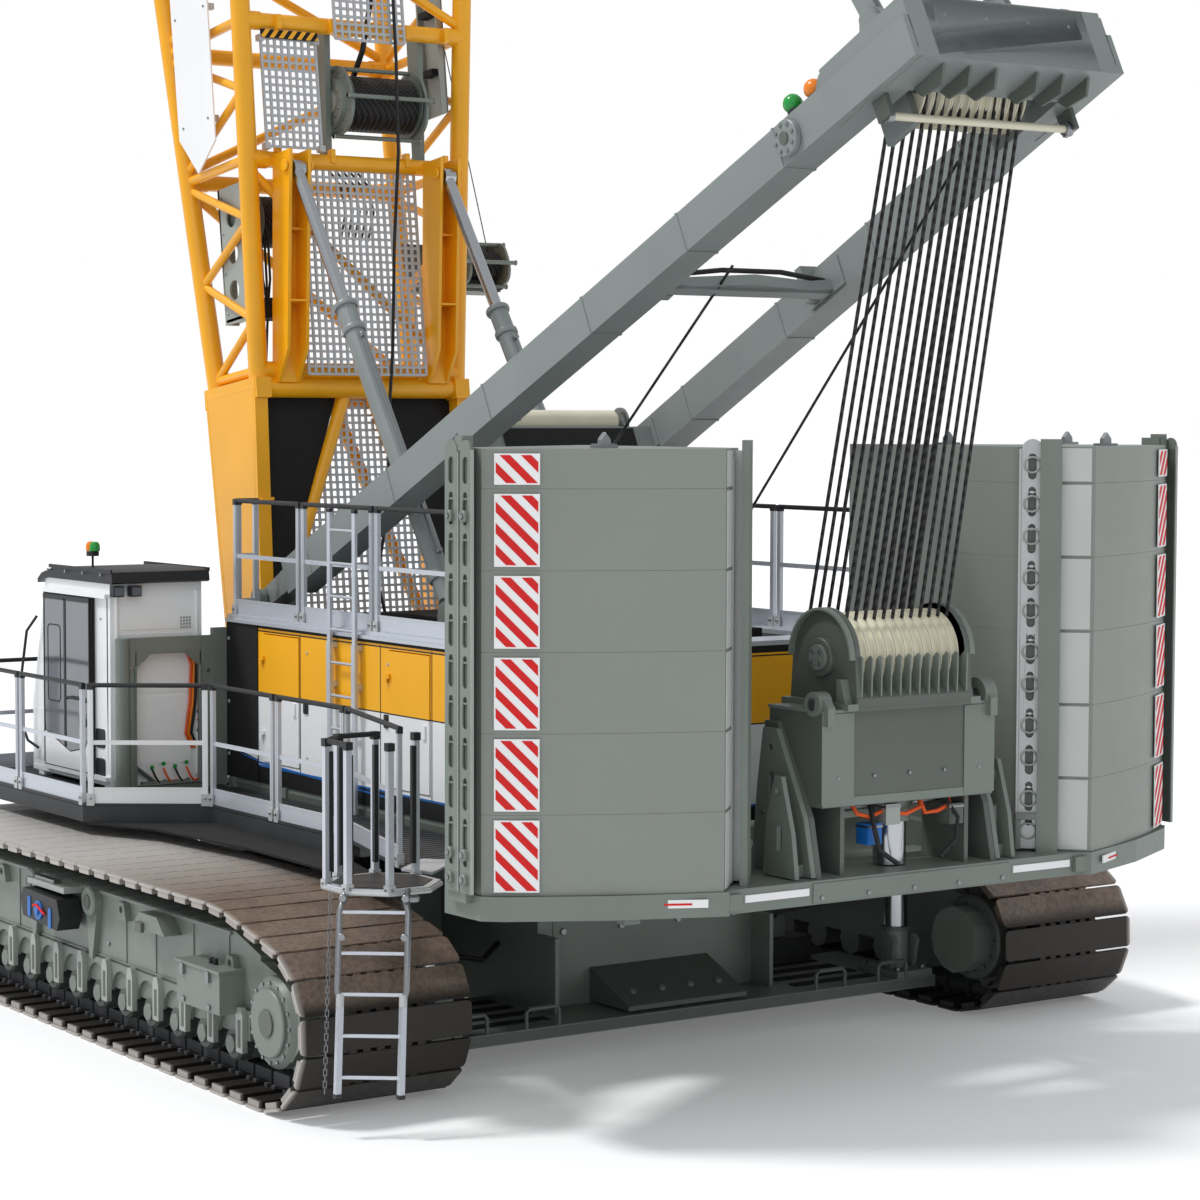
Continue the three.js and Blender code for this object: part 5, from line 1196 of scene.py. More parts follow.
# ---------------------------------------------------------------- walkways
DECK_BOTTOM = 1.76
DECK_TOP = 1.79
ROOF_TOP = 3.43  # top of the planks on the house roof
RAIL_HEIGHT = 1.1
LINK_HALF = 0.012  # half of a chain link's width


def rail_panel(shape, a, b, floor, skin="aluminium"):
    """One guard panel: two posts with black caps, rails, a toe board and clamp feet."""
    a, b = Vector(a), Vector(b)
    along = (b - a).normalized()
    across = Vector((-along.y, along.x))
    length = (b - a).length

    def place(point):
        spot = a + along * point[0] + across * point[1]
        return (spot.x, spot.y, point[2])

    def block(s, w, z, name):
        shape.box(s, w, z, name, place)

    top = floor + RAIL_HEIGHT
    for s in (0.0, length - 0.05):
        block((s, s + 0.05), (-0.018, 0.018), (floor - 0.02, top - 0.05), skin)
        block((s + 0.02, s + 0.03), (-0.0205, 0.0205), (floor + 0.16, top - 0.06),
              "steel_pale" if skin == "aluminium" else skin)
        block((s - 0.004, s + 0.054), (-0.022, 0.022), (top - 0.062, top - 0.008), "plastic")
        for w in (-0.022, 0.022):
            block((s - 0.01, s + 0.06), around(w, 0.008), (floor - 0.02, floor + 0.09), "steel_pale")
        spot = a + along * (s + 0.025) + across * 0.03
        shape.disc((spot.x, spot.y, floor + 0.05), (across.x, across.y, 0), 0.014, 0.014, "steel", 8)
        spot = a + along * (s + 0.025) - across * 0.03
        shape.disc((spot.x, spot.y, floor + 0.05), (-across.x, -across.y, 0), 0.014, 0.014, "steel", 8)
    start, end = a + along * 0.004, a + along * (length - 0.004)
    shape.pipe([(start.x, start.y, top - 0.022), (end.x, end.y, top - 0.022)], 0.0215, "plastic", 12)
    block((0.04, length - 0.04), (-0.007, 0.007), (floor + 0.535, floor + 0.575), skin)
    block((0.045, length - 0.045), (-0.006, 0.006), (floor - 0.015, floor + 0.14), skin)
    block((0.045, length - 0.045), (-0.011, 0.011), (floor + 0.13, floor + 0.145), skin)


def rail_run(shape, line, floor, pitch=1.2, gate=-1):
    number = 0
    for a, b in zip(line, line[1:]):
        a, b = Vector(a), Vector(b)
        count = max(1, round((b - a).length / pitch))
        for i in range(count):
            start, end = a.lerp(b, i / count), a.lerp(b, (i + 1) / count)
            gap = (end - start).normalized() * 0.025
            rail_panel(shape, start + gap, end - gap, floor, "white" if number == gate else "aluminium")
            number += 1


def deck_plate(shape, outline, z):
    """A checkered deck: the plate, its edge strip and low raised bars."""
    shape.plate(outline, z, "deck", axis="z")
    xs, ys = [p[0] for p in outline], [p[1] for p in outline]
    y = min(ys) + 0.08
    while y < max(ys) - 0.05:
        row = clip(clip([(min(xs), y), (max(xs), y), (max(xs), y + 0.02), (min(xs), y + 0.02)], 1, min(ys),
                        1), 1, max(ys), -1)
        crossings = []
        for (x0, y0), (x1, y1) in zip(outline, outline[1:] + outline[:1]):
            if (y0 > y) != (y1 > y):
                crossings.append(x0 + (x1 - x0) * (y - y0) / (y1 - y0))
        crossings.sort()
        if row and len(crossings) > 1:
            shape.box((crossings[0] + 0.04, crossings[-1] - 0.04), (y, y + 0.02), (z[1], z[1] + 0.004),
                      "deck")
        y += 0.1


def left_walkway():
    shape = Shape()
    outline = [(-3.48, 3.8), (-3.48, 0.85), (-2.54, 0.2), (-2.54, -2.3), (-3.0, -4.08), (-1.77, -4.08),
               (-1.77, 1.36),
               (-1.6, 1.62), (-1.6, 3.8)]
    deck_plate(shape, outline, (DECK_BOTTOM, DECK_TOP))
    line = [(-1.7, 3.78), (-3.458, 3.78), (-3.458, 0.85), (-2.518, 0.2), (-2.518, -2.3), (-2.96, -3.96)]
    rail_run(shape, line, DECK_TOP, 1.28, gate=3)
    shape.plate([(-3.475, 0.84), (-2.535, 0.19), (-2.535, 0.175), (-3.475, 0.825)], (1.62, 1.765), "deck",
                axis="z")
    shape.box((-2.54, -2.53), (-2.3, 0.2), (1.62, 1.765), "deck")
    shape.box((-3.48, -3.47), (0.85, 3.8), (1.62, 1.765), "deck")
    # Painted shadow: a black sheet below the deck's outer edge stands for the shade the deck casts on the
    # track.
    painted_shadow_sheet = [(-3.46, 0.83), (-2.54, 0.19), (-2.54, -2.3), (-2.95, -3.85), (-3.02, -3.3), (-2.98, -1.4),
             (-3.14, 0.1)]
    shape.plate(painted_shadow_sheet, (1.6, 1.62), "black", axis="z")
    return shape


def right_walkway():
    shape = Shape()
    deck_plate(shape, rect((1.77, 2.54), (-4.08, 1.34)), (DECK_BOTTOM, DECK_TOP))
    rail_run(shape, [(1.82, 1.318), (2.518, 1.318), (2.518, -4.06)], DECK_TOP)
    shape.box((2.53, 2.54), (-4.08, 1.34), (1.62, 1.765), "deck")
    return shape


def roof_walkways():
    shape = Shape()
    for side in (1, -1):
        outline = rect((side * 1.4, side * 1.75), (-4.1, 1.35))
        shape.plate(outline, (3.3905, ROOF_TOP), "aluminium", axis="z")
        for i in range(27):
            y = -4.0 + i * 0.2
            shape.box(mirrored(side, 1.43, 1.72), (y, y + 0.02), (ROOF_TOP, ROOF_TOP + 0.004), "aluminium")
        rail_run(shape, [(side * 1.42, 1.305), (side * 1.705, 1.305), (side * 1.705, -4.055)], ROOF_TOP,
                 1.4)
    shape.plate(rect((-1.4, 1.4), (-4.1, -3.7)), (3.3905, ROOF_TOP), "aluminium", axis="z")
    return shape


def access_ladder():
    """The caged platform with the ladder below it and its chain."""
    shape = Shape()
    cx, cy, radius = -3.48, -4.56, 0.45
    octagon = circle(cx, cy, radius, 8, math.pi / 8)
    shape.plate(octagon, (DECK_BOTTOM, DECK_TOP), "aluminium", axis="z")
    inner = [(cx + (x - cx) * 0.86, cy + (y - cy) * 0.86) for x, y in octagon]
    shape.plate(inner, (DECK_TOP, DECK_TOP + 0.006), "deck", axis="z")
    for i in range(8):
        a, b = octagon[i], octagon[(i + 1) % 8]
        shape.pipe([(a[0], a[1], DECK_BOTTOM), (b[0], b[1], DECK_BOTTOM)], 0.02, "steel_pale", 8)
    for i, (x, y) in enumerate(octagon[:6]):
        px, py = cx + (x - cx) * 0.94, cy + (y - cy) * 0.94
        high = DECK_TOP + RAIL_HEIGHT
        shape.box(around(px, 0.024), around(py, 0.024), (DECK_BOTTOM, high - 0.04), "aluminium")
        tx, ty = (cx - px) * 0.07, (cy - py) * 0.07
        shape.box(around(px + tx, 0.018), around(py + ty, 0.018), (DECK_TOP + 0.09, high - 0.1), "plastic")
        shape.box(around(px, 0.03), around(py, 0.03), (high - 0.06, high), "plastic")
        shape.box(around(px, 0.034), around(py, 0.034), (DECK_BOTTOM - 0.005, DECK_TOP + 0.03),
                  "steel_pale")
        for dx, dy in ((0.036, 0), (-0.036, 0), (0, -0.036)):
            shape.disc((px + dx, py + dy, DECK_TOP), (dx, dy, 0), 0.011, 0.01, "steel", 8)
        if i in (1, 2, 3):
            nx, ny = octagon[i + 1]
            qx, qy = cx + (nx - cx) * 0.94, cy + (ny - cy) * 0.94
            shape.pipe([(px, py, high - 0.02), (qx, qy, high - 0.02)], 0.021, "plastic", 12)
    shape.plate([(-3.1, -4.2), (-2.7, -3.85), (-2.5, -4.05), (-3.0, -4.5)], (DECK_TOP, DECK_TOP + 0.02),
                "aluminium", axis="z")
    out = Vector((cx, cy)).normalized()
    across = Vector((-out.y, out.x))

    def spot(t, s, away=0.0):
        reach = 6.53 + (6.19 - 6.53) * t + away
        place = out * reach + across * s
        return (place.x, place.y, 0.3 + (DECK_TOP - 0.01 - 0.3) * t)

    for s in (-0.235, 0.235):
        low, middle = spot(0.0, s), spot(0.5, s)
        shape.pipe([low, middle], 0.031, "aluminium", 4)
        shape.pipe([spot(0.47, s), spot(0.52, s * 1.1), spot(0.9, s * 1.1), spot(0.95, s, -0.03),
                    spot(1.0, s, -0.12)], 0.025, "steel", 14)
        shape.pipe([spot(0.5, s), spot(0.44, s)], 0.032, "steel_pale", 12)
        shape.box((spot(0, s)[0] - 0.025, spot(0, s)[0] + 0.025),
                  (spot(0, s)[1] - 0.025, spot(0, s)[1] + 0.025), (0.3, 0.33), "plastic")
        for t in (0.78, 0.97):
            p = spot(t, s)
            shape.disc(p, (out.x, out.y, 0), 0.03, 0.03, "steel", 10)
    for i in range(5):
        t = (i + 0.5) / 5
        shape.pipe([spot(t, -0.235), spot(t, 0.235)], 0.014, "aluminium", 10)
    for i in range(34):
        t = 0.02 + i * 0.0285
        a, b = spot(t, -0.33), spot(t + 0.034, -0.33)
        away = (across if i % 2 else out).to_3d() * LINK_HALF
        a, b = Vector(a), Vector(b)
        shape.pipe([a + away, b + away, b - away, a - away], 0.004, "steel", 5, closed=True)
    return shape


def roof_ladder():
    shape = Shape()
    x = -1.81
    for y in (-1.2, -0.75):
        shape.box(around(x, 0.014), around(y, 0.028), (DECK_TOP + 0.002, 4.49), "aluminium")
        shape.box(around(x, 0.02), around(y, 0.034), (2.72, 3.3), "aluminium")
        shape.box(around(x, 0.018), around(y, 0.032), (4.46, 4.492), "plastic")
    for i in range(9):
        z = DECK_TOP + (4.45 - DECK_TOP) * (i + 0.5) / 9
        shape.pipe([(x, -1.2, z), (x, -0.75, z)], 0.014, "aluminium", 10)
    for z in (2.9, 3.25):
        shape.box((x, -1.752), (-1.24, -1.16), (z, z + 0.05), "aluminium")
        shape.box((x, -1.752), (-0.79, -0.71), (z, z + 0.05), "aluminium")
    return shape


# ---------------------------------------------------------------- house
HOUSE_HALF = 1.75


def house_panels(side):
    """Seams, latches, the black front panel and the accent line on a house wall."""
    shape = Shape()
    wall = side * HOUSE_HALF

    def out(a, b):
        return sorted((wall + side * a, wall + side * b))

    shape.box(out(0.0, 0.012), (0.73, 1.35), (1.885, 3.36), "black")
    for y in (-0.09, -1.55, -2.42, -3.3):
        shape.box(out(0.0, 0.0035), around(y, 0.004), (2.03, 3.32), "deck")
    for z in (2.1, 2.6, 3.2):
        shape.disc((wall + side * 0.012, 1.3, z), (side, 0, 0), 0.018, 0.008, "steel_pale", 12)
    for y in (-0.2, -1.66, -3.4):
        shape.plate(rounded(around(y, 0.04), (2.6, 2.72), 0.015), out(0.002, 0.012), "plastic")
        shape.plate(rounded(around(y, 0.018), (2.63, 2.7), 0.01), out(0.012, 0.02), "deck")
        shape.disc((wall, y - 0.02, 3.16), (side, 0, 0), 0.014, 0.008, "steel_pale", 10)
        shape.disc((wall, y - 0.02, 2.2), (side, 0, 0), 0.012, 0.008, "steel_pale", 10)
    wedge = [(1.12, 2.155), (0.73, 2.175), (0.73, 2.1)]
    shape.plate(wedge, out(0.012, 0.016), "white")
    line = [(1.08, 2.128), (0.73, 2.096), (0.73, 2.078), (1.0, 2.11)]
    shape.plate(line, out(0.012, 0.017), "blue")
    shape.plate([(-1.69, 2.0), (0.73, 2.08), (0.73, 2.06), (-1.69, 1.984)], out(0.0, 0.004), "blue")
    shape.box(out(-0.01, 0.03), (-4.1, 1.35), (3.36, 3.392), "aluminium")
    shape.box(out(-0.12, 0.0), (-4.0, 1.3), (1.7, 1.84), "grey_dark")
    for y in (-3.9, -2.9, -1.9, -0.9, 0.2, 1.2):
        shape.box(out(-0.1, 0.02), around(y, 0.03), (1.7, 1.88), "grey")
    return shape


def hood():
    """The white octagonal exhaust hood with slanted louvres on both ends."""
    shape = Shape()
    cy, cz = -2.25, 3.66
    outline = [(cy + 0.3 * math.cos((i + 0.5) * math.pi / 4),
                cz + 0.268 * math.sin((i + 0.5) * math.pi / 4)) for i in range(8)]
    shape.plate(outline, (-1.34, -0.56), "white")
    shape.box((-1.3, -0.6), (-2.48, -2.02), (3.391, 3.49), "white")
    for face, turn in ((-1.34, -1), (-0.56, 1)):
        for i in range(8):
            start = -0.3 + i * 0.075
            slat = [(cy + start - 0.1, cz - 0.2), (cy + start - 0.062, cz - 0.2),
                    (cy + start + 0.178, cz + 0.2), (cy + start + 0.14, cz + 0.2)]
            slat = clip(clip(slat, 0, cy - 0.22, 1), 0, cy + 0.22, -1)
            slat = clip(clip(slat, 1, cz - 0.18, 1), 1, cz + 0.18, -1)
            if len(slat) > 2:
                shape.plate(slat, sorted((face, face + turn * 0.006)), "black")
        shape.plate([(cy + (y - cy) * 0.97, cz + (z - cz) * 0.97) for y, z in outline],
                    sorted((face, face + turn * 0.003)), "white")
    for i in range(9):
        y = cy - 0.26 + i * 0.065
        for x in (-1.2, -0.95, -0.7):
            shape.box(around(x, 0.09), (y, y + 0.03), (3.925, 3.932), "black")
    for x in (-1.28, -0.62):
        shape.disc((x, -2.53, 3.55), (0, -1, 0), 0.014, 0.01, "steel", 8)
    return shape


def roof_clutter():
    """Boxes, pipes and lids on the roof and the engine inside the doors."""
    shape = Shape()
    shape.box((0.2, 1.1), (-3.3, -2.3), (3.39, 3.47), "black")
    for i in range(10):
        y = -3.2 + i * 0.09
        shape.box((0.26, 1.04), (y, y + 0.03), (3.47, 3.482), "plastic")
    shape.plate(rounded((-0.4, 0.3), (-1.2, -0.3), 0.06), (3.39, 3.42), "deck", axis="z")
    shape.pipe([(-1.0, 1.2, 3.42), (-1.0, 0.3, 3.45), (-0.6, -0.2, 3.45), (-0.6, -1.6, 3.42)], 0.03,
               "rubber", 10)
    shape.pipe([(0.95, 1.2, 3.42), (0.95, 0.0, 3.45), (0.7, -0.8, 3.44), (0.7, -2.0, 3.42)], 0.024,
               "rubber", 10)
    for i in range(6):
        y = -3.4 + i * 0.3
        shape.box((-0.62, 0.62), (y, y + 0.05), (2.2, 2.93), "grey_dark")
        shape.pipe([(-0.45, y + 0.12, 2.9), (-0.45, y + 0.12, 3.02), (0.3, y + 0.12, 3.02)], 0.04, "steel",
                   10)
    shape.pipe([(-0.5, -3.4, 3.04), (-0.5, -1.8, 3.04)], 0.07, "engine", 16)
    return shape


# ---------------------------------------------------------------- cab
def cab_detail():
    """Window panes, seams, lamps, roof tray, beacon and boxes round the cab."""
    shape = Shape()
    shape.plate(rect((-2.79, -2.06), (2.1, 3.54)), (3.0, 3.012), "glass", axis="y")
    shape.box((-1.962, -1.95), (1.76, 2.84), (2.51, 3.51), "glass")
    for z in ((2.02, 2.66), (2.7, 3.26), (3.3, 3.62)):
        shape.box((-2.78, -2.07), (1.494, 1.5), z, "white")
    for x in (-2.84, -2.01):
        shape.pipe([(x, 1.492, 1.9), (x, 1.492, 3.66)], 0.018, "white", 10)
    shape.pipe([(-2.892, 1.56, 1.9), (-2.9, 1.56, 2.7), (-2.9, 1.56, 3.6)], 0.007, "rubber", 6)
    for z in (3.3, 3.1):
        for i in range(4):
            for j in range(4):
                x, h = -2.18 + j * 0.03, z + i * 0.03
                shape.box((x, x + 0.02), (1.49, 1.495), (h, h + 0.02), "grey_pale")
    tray = [(1.385, 3.755), (1.42, 3.74), (2.9, 3.74), (3.02, 3.70), (3.09, 3.68), (3.09, 3.72),
            (3.0, 3.78), (2.7, 3.85), (2.3, 3.868),
            (1.5, 3.868), (1.4, 3.85)]
    shape.plate(tray, (-2.93, -1.92), "plastic")
    for x in (-2.94, -1.93):
        shape.box((x, x + 0.02), (1.4, 2.8), (3.84, 3.875), "plastic")
    for y in (1.6, 2.0, 2.4, 2.8):
        shape.disc((-2.945, y, 3.82), (-1, 0, 0), 0.016, 0.01, "steel", 8)
    shape.pipe([(-2.75, 2.2, 3.86), (-2.75, 2.2, 3.98)], 0.012, "plastic", 8)
    shape.disc((-2.75, 2.2, 3.97), (0, 0, 1), 0.06, 0.05, "plastic", 20)
    lens = [(0.001, 0), (0.05, 0), (0.047, 0.06), (0.03, 0.085), (0.001, 0.09)]
    for y, skin in ((2.24, "lamp_orange"), (2.15, "lamp_green")):
        shape.lathe((-2.75, y, 4.02), (0, 0, 1), lens, skin, 20)
    for x in (-2.86, -2.68):
        shape.box(around(x, 0.055), (1.39, 1.47), (3.62, 3.72), "plastic")
        shape.box(around(x, 0.045), (1.382, 1.39), (3.632, 3.708), "glass")
    handle = [(-2.96, 3.05, 3.35), (-3.0, 3.2, 3.2), (-3.02, 3.28, 2.8), (-3.02, 3.3, 2.3),
              (-2.99, 3.22, 2.12), (-2.92, 3.12, 2.05)]
    shape.pipe(handle, 0.014, "plastic", 8)
    for z in ((2.18, 2.36), (1.9, 2.08)):
        shape.plate(rounded((1.62, 1.82), z, 0.03), (-2.907, -2.9), "plastic")
    shape.box((-2.906, -2.9), (1.5, 3.28), (1.835, 1.88), "white")
    shape.box((-2.905, -2.898), (2.93, 3.25), (1.95, 2.44), "white")
    for z in (2.08, 3.4):
        shape.disc((-2.9, 1.7, z), (-1, 0, 0), 0.012, 0.008, "steel", 8)
    return shape


def cab_door_detail():
    """The sliding door: tinted glass to the frame, white lower panel, bar and handle."""
    shape = Shape()
    x = (-2.956, -2.95)
    glass = [(1.85, 2.35), (1.95, 2.16), (2.3, 2.1), (2.86, 2.26), (2.89, 2.6), (2.89, 3.56), (1.85, 3.56)]
    shape.plate(glass, x, "glass")
    white = [(1.84, 1.93), (2.9, 1.93), (2.9, 2.24), (2.87, 2.25), (2.3, 2.09), (1.94, 2.15), (1.84, 2.33)]
    shape.plate(white, x, "white")
    shape.box((-2.962, -2.95), (2.38, 2.42), (2.13, 3.56), "plastic")
    shape.box((-2.962, -2.95), (1.84, 2.9), (3.54, 3.585), "plastic")
    for y in (1.84, 2.875):
        shape.box((-2.961, -2.95), (y, y + 0.018), (1.94, 3.58), "rubber")
    shape.plate(rounded((2.5, 2.8), (2.55, 3.3), 0.05), (-2.96, -2.957), "rubber",
                holes=[list(rounded((2.512, 2.788), (2.562, 3.288), 0.04))])
    shape.pipe([(-2.965, 1.9, 2.6), (-2.985, 1.95, 2.62), (-2.985, 2.3, 2.62), (-2.965, 2.36, 2.6)], 0.013,
               "plastic", 8)
    shape.box((-2.97, -2.955), (1.93, 2.06), (2.36, 2.44), "plastic")
    return shape


def bracket_detail():
    """Bracket flanges, round post, hoses and the grey plate between cab and house."""
    shape = Shape()
    shape.box((-2.7, -2.02), (1.376, 1.38), (3.1, 3.22), "grey")
    rim = [(-2.7, 1.84), (-2.03, 1.84), (-2.03, 2.95), (-2.17, 3.09), (-2.55, 3.09), (-2.7, 2.95)]
    edge = [(x, 1.374, z) for x, z in rim]
    shape.pipe(edge, 0.012, "grey", 6, closed=True)
    for corner in ([(-2.7, 3.09), (-2.7, 2.93), (-2.54, 3.09)],
                   [(-2.02, 3.09), (-2.18, 3.09), (-2.02, 2.93)]):
        shape.plate(corner, (1.38, 1.43), "grey", axis="y")
    for x, z in ((-2.75, 2.95), (-1.95, 2.9), (-1.95, 2.2), (-2.75, 2.1)):
        shape.disc((x, 1.38, z), (0, -1, 0), 0.02, 0.012, "steel", 8)
    for k in range(3):
        x = -2.12 + 0.03 * k
        skin = ("orange", "lamp_orange", "rubber")[k]
        shape.pipe([(x, 1.5, 3.1), (x + 0.04, 1.47, 2.95), (x + 0.02, 1.46, 2.6), (x - 0.02, 1.47, 2.3),
                    (x + 0.06, 1.5, 2.15)], 0.013, skin, 8)
    for k, z in enumerate((2.42, 2.5, 2.32)):
        shape.pipe([(-2.02, 1.46, z), (-1.85, 1.45, z + 0.01), (-1.78, 1.42, z)], 0.016,
                   ("orange", "rubber", "rubber")[k], 8)
    for k in range(4):
        x = -2.5 + k * 0.12
        shape.disc((x, 1.46, 1.98 + 0.03 * (k % 2)), (0, -0.3, 1), 0.018, 0.03, "lamp_green", 10)
        shape.pipe([(x, 1.46, 1.98), (x + 0.03, 1.44, 1.9), (x + 0.08, 1.46, 1.84), (x + 0.16, 1.5, 1.86)],
                   0.011, "orange" if k % 2 else "rubber", 8)
    shape.box((-2.6, -2.1), (1.45, 1.5), (1.78, 1.86), "grey")
    shape.pipe([(-2.66, 1.46, 2.0), (-2.4, 1.48, 1.8), (-2.2, 1.48, 1.76)], 0.02, "grey_dark", 6)
    shape.box((-1.9, -1.755), (1.36, 1.42), (1.8, 3.3), "grey")
    shape.box((-2.72, -2.66), (1.44, 1.5), (1.8, 3.15), "grey_pale")
    return shape


def cushion(name, low, high, lean, crown):
    """A crowned closed pad with a piped edge and sewn channels, leaning back by `lean` metres."""
    shape = Shape()
    columns, rows = 14, 12
    grid = []
    for level in (0, 1):
        for j in range(rows + 1):
            for i in range(columns + 1):
                u, v = i / columns, j / rows
                edge = (1 - (2 * u - 1) ** 6) * (1 - (2 * v - 1) ** 6)
                pull = 0.012 * math.sin(math.pi * u) * abs(2 * v - 1) ** 8
                channel = 0.006 * max(0, math.cos(6 * math.pi * v)) ** 12
                x = low.x + (high.x - low.x) * u
                y = low.y + (high.y - low.y) * v
                thick = (high.z - low.z) / 2
                if level:
                    z = low.z + thick * (1 + crown * edge ** 0.5) - channel * edge
                else:
                    z = low.z + thick * (1 - edge ** 0.3 * 0.98)
                grid.append((x, y - pull, z))
    if lean:
        turned = []
        for x, y, z in grid:
            turned.append((x, low.y + (z - low.z) * 0.9 - lean * (y - low.y) / (high.y - low.y),
                           low.z + (y - low.y)))
        grid = turned
    count = (columns + 1) * (rows + 1)
    faces = []
    for j in range(rows):
        for i in range(columns):
            a = j * (columns + 1) + i
            loop = (a, a + 1, a + columns + 2, a + columns + 1)
            faces.append(loop)
            faces.append(tuple(count + k for k in reversed(loop)))
    border = [(i, i + 1) for i in range(columns)]
    border += [(j * (columns + 1) + columns, (j + 1) * (columns + 1) + columns) for j in range(rows)]
    border += [(rows * (columns + 1) + i + 1, rows * (columns + 1) + i) for i in range(columns)]
    border += [((j + 1) * (columns + 1), j * (columns + 1)) for j in range(rows)]
    faces += [(b, a, count + a, count + b) for a, b in border]
    shape.add(grid, faces, "cloth")
    piece = make(name, shape, "upperworks")
    smooth = piece.modifiers.new("soften", "SUBSURF")
    smooth.levels = 1
    smooth.render_levels = 1
    return piece


def build_seat():
    frame_shape = Shape()
    frame_shape.box((-2.56, -2.32), (1.95, 2.25), (1.89, 2.2), "plastic")
    frame_shape.box((-2.66, -2.22), (1.86, 2.34), (2.2, 2.25), "plastic")
    for x in (-2.67, -2.24):
        frame_shape.pipe([(x + 0.02, 1.86, 2.25), (x + 0.02, 1.78, 2.6), (x + 0.02, 1.72, 3.0)], 0.016,
                         "plastic", 8)
    for x in (-2.7, -2.2):
        frame_shape.box((x, x + 0.03), (1.85, 2.2), (2.52, 2.56), "plastic")
    make("seat_frame", frame_shape, "upperworks", 0.006, ["operator_seat"])
    cushion("seat_cushion", Vector((-2.67, 1.88, 2.25)), Vector((-2.21, 2.37, 2.37)), 0.0, 0.9)
    cushion("seat_back", Vector((-2.67, 1.8, 2.38)), Vector((-2.21, 2.46, 2.5)), 0.1, 0.9)


def build_upperworks():
    make("left_walkway", left_walkway(), "upperworks", 0.002, ["left_catwalk"])
    make("right_walkway", right_walkway(), "upperworks", 0.002, ["right_catwalk"])
    make("roof_walkways", roof_walkways(), "upperworks", 0.002, ["roof_walkway"])
    make("caged_ladder", access_ladder(), "upperworks", 0.002, ["access_ladder"])
    make("roof_ladder_body", roof_ladder(), "upperworks", 0.002, ["roof_ladder"])
    for side, name in ((1, "right"), (-1, "left")):
        make(f"{name}_house_panels", house_panels(side), "upperworks", 0.001)
    make("exhaust_hood_body", hood(), "upperworks", 0.004, ["exhaust_hood"])
    make("roof_fittings", roof_clutter(), "upperworks", 0.004)
    make("cab_fittings", cab_detail(), "upperworks", 0.004, ["cab_roof_guard"])
    make("cab_door_panes", cab_door_detail(), "cab_side_door", 0.002)
    make("cab_bracket_fittings", bracket_detail(), "upperworks", 0.004)
    build_seat()


build_upperworks()


# ---------------------------------------------------------------- boom
BOX_LEG = 3.5
HEEL_TOP = 8.4
INSERT_TOP = 14.2
BOOM_TOP = 20.0
CHORD, RING, LACE = 0.095, 0.08, 0.048
BACKSTOP_X = 0.85
BOOM_WINCH = (6.23, -0.62, 0.26, 0.31, 0.4)  # along, front, x, drum radius, half its length
SIDE_WINCH = (4.8, 0.195, 1.9, 0.19, 0.21)


def chord_place(along):
    """Half width and half depth of the four chord lines at a place along the boom."""
    if along <= HEEL_TOP:
        t = (along - BOX_LEG) / (HEEL_TOP - BOX_LEG)
        return 1.125 + (1.305 - 1.125) * t, 0.44 + (0.905 - 0.44) * t
    if along <= INSERT_TOP:
        return 1.305, 0.905
    t = (along - INSERT_TOP) / (BOOM_TOP - INSERT_TOP)
    return 1.305 + (0.52 - 1.305) * t, 0.905 + (0.42 - 0.905) * t


def corner(along, side, face):
    x, v = chord_place(along)
    return (side * x, along, face * v)


def lattice(shape, stations, open_rear_bay=-1):
    """Round chords, rings with collars at their ends, and zigzag lacing on the four faces."""
    first, last = stations[0], stations[-1]
    for side in (1, -1):
        for face in (1, -1):
            shape.pipe([corner(first, side, face), corner(last, side, face)], CHORD, "yellow", 20)
    for i, station in enumerate(stations):
        inset = CHORD if i == 0 else -CHORD if i == len(stations) - 1 else 0
        at = station + inset
        for face in (1, -1):
            shape.pipe([corner(at, -1, face), corner(at, 1, face)], RING, "yellow", 16)
            x, v = chord_place(at)
            for side in (1, -1):
                shape.pipe([(side * (x - 0.2), at, face * v), (side * (x - 0.02), at, face * v)],
                           RING + 0.012, "yellow", 16)
        for side in (1, -1):
            shape.pipe([corner(at, side, -1), corner(at, side, 1)], LACE, "yellow", 14)
    for i in range(len(stations) - 1):
        a, b = stations[i] + CHORD, stations[i + 1] - CHORD
        flip = -1 if i % 2 else 1
        for face in (1,) if i == open_rear_bay else (1, -1):
            shape.pipe([corner(a, flip, face), corner(b, -flip, face)], LACE, "yellow", 14)
        for side in (1, -1):
            count = max(2, round((b - a) / 0.62))
            count += count % 2
            for k in range(count):
                p, q = a + (b - a) * k / count, a + (b - a) * (k + 1) / count
                turn = 1 if k % 2 == 0 else -1
                shape.pipe([corner(p, side, turn * 0.96), corner(q, side, -turn * 0.96)], LACE * 0.86,
                           "yellow", 12)


def grating(shape, x, along, front, limits=None):
    """A mesh panel of crossed flat bars in the boom's rear plane, with an edge strip."""
    pitch, bar, deep = 0.075, 0.012, 0.012
    count = round((x[1] - x[0]) / pitch)
    for i in range(count + 1):
        at = x[0] + (x[1] - x[0]) * i / count
        low = along[0]
        high = along[1]
        if limits:
            while high > low and not limits(high)[0] <= at <= limits(high)[1]:
                high -= 0.02
        if high - low > 0.05:
            shape.box((at - bar, at + bar), (low, high), (front - deep, front + deep), "mesh_metal")
    rows = round((along[1] - along[0]) / pitch)
    for j in range(rows + 1):
        at = along[0] + (along[1] - along[0]) * j / rows
        low, high = x
        if limits:
            low, high = max(low, limits(at)[0]), min(high, limits(at)[1])
        if high - low > 0.05:
            shape.box((low, high), (at - bar, at + bar), (front - deep + 0.002, front + deep - 0.002),
                      "mesh_metal")


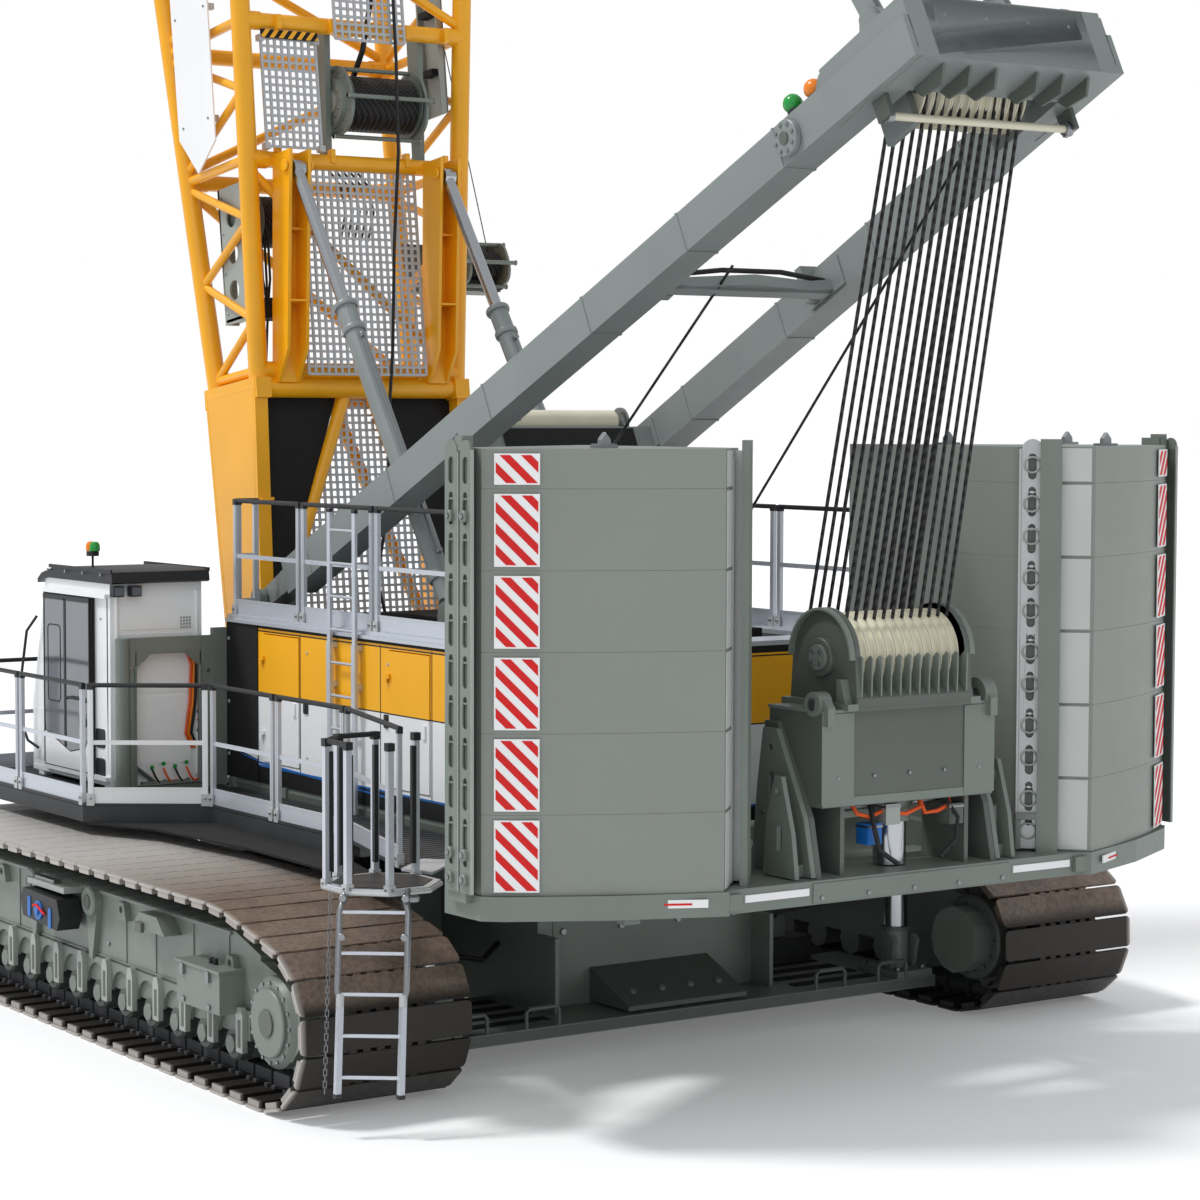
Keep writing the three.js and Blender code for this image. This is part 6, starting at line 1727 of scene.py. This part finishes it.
def boom_heel():
    shape = Shape(boom_spot)
    for side in (1, -1):
        span = mirrored(side, 1.08, 1.22)
        leg = [(0, -0.17), (0.9, -0.37), (BOX_LEG, -0.535), (BOX_LEG, 0.535), (0.9, 0.39), (0, 0.17)]
        shape.plate(leg, span, "yellow")
        shape.lathe((span[0], 0, 0), (1, 0, 0), rect((0.081, 0.178), (0, 0.14)), "yellow", 32)
        face = side * 1.22
        seam = [(0.5, -0.24), (3.4, -0.5), (3.4, 0.5), (0.5, 0.3)]
        for a, b in zip(seam, seam[1:] + seam[:1]):
            shape.pipe([(face - side * 0.004, *a), (face - side * 0.004, *b)], 0.008, "yellow", 6)
        shape.plate(rect((3.3, 3.5), (-0.56, 0.56)), mirrored(side, 1.05, 1.215), "yellow")
        shape.disc((side * 1.2, 0, 0), (side, 0, 0), 0.075, 0.03, "steel", 24)
        for along in (1.1, 2.3):
            shape.box(mirrored(side, 1.06, 1.2), (along, along + 0.03),
                      (-0.38 - 0.05 * along, -0.3 - 0.05 * along), "yellow")
    for face in (1, -1):
        shape.pipe([(-1.15, BOX_LEG - 0.09, face * 0.44), (1.15, BOX_LEG - 0.09, face * 0.44)], 0.1,
                   "yellow", 20)
    for side in (1, -1):
        for top, low in ((-0.4, -0.26), (0.4, 0.26)):
            a, b = (side * 0.12, BOX_LEG - 0.06, top), (side * 1.13, 0.76, low)
            shape.pipe([a, b], 0.066, "yellow", 16)
        shape.plate(rect((3.44, 3.62), (-0.44, -0.36)), mirrored(side, 0.04, 0.3), "yellow")
    for side in (1, -1):
        x = side * BACKSTOP_X
        base = [(3.45, -0.56), (5.65, -0.8), (5.65, -0.72), (3.45, -0.43)]
        shape.plate(base, around(x, 0.09), "yellow")
        flange = [(3.45, -0.56), (3.75, -0.78), (5.65, -1.07), (5.65, -0.72), (3.45, -0.43)]
        for offset in (-0.12, 0.085):
            shape.plate(flange, (x + offset, x + offset + 0.035), "yellow")
        for along in (4.2, 4.9):
            shape.box(around(x, 0.1), (along, along + 0.02), (-0.86, -0.6), "yellow")
        shape.disc((x - 0.13, 5.5, -0.98), (-1, 0, 0), 0.06, 0.02, "yellow", 20)
        shape.disc((x + 0.13, 5.5, -0.98), (1, 0, 0), 0.06, 0.02, "yellow", 20)
        for along in (3.52, 5.58):
            shape.box(around(x, 0.2), around(along, 0.04),
                      (-0.5 - 0.1 * (along - 3.5), -0.42 - 0.1 * (along - 3.5)), "yellow")
    lattice(shape, [BOX_LEG - 0.02, 5.62, 6.95, HEEL_TOP - 0.002], 1)
    for side in (-1, 1):
        inner = 0.26 + side * 0.503
        span = sorted((inner, inner + side * 0.06))
        shape.plate([(5.6, -0.6), (6.97, -0.72), (6.97, -0.5), (5.6, -0.46)], span, "grey")
    shape.plate(rect((4.55, 5.05), (0.46, 0.56)), (1.15, 2.21), "grey_dark")
    for x in (-0.9, -0.3, 0.55, 1.0):
        shape.box(around(x, 0.025), (5.6, 5.74), (-0.74, -0.66), "yellow")
        shape.box(around(x, 0.025), (6.86, 7.0), (-0.9, -0.83), "yellow")
    return shape


def boom_insert():
    shape = Shape(boom_spot)
    lattice(shape, [HEEL_TOP, 10.33, 12.26, INSERT_TOP - 0.002])
    for side in (1, -1):
        for face in (1, -1):
            for along in (HEEL_TOP + 0.02, INSERT_TOP - 0.12):
                x, v = chord_place(along)
                shape.plate(rect((along, along + 0.1), (face * v - 0.1, face * v + 0.1)),
                            mirrored(side, x - 0.09, x + 0.085), "yellow")
    return shape


def boom_head():
    shape = Shape(boom_spot)
    top = BOOM_TOP - 0.5
    lattice(shape, [INSERT_TOP, 16.0, 17.8, top])
    outline = [(top - 0.3, -0.48), (20.15, -0.56), (20.25, -0.3), (20.26, 0.64), (19.9, 0.8),
               (top - 0.3, 0.48)]
    window = rect((19.45, 19.75), (-0.2, 0.1))
    for side in (1, -1):
        shape.plate(outline, mirrored(side, 0.48, 0.54), "yellow", holes=[window])
        shape.disc((side * 0.54, BOOM_TOP, 0.56), (side, 0, 0), 0.13, 0.03, "yellow", 24)
        shape.disc((side * 0.57, BOOM_TOP, 0.56), (side, 0, 0), 0.05, 0.015, "steel", 20)
        shape.bolts([(side * 0.57, BOOM_TOP + 0.1 * math.cos(t), 0.56 + 0.1 * math.sin(t))
                     for t in (0.5, 1.5, 2.6, 3.7, 4.7, 5.8)],
                    (side, 0, 0), 0.012, "steel", 0.01)
    shape.box((-0.5, 0.5), (top - 0.06, top + 0.1), (-0.3, 0.06), "yellow")
    shape.pipe([(-0.5, BOOM_TOP, 0.56), (0.5, BOOM_TOP, 0.56)], 0.059, "steel", 20)
    shape.pipe([(-0.64, 19.9, -0.5), (0.64, 19.9, -0.5)], 0.07, "steel", 20)
    for x in (-0.46, 0.46):
        shape.box(sorted((x, x * 1.1)), (19.6, 19.7), (-0.5, 0.6), "yellow")
    return shape


def boom_panels():
    """Gratings, black infill sheets, plates, brackets and hoses on the boom's heel."""
    shape = Shape(boom_spot)
    grating(shape, (-0.67, 0.66), (3.52, 5.55), -0.64)
    grating(shape, (-1.06, -0.46), (5.72, 6.78), -0.79)
    grating(shape, (-0.34, 0.44), (6.78, 8.3), -0.99)
    shape.plate(rect((-1.07, -0.45), (6.78, 6.86)), (-0.83, -0.805), "black", axis="z")
    for band in stripes((-1.07, -0.45), (6.78, 6.86), 0.05, 0.8, 0.05):
        shape.plate(band, (-0.834, -0.829), "yellow", axis="z")
    for x, along in ((-1.06, 5.72), (-0.46, 5.72), (-1.06, 6.78), (-0.46, 6.78)):
        shape.box(around(x, 0.03), around(along, 0.03), (-0.82, -0.74), "steel_pale")

    def bar_x(along):
        t = (BOX_LEG - 0.06 - along) / (BOX_LEG - 0.82)
        return 0.12 + 1.01 * t

    def between(along):
        reach = bar_x(min(along, BOX_LEG - 0.06)) - 0.05
        return (-reach, reach)

    grating(shape, (-1.0, 1.0), (0.85, BOX_LEG - 0.2), -0.33, between)
    for side in (1, -1):
        sheet = [(side * (bar_x(3.36) + 0.07), 3.36), (side * 1.09, 3.36), (side * 1.09, 1.05),
                 (side * (bar_x(1.05) + 0.07), 1.05)]
        shape.plate(sheet, (-0.36, -0.345), "black", axis="z")
    banner = [(7.9, 0.5), (6.0, 0.47), (5.6, 0.1), (5.86, -0.3), (7.9, -0.3)]
    shape.plate(banner, (-1.365, -1.35), "film_white")
    for along, front in ((6.1, 0.36), (6.1, -0.18), (7.2, 0.4), (7.2, -0.22)):
        shape.disc((-1.365, along, front), (-1, 0, 0), 0.014, 0.008, "steel", 8)
        shape.box((-1.36, -1.26), around(along, 0.03), around(front, 0.03), "steel_pale")
    shape.plate(rect((6.2, 8.3), (-0.3, -0.68)), (1.08, 1.1), "grey_pale")
    shape.box((1.02, 1.1), (6.2, 8.3), (-0.32, -0.3), "grey_pale")
    shape.box((1.02, 1.1), (6.2, 8.3), (-0.68, -0.66), "grey_pale")
    for along in (6.6, 7.2, 7.8):
        shape.box((0.98, 1.11), (along, along + 0.06), (-0.6, -0.4), "black")
    hose = [(0.33, 8.3, -1.03), (0.32, 7.3, -1.03), (0.31, 6.6, -1.03), (0.3, 5.7, -0.98),
            (0.28, 4.8, -0.82), (0.26, 3.8, -0.7),
            (0.25, 3.3, -0.6), (0.24, 2.6, -0.5), (0.14, 1.9, -0.48), (0.05, 1.5, -0.45), (0.2, 0.95, -0.4)]
    shape.pipe(hose, 0.017, "rubber", 8)
    shape.pipe([(0.2, 8.3, -0.9), (0.16, 7.3, -0.9), (0.1, 6.75, -0.75), (0.15, 6.4, -0.3)], 0.03, "rubber",
               8)
    for k in range(5):
        x = -0.1 + 0.08 * k
        shape.pipe([(x, 5.6, -0.3), (x + 0.05, 5.45, -0.4), (x + 0.12, 5.2, -0.35), (x + 0.3, 5.0, 0.1)],
                   0.014, "rubber", 6)
    for k in range(4):
        y = 0.05 * k
        shape.pipe([(-1.02 + y, 3.3, -0.25), (-0.9 + y, 2.2, -0.1), (-0.8 + y, 1.0, 0.05),
                    (-0.72 + y, 0.4, 0.1)], 0.018, "rubber", 8)
    for k in range(3):
        v = -0.3 + 0.05 * k
        shape.pipe([(-1.235, 1.15 - 0.1 * k, v), (-1.32, 0.8 - 0.1 * k, v), (-1.3, 0.45, v + 0.05),
                    (-1.235, 0.25, v + 0.1)], 0.014, "rubber", 8)
    return shape


def third_winch():
    """A small fixed winch inside the left face, on a plate with round openings."""
    shape = Shape(boom_spot)
    plate = [(4.1, -0.3), (4.1, 0.12), (5.45, 0.16), (5.45, -0.36)]
    holes = [circle(4.42, -0.08, 0.1), circle(4.78, -0.1, 0.1), circle(5.14, -0.1, 0.1)]
    shape.plate(plate, (-1.14, -1.12), "grey_pale", holes=holes)
    shape.box((-1.14, -1.0), (4.1, 5.45), (0.12, 0.15), "grey_pale")
    shape.box((-1.14, -1.0), (4.12, 4.15), (-0.3, 0.12), "grey_pale")
    shape.pipe([(-1.1, 5.1, -0.12), (-0.55, 5.1, -0.12)], 0.2, "grey_dark", 24)
    for x in (-0.96, -0.56):
        shape.lathe((x, 5.1, -0.12), (1, 0, 0), rect((0.05, 0.29), (0, 0.03)), "grey_dark", 28)
    shape.lathe((-0.93, 5.1, -0.12), (1, 0, 0), rope_profile(0.2, 0.255, 0.37, 14), "rope", 28)
    shape.box((-1.1, -0.8), (4.1, 4.3), (-0.42, -0.2), "black")
    for k in range(3):
        shape.pipe([(-0.85 - 0.04 * k, 4.9, -0.3), (-0.87 - 0.04 * k, 4.5, -0.33), (-0.9, 4.2, -0.3),
                    (-0.9, 3.7, -0.2)], 0.013, "rubber", 6)
    shape.bolts([(-1.14, along, 0.08) for along in (4.2, 4.6, 5.0, 5.36)], (-1, 0, 0), 0.012, "steel", 0.01)
    return shape


def rope_profile(inner, outer, width, turns):
    """Half section of a drum wound with rope: one round hump for each turn."""
    line = [(inner, 0)]
    pitch = width / turns
    for i in range(turns):
        for k in range(5):
            t = math.pi * (k + 0.5) / 5
            line.append((outer - 0.014 + 0.014 * math.sin(t), pitch * (i + 0.5 - 0.5 * math.cos(t))))
    line.append((inner, width))
    return line


def winch_frame(along, front, x, radius, half):
    """Winch: lobed gear housing, flanged end plate, tie bars and motor."""
    shape = Shape(boom_spot)
    reach = half + 0.012
    for side in (-1, 1):
        inner = x + side * reach
        span = sorted((inner, inner + side * 0.03))
        loop = []
        for i in range(48):
            t = 2 * math.pi * i / 48
            bulge = radius + 0.035 + 0.02 * math.cos(3 * t + 0.6)
            loop.append((along + bulge * math.cos(t), front + bulge * math.sin(t)))
        shape.plate(loop, span, "grey")
        shape.lathe((inner + side * 0.03, along, front), (side, 0, 0),
                    [(0.01, 0), (radius * 0.8, 0), (radius * 0.76, 0.045), (0.01, 0.045)], "grey", 32)
        shape.disc((inner + side * 0.075, along, front), (side, 0, 0), radius * 0.36, 0.013, "grey_pale",
                   24)
        cap_bolts = [(inner + side * 0.073, a, v) for a, v in circle(along, front, radius * 0.55, 12)]
        shape.bolts(cap_bolts, (side, 0, 0), 0.014, "steel", 0.012)
        rim_bolts = [(inner + side * 0.03, a, v) for a, v in circle(along, front, radius - 0.005, 16)]
        shape.bolts(rim_bolts, (side, 0, 0), 0.012, "steel", 0.012)
    full = half + 0.1
    for da, dv in ((0, -radius - 0.05), (-radius - 0.03, -0.03), (radius + 0.03, -0.03)):
        shape.pipe([(x - full, along + da, front + dv), (x + full, along + da, front + dv)], 0.022, "grey",
                   14)
        for side in (-1, 1):
            shape.disc((x + side * (full - 0.012), along + da, front + dv), (side, 0, 0), 0.03, 0.012,
                       "steel", 6)
    shape.pipe([(x - half - 0.01, along, front), (x + half + 0.01, along, front)], 0.058, "steel", 20)
    return shape


def winch_drum(along, front, x, radius, half):
    shape = Shape(boom_spot)
    for start in (-half, half - 0.025):
        rim = [(0.062, 0), (radius - 0.02, 0), (radius, 0.006), (radius, 0.019), (radius - 0.02, 0.025),
               (0.062, 0.025)]
        shape.lathe((x + start, along, front), (1, 0, 0), rim, "grey_dark", 40)
    shape.lathe((x - half + 0.025, along, front), (1, 0, 0),
                rope_profile(0.062, radius - 0.035, 2 * half - 0.05, 26), "rope", 40)
    return shape


def side_winch():
    along, front, x = SIDE_WINCH[:3]
    shape = winch_frame(*SIDE_WINCH)
    shape.plate(rect((4.55, 5.05), (0.33, 0.459)), (1.65, 2.15), "grey_dark")
    shape.lathe((x - 0.19, along, front), (1, 0, 0), rope_profile(0.05, 0.15, 0.38, 14), "rope", 28)
    shape.box((1.65, 2.15), (4.53, 4.57), (0.2, 0.459), "grey_dark")
    for start in (1.67, 2.11):
        shape.box((start, start + 0.03), (4.55, 5.05), (0.25, 0.459), "grey_dark")
    shape.box((1.4, 1.75), (5.06, 5.16), (0.1, 0.3), "grey_dark")
    shape.pipe([(2.15, 4.65, 0.3), (2.18, 4.57, 0.2), (2.05, 4.52, 0.1), (1.85, 4.55, 0.3)], 0.012,
               "rubber", 6)
    shape.pipe([(2.02, 4.95, 0.2), (1.5, 8.3, 0.3)], 0.006, "rope", 6)
    shape.box((1.36, 1.52), (8.28, 8.34), (0.26, 0.34), "yellow")
    return shape


def build_boom():
    make("boom_heel_lattice", boom_heel(), "boom", 0.003, ["boom_heel"])
    make("boom_insert_lattice", boom_insert(), "boom", 0, ["boom_insert"])
    make("boom_head_lattice", boom_head(), "boom", 0.003, ["boom_head"])
    make("boom_heel_panels", boom_panels(), "boom")
    make("third_winch", third_winch(), "boom", 0.002)
    make("boom_winch_housings", winch_frame(*BOOM_WINCH), "boom", 0.002, ["boom_winch_frame"])
    make("boom_winch_rope_drum", winch_drum(*BOOM_WINCH), "winch_drum", 0,
         ["boom_winch_drum"])
    make("side_winch_body", side_winch(), "boom", 0.002, ["side_winch"])


build_boom()


# ---------------------------------------------------------------- mast and ropes
MAST_SHEAVE = (9.45, 0.03)  # along the mast, above its axis
MAST_SHEAVE_RADIUS = 0.27
FALLS = 12
NUTS = 43  # on each leg's upper flange


def mast_detail():
    """Seam plates, hose line, covers, gussets, lamps, brace, roller and guard tube."""
    shape = Shape(mast_spot)

    def leg_x(along):
        return 1.2 + (0.86 - 1.2) * along / 10.2

    for side in (1, -1):
        for along in (1.0, 2.6, 4.3, 5.9, 7.3, 8.6):
            x = side * leg_x(along)
            shape.box(around(x, 0.156), around(along, 0.012), (-0.171, 0.171), "mast_grey")
        for along in (3.5, 6.6):
            x = side * leg_x(along)
            shape.box(sorted((x - side * 0.15, x - side * 0.17)), around(along, 0.25), (-0.14, 0.12),
                      "mast_grey")
        for i in range(NUTS):
            along = 0.9 + i * 0.2
            x = side * (leg_x(along) + 0.115)
            shape.disc((x, along, 0.165), (0, 0, 1), 0.014, 0.014, "steel", 6)
        edge = [(side * (leg_x(a) + 0.09), a, 0.178) for a in (0.7, 3.0, 5.0, 7.0, 9.1)]
        shape.pipe(edge, 0.012, "rubber", 6)
        top = [(side * (leg_x(a) - 0.06), a, 0.18) for a in (0.7, 3.0, 5.0, 7.0, 9.3)]
        shape.pipe(top, 0.016, "rubber", 6)
        along = 8.75
        x = side * leg_x(along)
        shape.disc((x + side * 0.15, along, 0.0), (side, 0, 0), 0.14, 0.05, "mast_grey", 36)
        ring = [(x + side * 0.2, a, above) for a, above in circle(along, 0, 0.105, 8)]
        shape.bolts(ring, (side, 0, 0), 0.016, "steel", 0.012)
        shape.disc((x + side * 0.2, along, 0.0), (side, 0, 0), 0.05, 0.012, "grey_dark", 20)
        head = [(9.2, -0.17), (9.62, -0.17), (9.76, -0.1), (10.2, -0.1), (10.2, 0.31), (9.15, 0.31),
                (9.0, 0.17)]
        shape.plate(head, (side * 0.95, side * 0.965), "mast_grey", whole=True)
        shape.box(mirrored(side, 0.6, 0.68), (9.9, 10.18), (0.35, 0.37), "mast_grey")
        shape.disc((side * 0.82, 9.9, 0.352), (0, 0, 1), 0.05, 0.03, "mast_grey", 20)
        for x in (0.2, 0.45, 0.7):
            rib = [(9.78, -0.18), (10.14, -0.18), (10.06, -0.3), (9.84, -0.27)]
            shape.plate(rib, around(side * x, 0.012), "grey_dark", whole=True)
        shape.box(mirrored(side, 0.5, 0.56), (9.2, 9.55), (-0.3, 0.31), "mast_grey")
    corner_cut = [(-0.9, 10.1), (0.9, 10.1), (0.9, 10.15), (0.78, 10.2), (-0.78, 10.2), (-0.9, 10.15)]
    shape.plate(corner_cut, (-0.165, 0.345), "mast_grey", axis="z", whole=True)
    for x in (-0.6, -0.2, 0.2, 0.6):
        shape.disc((x, 10.19, 0.2), (0, 1, 0), 0.014, 0.012, "steel", 8)
    shape.pipe([(-0.86, 9.62, -0.31), (0.86, 9.62, -0.31)], 0.03, "nylon", 16)
    for x in (-0.9, 0.9):
        shape.disc((x, 9.62, -0.31), (-1 if x > 0 else 1, 0, 0), 0.055, 0.06, "steel", 16)
        shape.box(around(x, 0.02), (9.55, 9.7), (-0.34, -0.1), "grey_dark")
    for x, along, skin in ((-0.93, 9.02, "lamp_orange"), (-0.97, 8.8, "lamp_green")):
        shape.disc((x, along, 0.16), (0, 0, 1), 0.06, 0.06, "plastic", 16)
        shape.ball((x, along, 0.27), 0.078, skin)
    brace = [(-0.93, 6.5), (-0.93, 6.72), (-0.6, 6.66), (0.0, 6.74), (0.6, 6.66), (0.93, 6.72), (0.93, 6.5),
             (0.6, 6.55),
             (0.0, 6.62), (-0.6, 6.55)]
    shape.plate(brace, (-0.12, -0.03), "mast_grey", axis="z")
    shape.pipe([(-0.8, 6.62, 0.0), (-0.3, 6.7, 0.02), (0.3, 6.7, 0.02), (0.8, 6.62, 0.0)], 0.022, "rubber",
               8)
    for side in (1, -1):
        shape.box(mirrored(side, 0.86, 0.9), (6.35, 6.85), (-0.16, 0.1), "mast_grey")
        shape.box(mirrored(side, 0.7, 0.88), (6.42, 6.5), (-0.12, 0.2), "mast_grey")
        shape.disc((side * 0.83, 6.9, 0.02), (side, 0, 0), 0.06, 0.05, "steel", 16)
    shape.lathe((-0.62, 3.57, 0.17), (1, 0, 0),
                [(0.03, 0), (0.09, 0), (0.105, 0.02), (0.105, 1.22), (0.09, 1.24), (0.03, 1.24)],
                "nylon", 36)
    shape.box((-0.7, 0.7), (3.42, 3.72), (-0.2, 0.035), "black")
    for x in (-0.68, 0.68):
        shape.disc((x, 3.57, 0.17), (1 if x > 0 else -1, 0, 0), 0.13, 0.03, "steel", 24)
        shape.box(around(x, 0.02), (3.48, 3.66), (0.0, 0.2), "mast_grey")
    return shape


def pendant_links(side):
    """Stepped link plates and pins along one pendant."""
    shape = Shape()
    start = mast_spot((0, 9.6, 0.52))
    end = boom_spot((0, 19.9, -0.5))
    run = Vector(end) - Vector(start)
    length = run.length
    run.normalize()
    across = Vector((0, -run.z, run.y))

    def place(s, t):
        return start[1] + run.y * s + across.y * t, start[2] + run.z * s + across.z * t

    x = side * 0.68
    count = 5
    for i in range(count):
        a = length * i / count
        for dx in (-0.034, 0.034):
            outline = [place(a + s, t) for s,
                       t in ((-0.09, -0.05), (-0.05, -0.085), (0.3, -0.085), (0.5, -0.07),
                                                  (0.5, 0.07), (0.3, 0.085), (-0.05, 0.085), (-0.09, 0.05))]
            shape.plate(outline, around(x + dx, 0.006), "mast_grey")
        for s in (0.0, 0.42):
            y, z = place(a + s, 0)
            shape.disc((x + 0.04, y, z), (1, 0, 0), 0.045, 0.03, "steel", 16)
            shape.disc((x - 0.04, y, z), (-1, 0, 0), 0.045, 0.03, "steel", 16)
    return shape


def fall_line(index, kind):
    """The two ends of one rope fall, on the tail block and on the mast head."""
    share = index / (FALLS - 1)
    x_low, x_high = -0.5 + share, -0.46 + 0.92 * share
    y, z = TAIL_AXLE
    turn = math.radians(25 if kind else 122)
    low = (x_low, y + TAIL_RADIUS * math.cos(turn), z + TAIL_RADIUS * math.sin(turn))
    along, above = MAST_SHEAVE
    spot = mast_spot((x_high, along + (-1 if kind else 1) * MAST_SHEAVE_RADIUS * 0.92,
                      above - MAST_SHEAVE_RADIUS * 0.3))
    return Vector(low), Vector(spot)


def rope_falls():
    """Straight falls from the tail block's sheaves to the mast head's sheaves."""
    for kind in (0, 1):
        shape = Shape()
        for index in range(FALLS):
            low, high = fall_line(index, kind)
            shape.pipe([low, high], 0.0145, "rope", 8)
        piece = mesh_piece(f"luffing_rope_falls_{kind + 1}", shape)
        low, high = fall_line(0, kind)
        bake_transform(piece)


def winch_lines():
    """Thin ropes from the mast's head and roller down to the house."""
    for name, low, high, radius in (
        ("hoist_rope_left", (-0.3, -1.2, 3.5), mast_spot((-0.35, 6.9, -0.05)), 0.012),
        ("hoist_rope_right", (0.45, -3.0, 3.5), mast_spot((0.4, 8.9, -0.2)), 0.012),
    ):
        shape = Shape()
        shape.pipe([low, high], radius, "rope", 8)
        piece = mesh_piece(name, shape)
        shift = Vector((0, SLEW_Y, 0))
        low, high = Vector(low), Vector(high)
        low.lerp(high, 0.3) + shift
        low.lerp(high, 0.7) + shift
        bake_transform(piece)


def mast_sheaves():
    y, z = mast_spot((0, *MAST_SHEAVE))[1:]
    return sheave_set((y, z), MAST_SHEAVE_RADIUS, 0.5, 11)


def backstop_detail(side):
    """Collars and fittings on a backstop's barrel."""
    shape = Shape()
    foot = Vector((side * 0.85, -1.3, 3.55))
    eye = Vector((side * 0.85, 1.6, 7.7))
    run = (eye - foot).normalized()
    for at, radius, long in ((0.35, 0.11, 0.08), (1.2, 0.104, 0.05), (3.1, 0.108, 0.06),
                             (3.38, 0.112, 0.05)):
        low = foot + run * at
        shape.lathe(low, run, [(0.05, 0), (radius, 0), (radius + 0.006, 0.012),
                               (radius + 0.006, long - 0.012), (radius, long), (0.05, long)],
                    "mast_grey", 28)
    for at in (0.6, 3.0):
        low = foot + run * at
        shape.disc(low + Vector((0, -0.08, 0.06)), (0, -0.8, 0.6), 0.03, 0.04, "steel", 10)
    hose = [foot + run * at + Vector((0, -0.085, 0.06)) for at in (0.6, 1.4, 2.2, 3.0)]
    shape.pipe(hose, 0.012, "steel", 8)
    return shape


def build_mast():
    make("mast_fittings", mast_detail(), "mast", 0.004)
    make("mast_sheave_set", mast_sheaves(), "mast_head_sheaves", 0, ["mast_sheaves"])
    for side, name in ((1, "right"), (-1, "left")):
        make(f"{name}_pendant_links", pendant_links(side), "pendants", 0.002)
        make(f"{name}_backstop_fittings", backstop_detail(side), f"{name}_barrel", 0.002)
    rope_falls()
    winch_lines()


build_mast()




# ---------------------------------------------------------------- stage
FLOOR_GLOW = 0.14
WORLD_LIGHT = 0.62


def add_floor():
    """A pale floor that the camera and reflections see as white, and that keeps the shadow."""
    mesh = bpy.data.meshes.new("floor")
    mesh.from_pydata([(-400, -400, 0), (400, -400, 0), (400, 400, 0), (-400, 400, 0)], [], [(0, 1, 2, 3)])
    floor = bpy.data.objects.new("floor", mesh)
    bpy.context.scene.collection.objects.link(floor)
    finish = Finish("floor", 0.9)
    shader = finish.shader
    shader.inputs["Base Color"].default_value = (0.86, 0.86, 0.86, 1)
    glow = finish.nodes.new("ShaderNodeEmission")
    glow.inputs["Color"].default_value = (1, 1, 1, 1)
    glow.inputs["Strength"].default_value = FLOOR_GLOW
    total = finish.nodes.new("ShaderNodeAddShader")
    both = finish.nodes.new("ShaderNodeMixShader")
    output = finish.nodes["Material Output"]
    finish.links.new(shader.outputs[0], total.inputs[0])
    finish.links.new(glow.outputs[0], total.inputs[1])
    path = finish.nodes.new("ShaderNodeLightPath")
    seen = finish.nodes.new("ShaderNodeMath")
    seen.operation = "MAXIMUM"
    finish.links.new(path.outputs["Is Camera Ray"], seen.inputs[0])
    finish.links.new(path.outputs["Is Glossy Ray"], seen.inputs[1])
    finish.links.new(seen.outputs[0], both.inputs["Fac"])
    finish.links.new(shader.outputs[0], both.inputs[1])
    finish.links.new(total.outputs[0], both.inputs[2])
    finish.links.new(both.outputs[0], output.inputs["Surface"])
    mesh.materials.append(finish.material)


def add_world():
    world = bpy.data.worlds.new("studio")
    bpy.context.scene.world = world
    world.use_nodes = True
    nodes, links = world.node_tree.nodes, world.node_tree.links
    soft = nodes["Background"]
    soft.inputs["Color"].default_value = (0.93, 0.96, 1.0, 1)
    soft.inputs["Strength"].default_value = WORLD_LIGHT
    white = nodes.new("ShaderNodeBackground")
    white.inputs["Color"].default_value = (1, 1, 1, 1)
    white.inputs["Strength"].default_value = 1.0
    path = nodes.new("ShaderNodeLightPath")
    seen = nodes.new("ShaderNodeMath")
    seen.operation = "MAXIMUM"
    links.new(path.outputs["Is Camera Ray"], seen.inputs[0])
    links.new(path.outputs["Is Transmission Ray"], seen.inputs[1])
    choose = nodes.new("ShaderNodeMixShader")
    links.new(seen.outputs[0], choose.inputs["Fac"])
    links.new(soft.outputs[0], choose.inputs[1])
    links.new(white.outputs[0], choose.inputs[2])
    links.new(choose.outputs[0], nodes["World Output"].inputs["Surface"])


def add_sun(name, turn, strength, angle):
    """A wide soft lamp from far away; turn is (azimuth, elevation) of where it stands, in degrees."""
    azimuth, elevation = (math.radians(a) for a in turn)
    lamp = bpy.data.objects.new(name, bpy.data.lights.new(name, "SUN"))
    bpy.context.scene.collection.objects.link(lamp)
    lamp.data.energy = strength
    lamp.data.angle = math.radians(angle)
    away = Vector((math.sin(azimuth) * math.cos(elevation), math.cos(azimuth) * math.cos(elevation),
                   math.sin(elevation)))
    lamp.rotation_euler = (-away).to_track_quat("-Z", "Y").to_euler()


add_floor()
add_world()
add_sun("key", (-52, 56), 2.0, 10)
add_sun("fill", (-145, 35), 0.25, 40)

bpy.context.scene.view_settings.view_transform = "Standard"
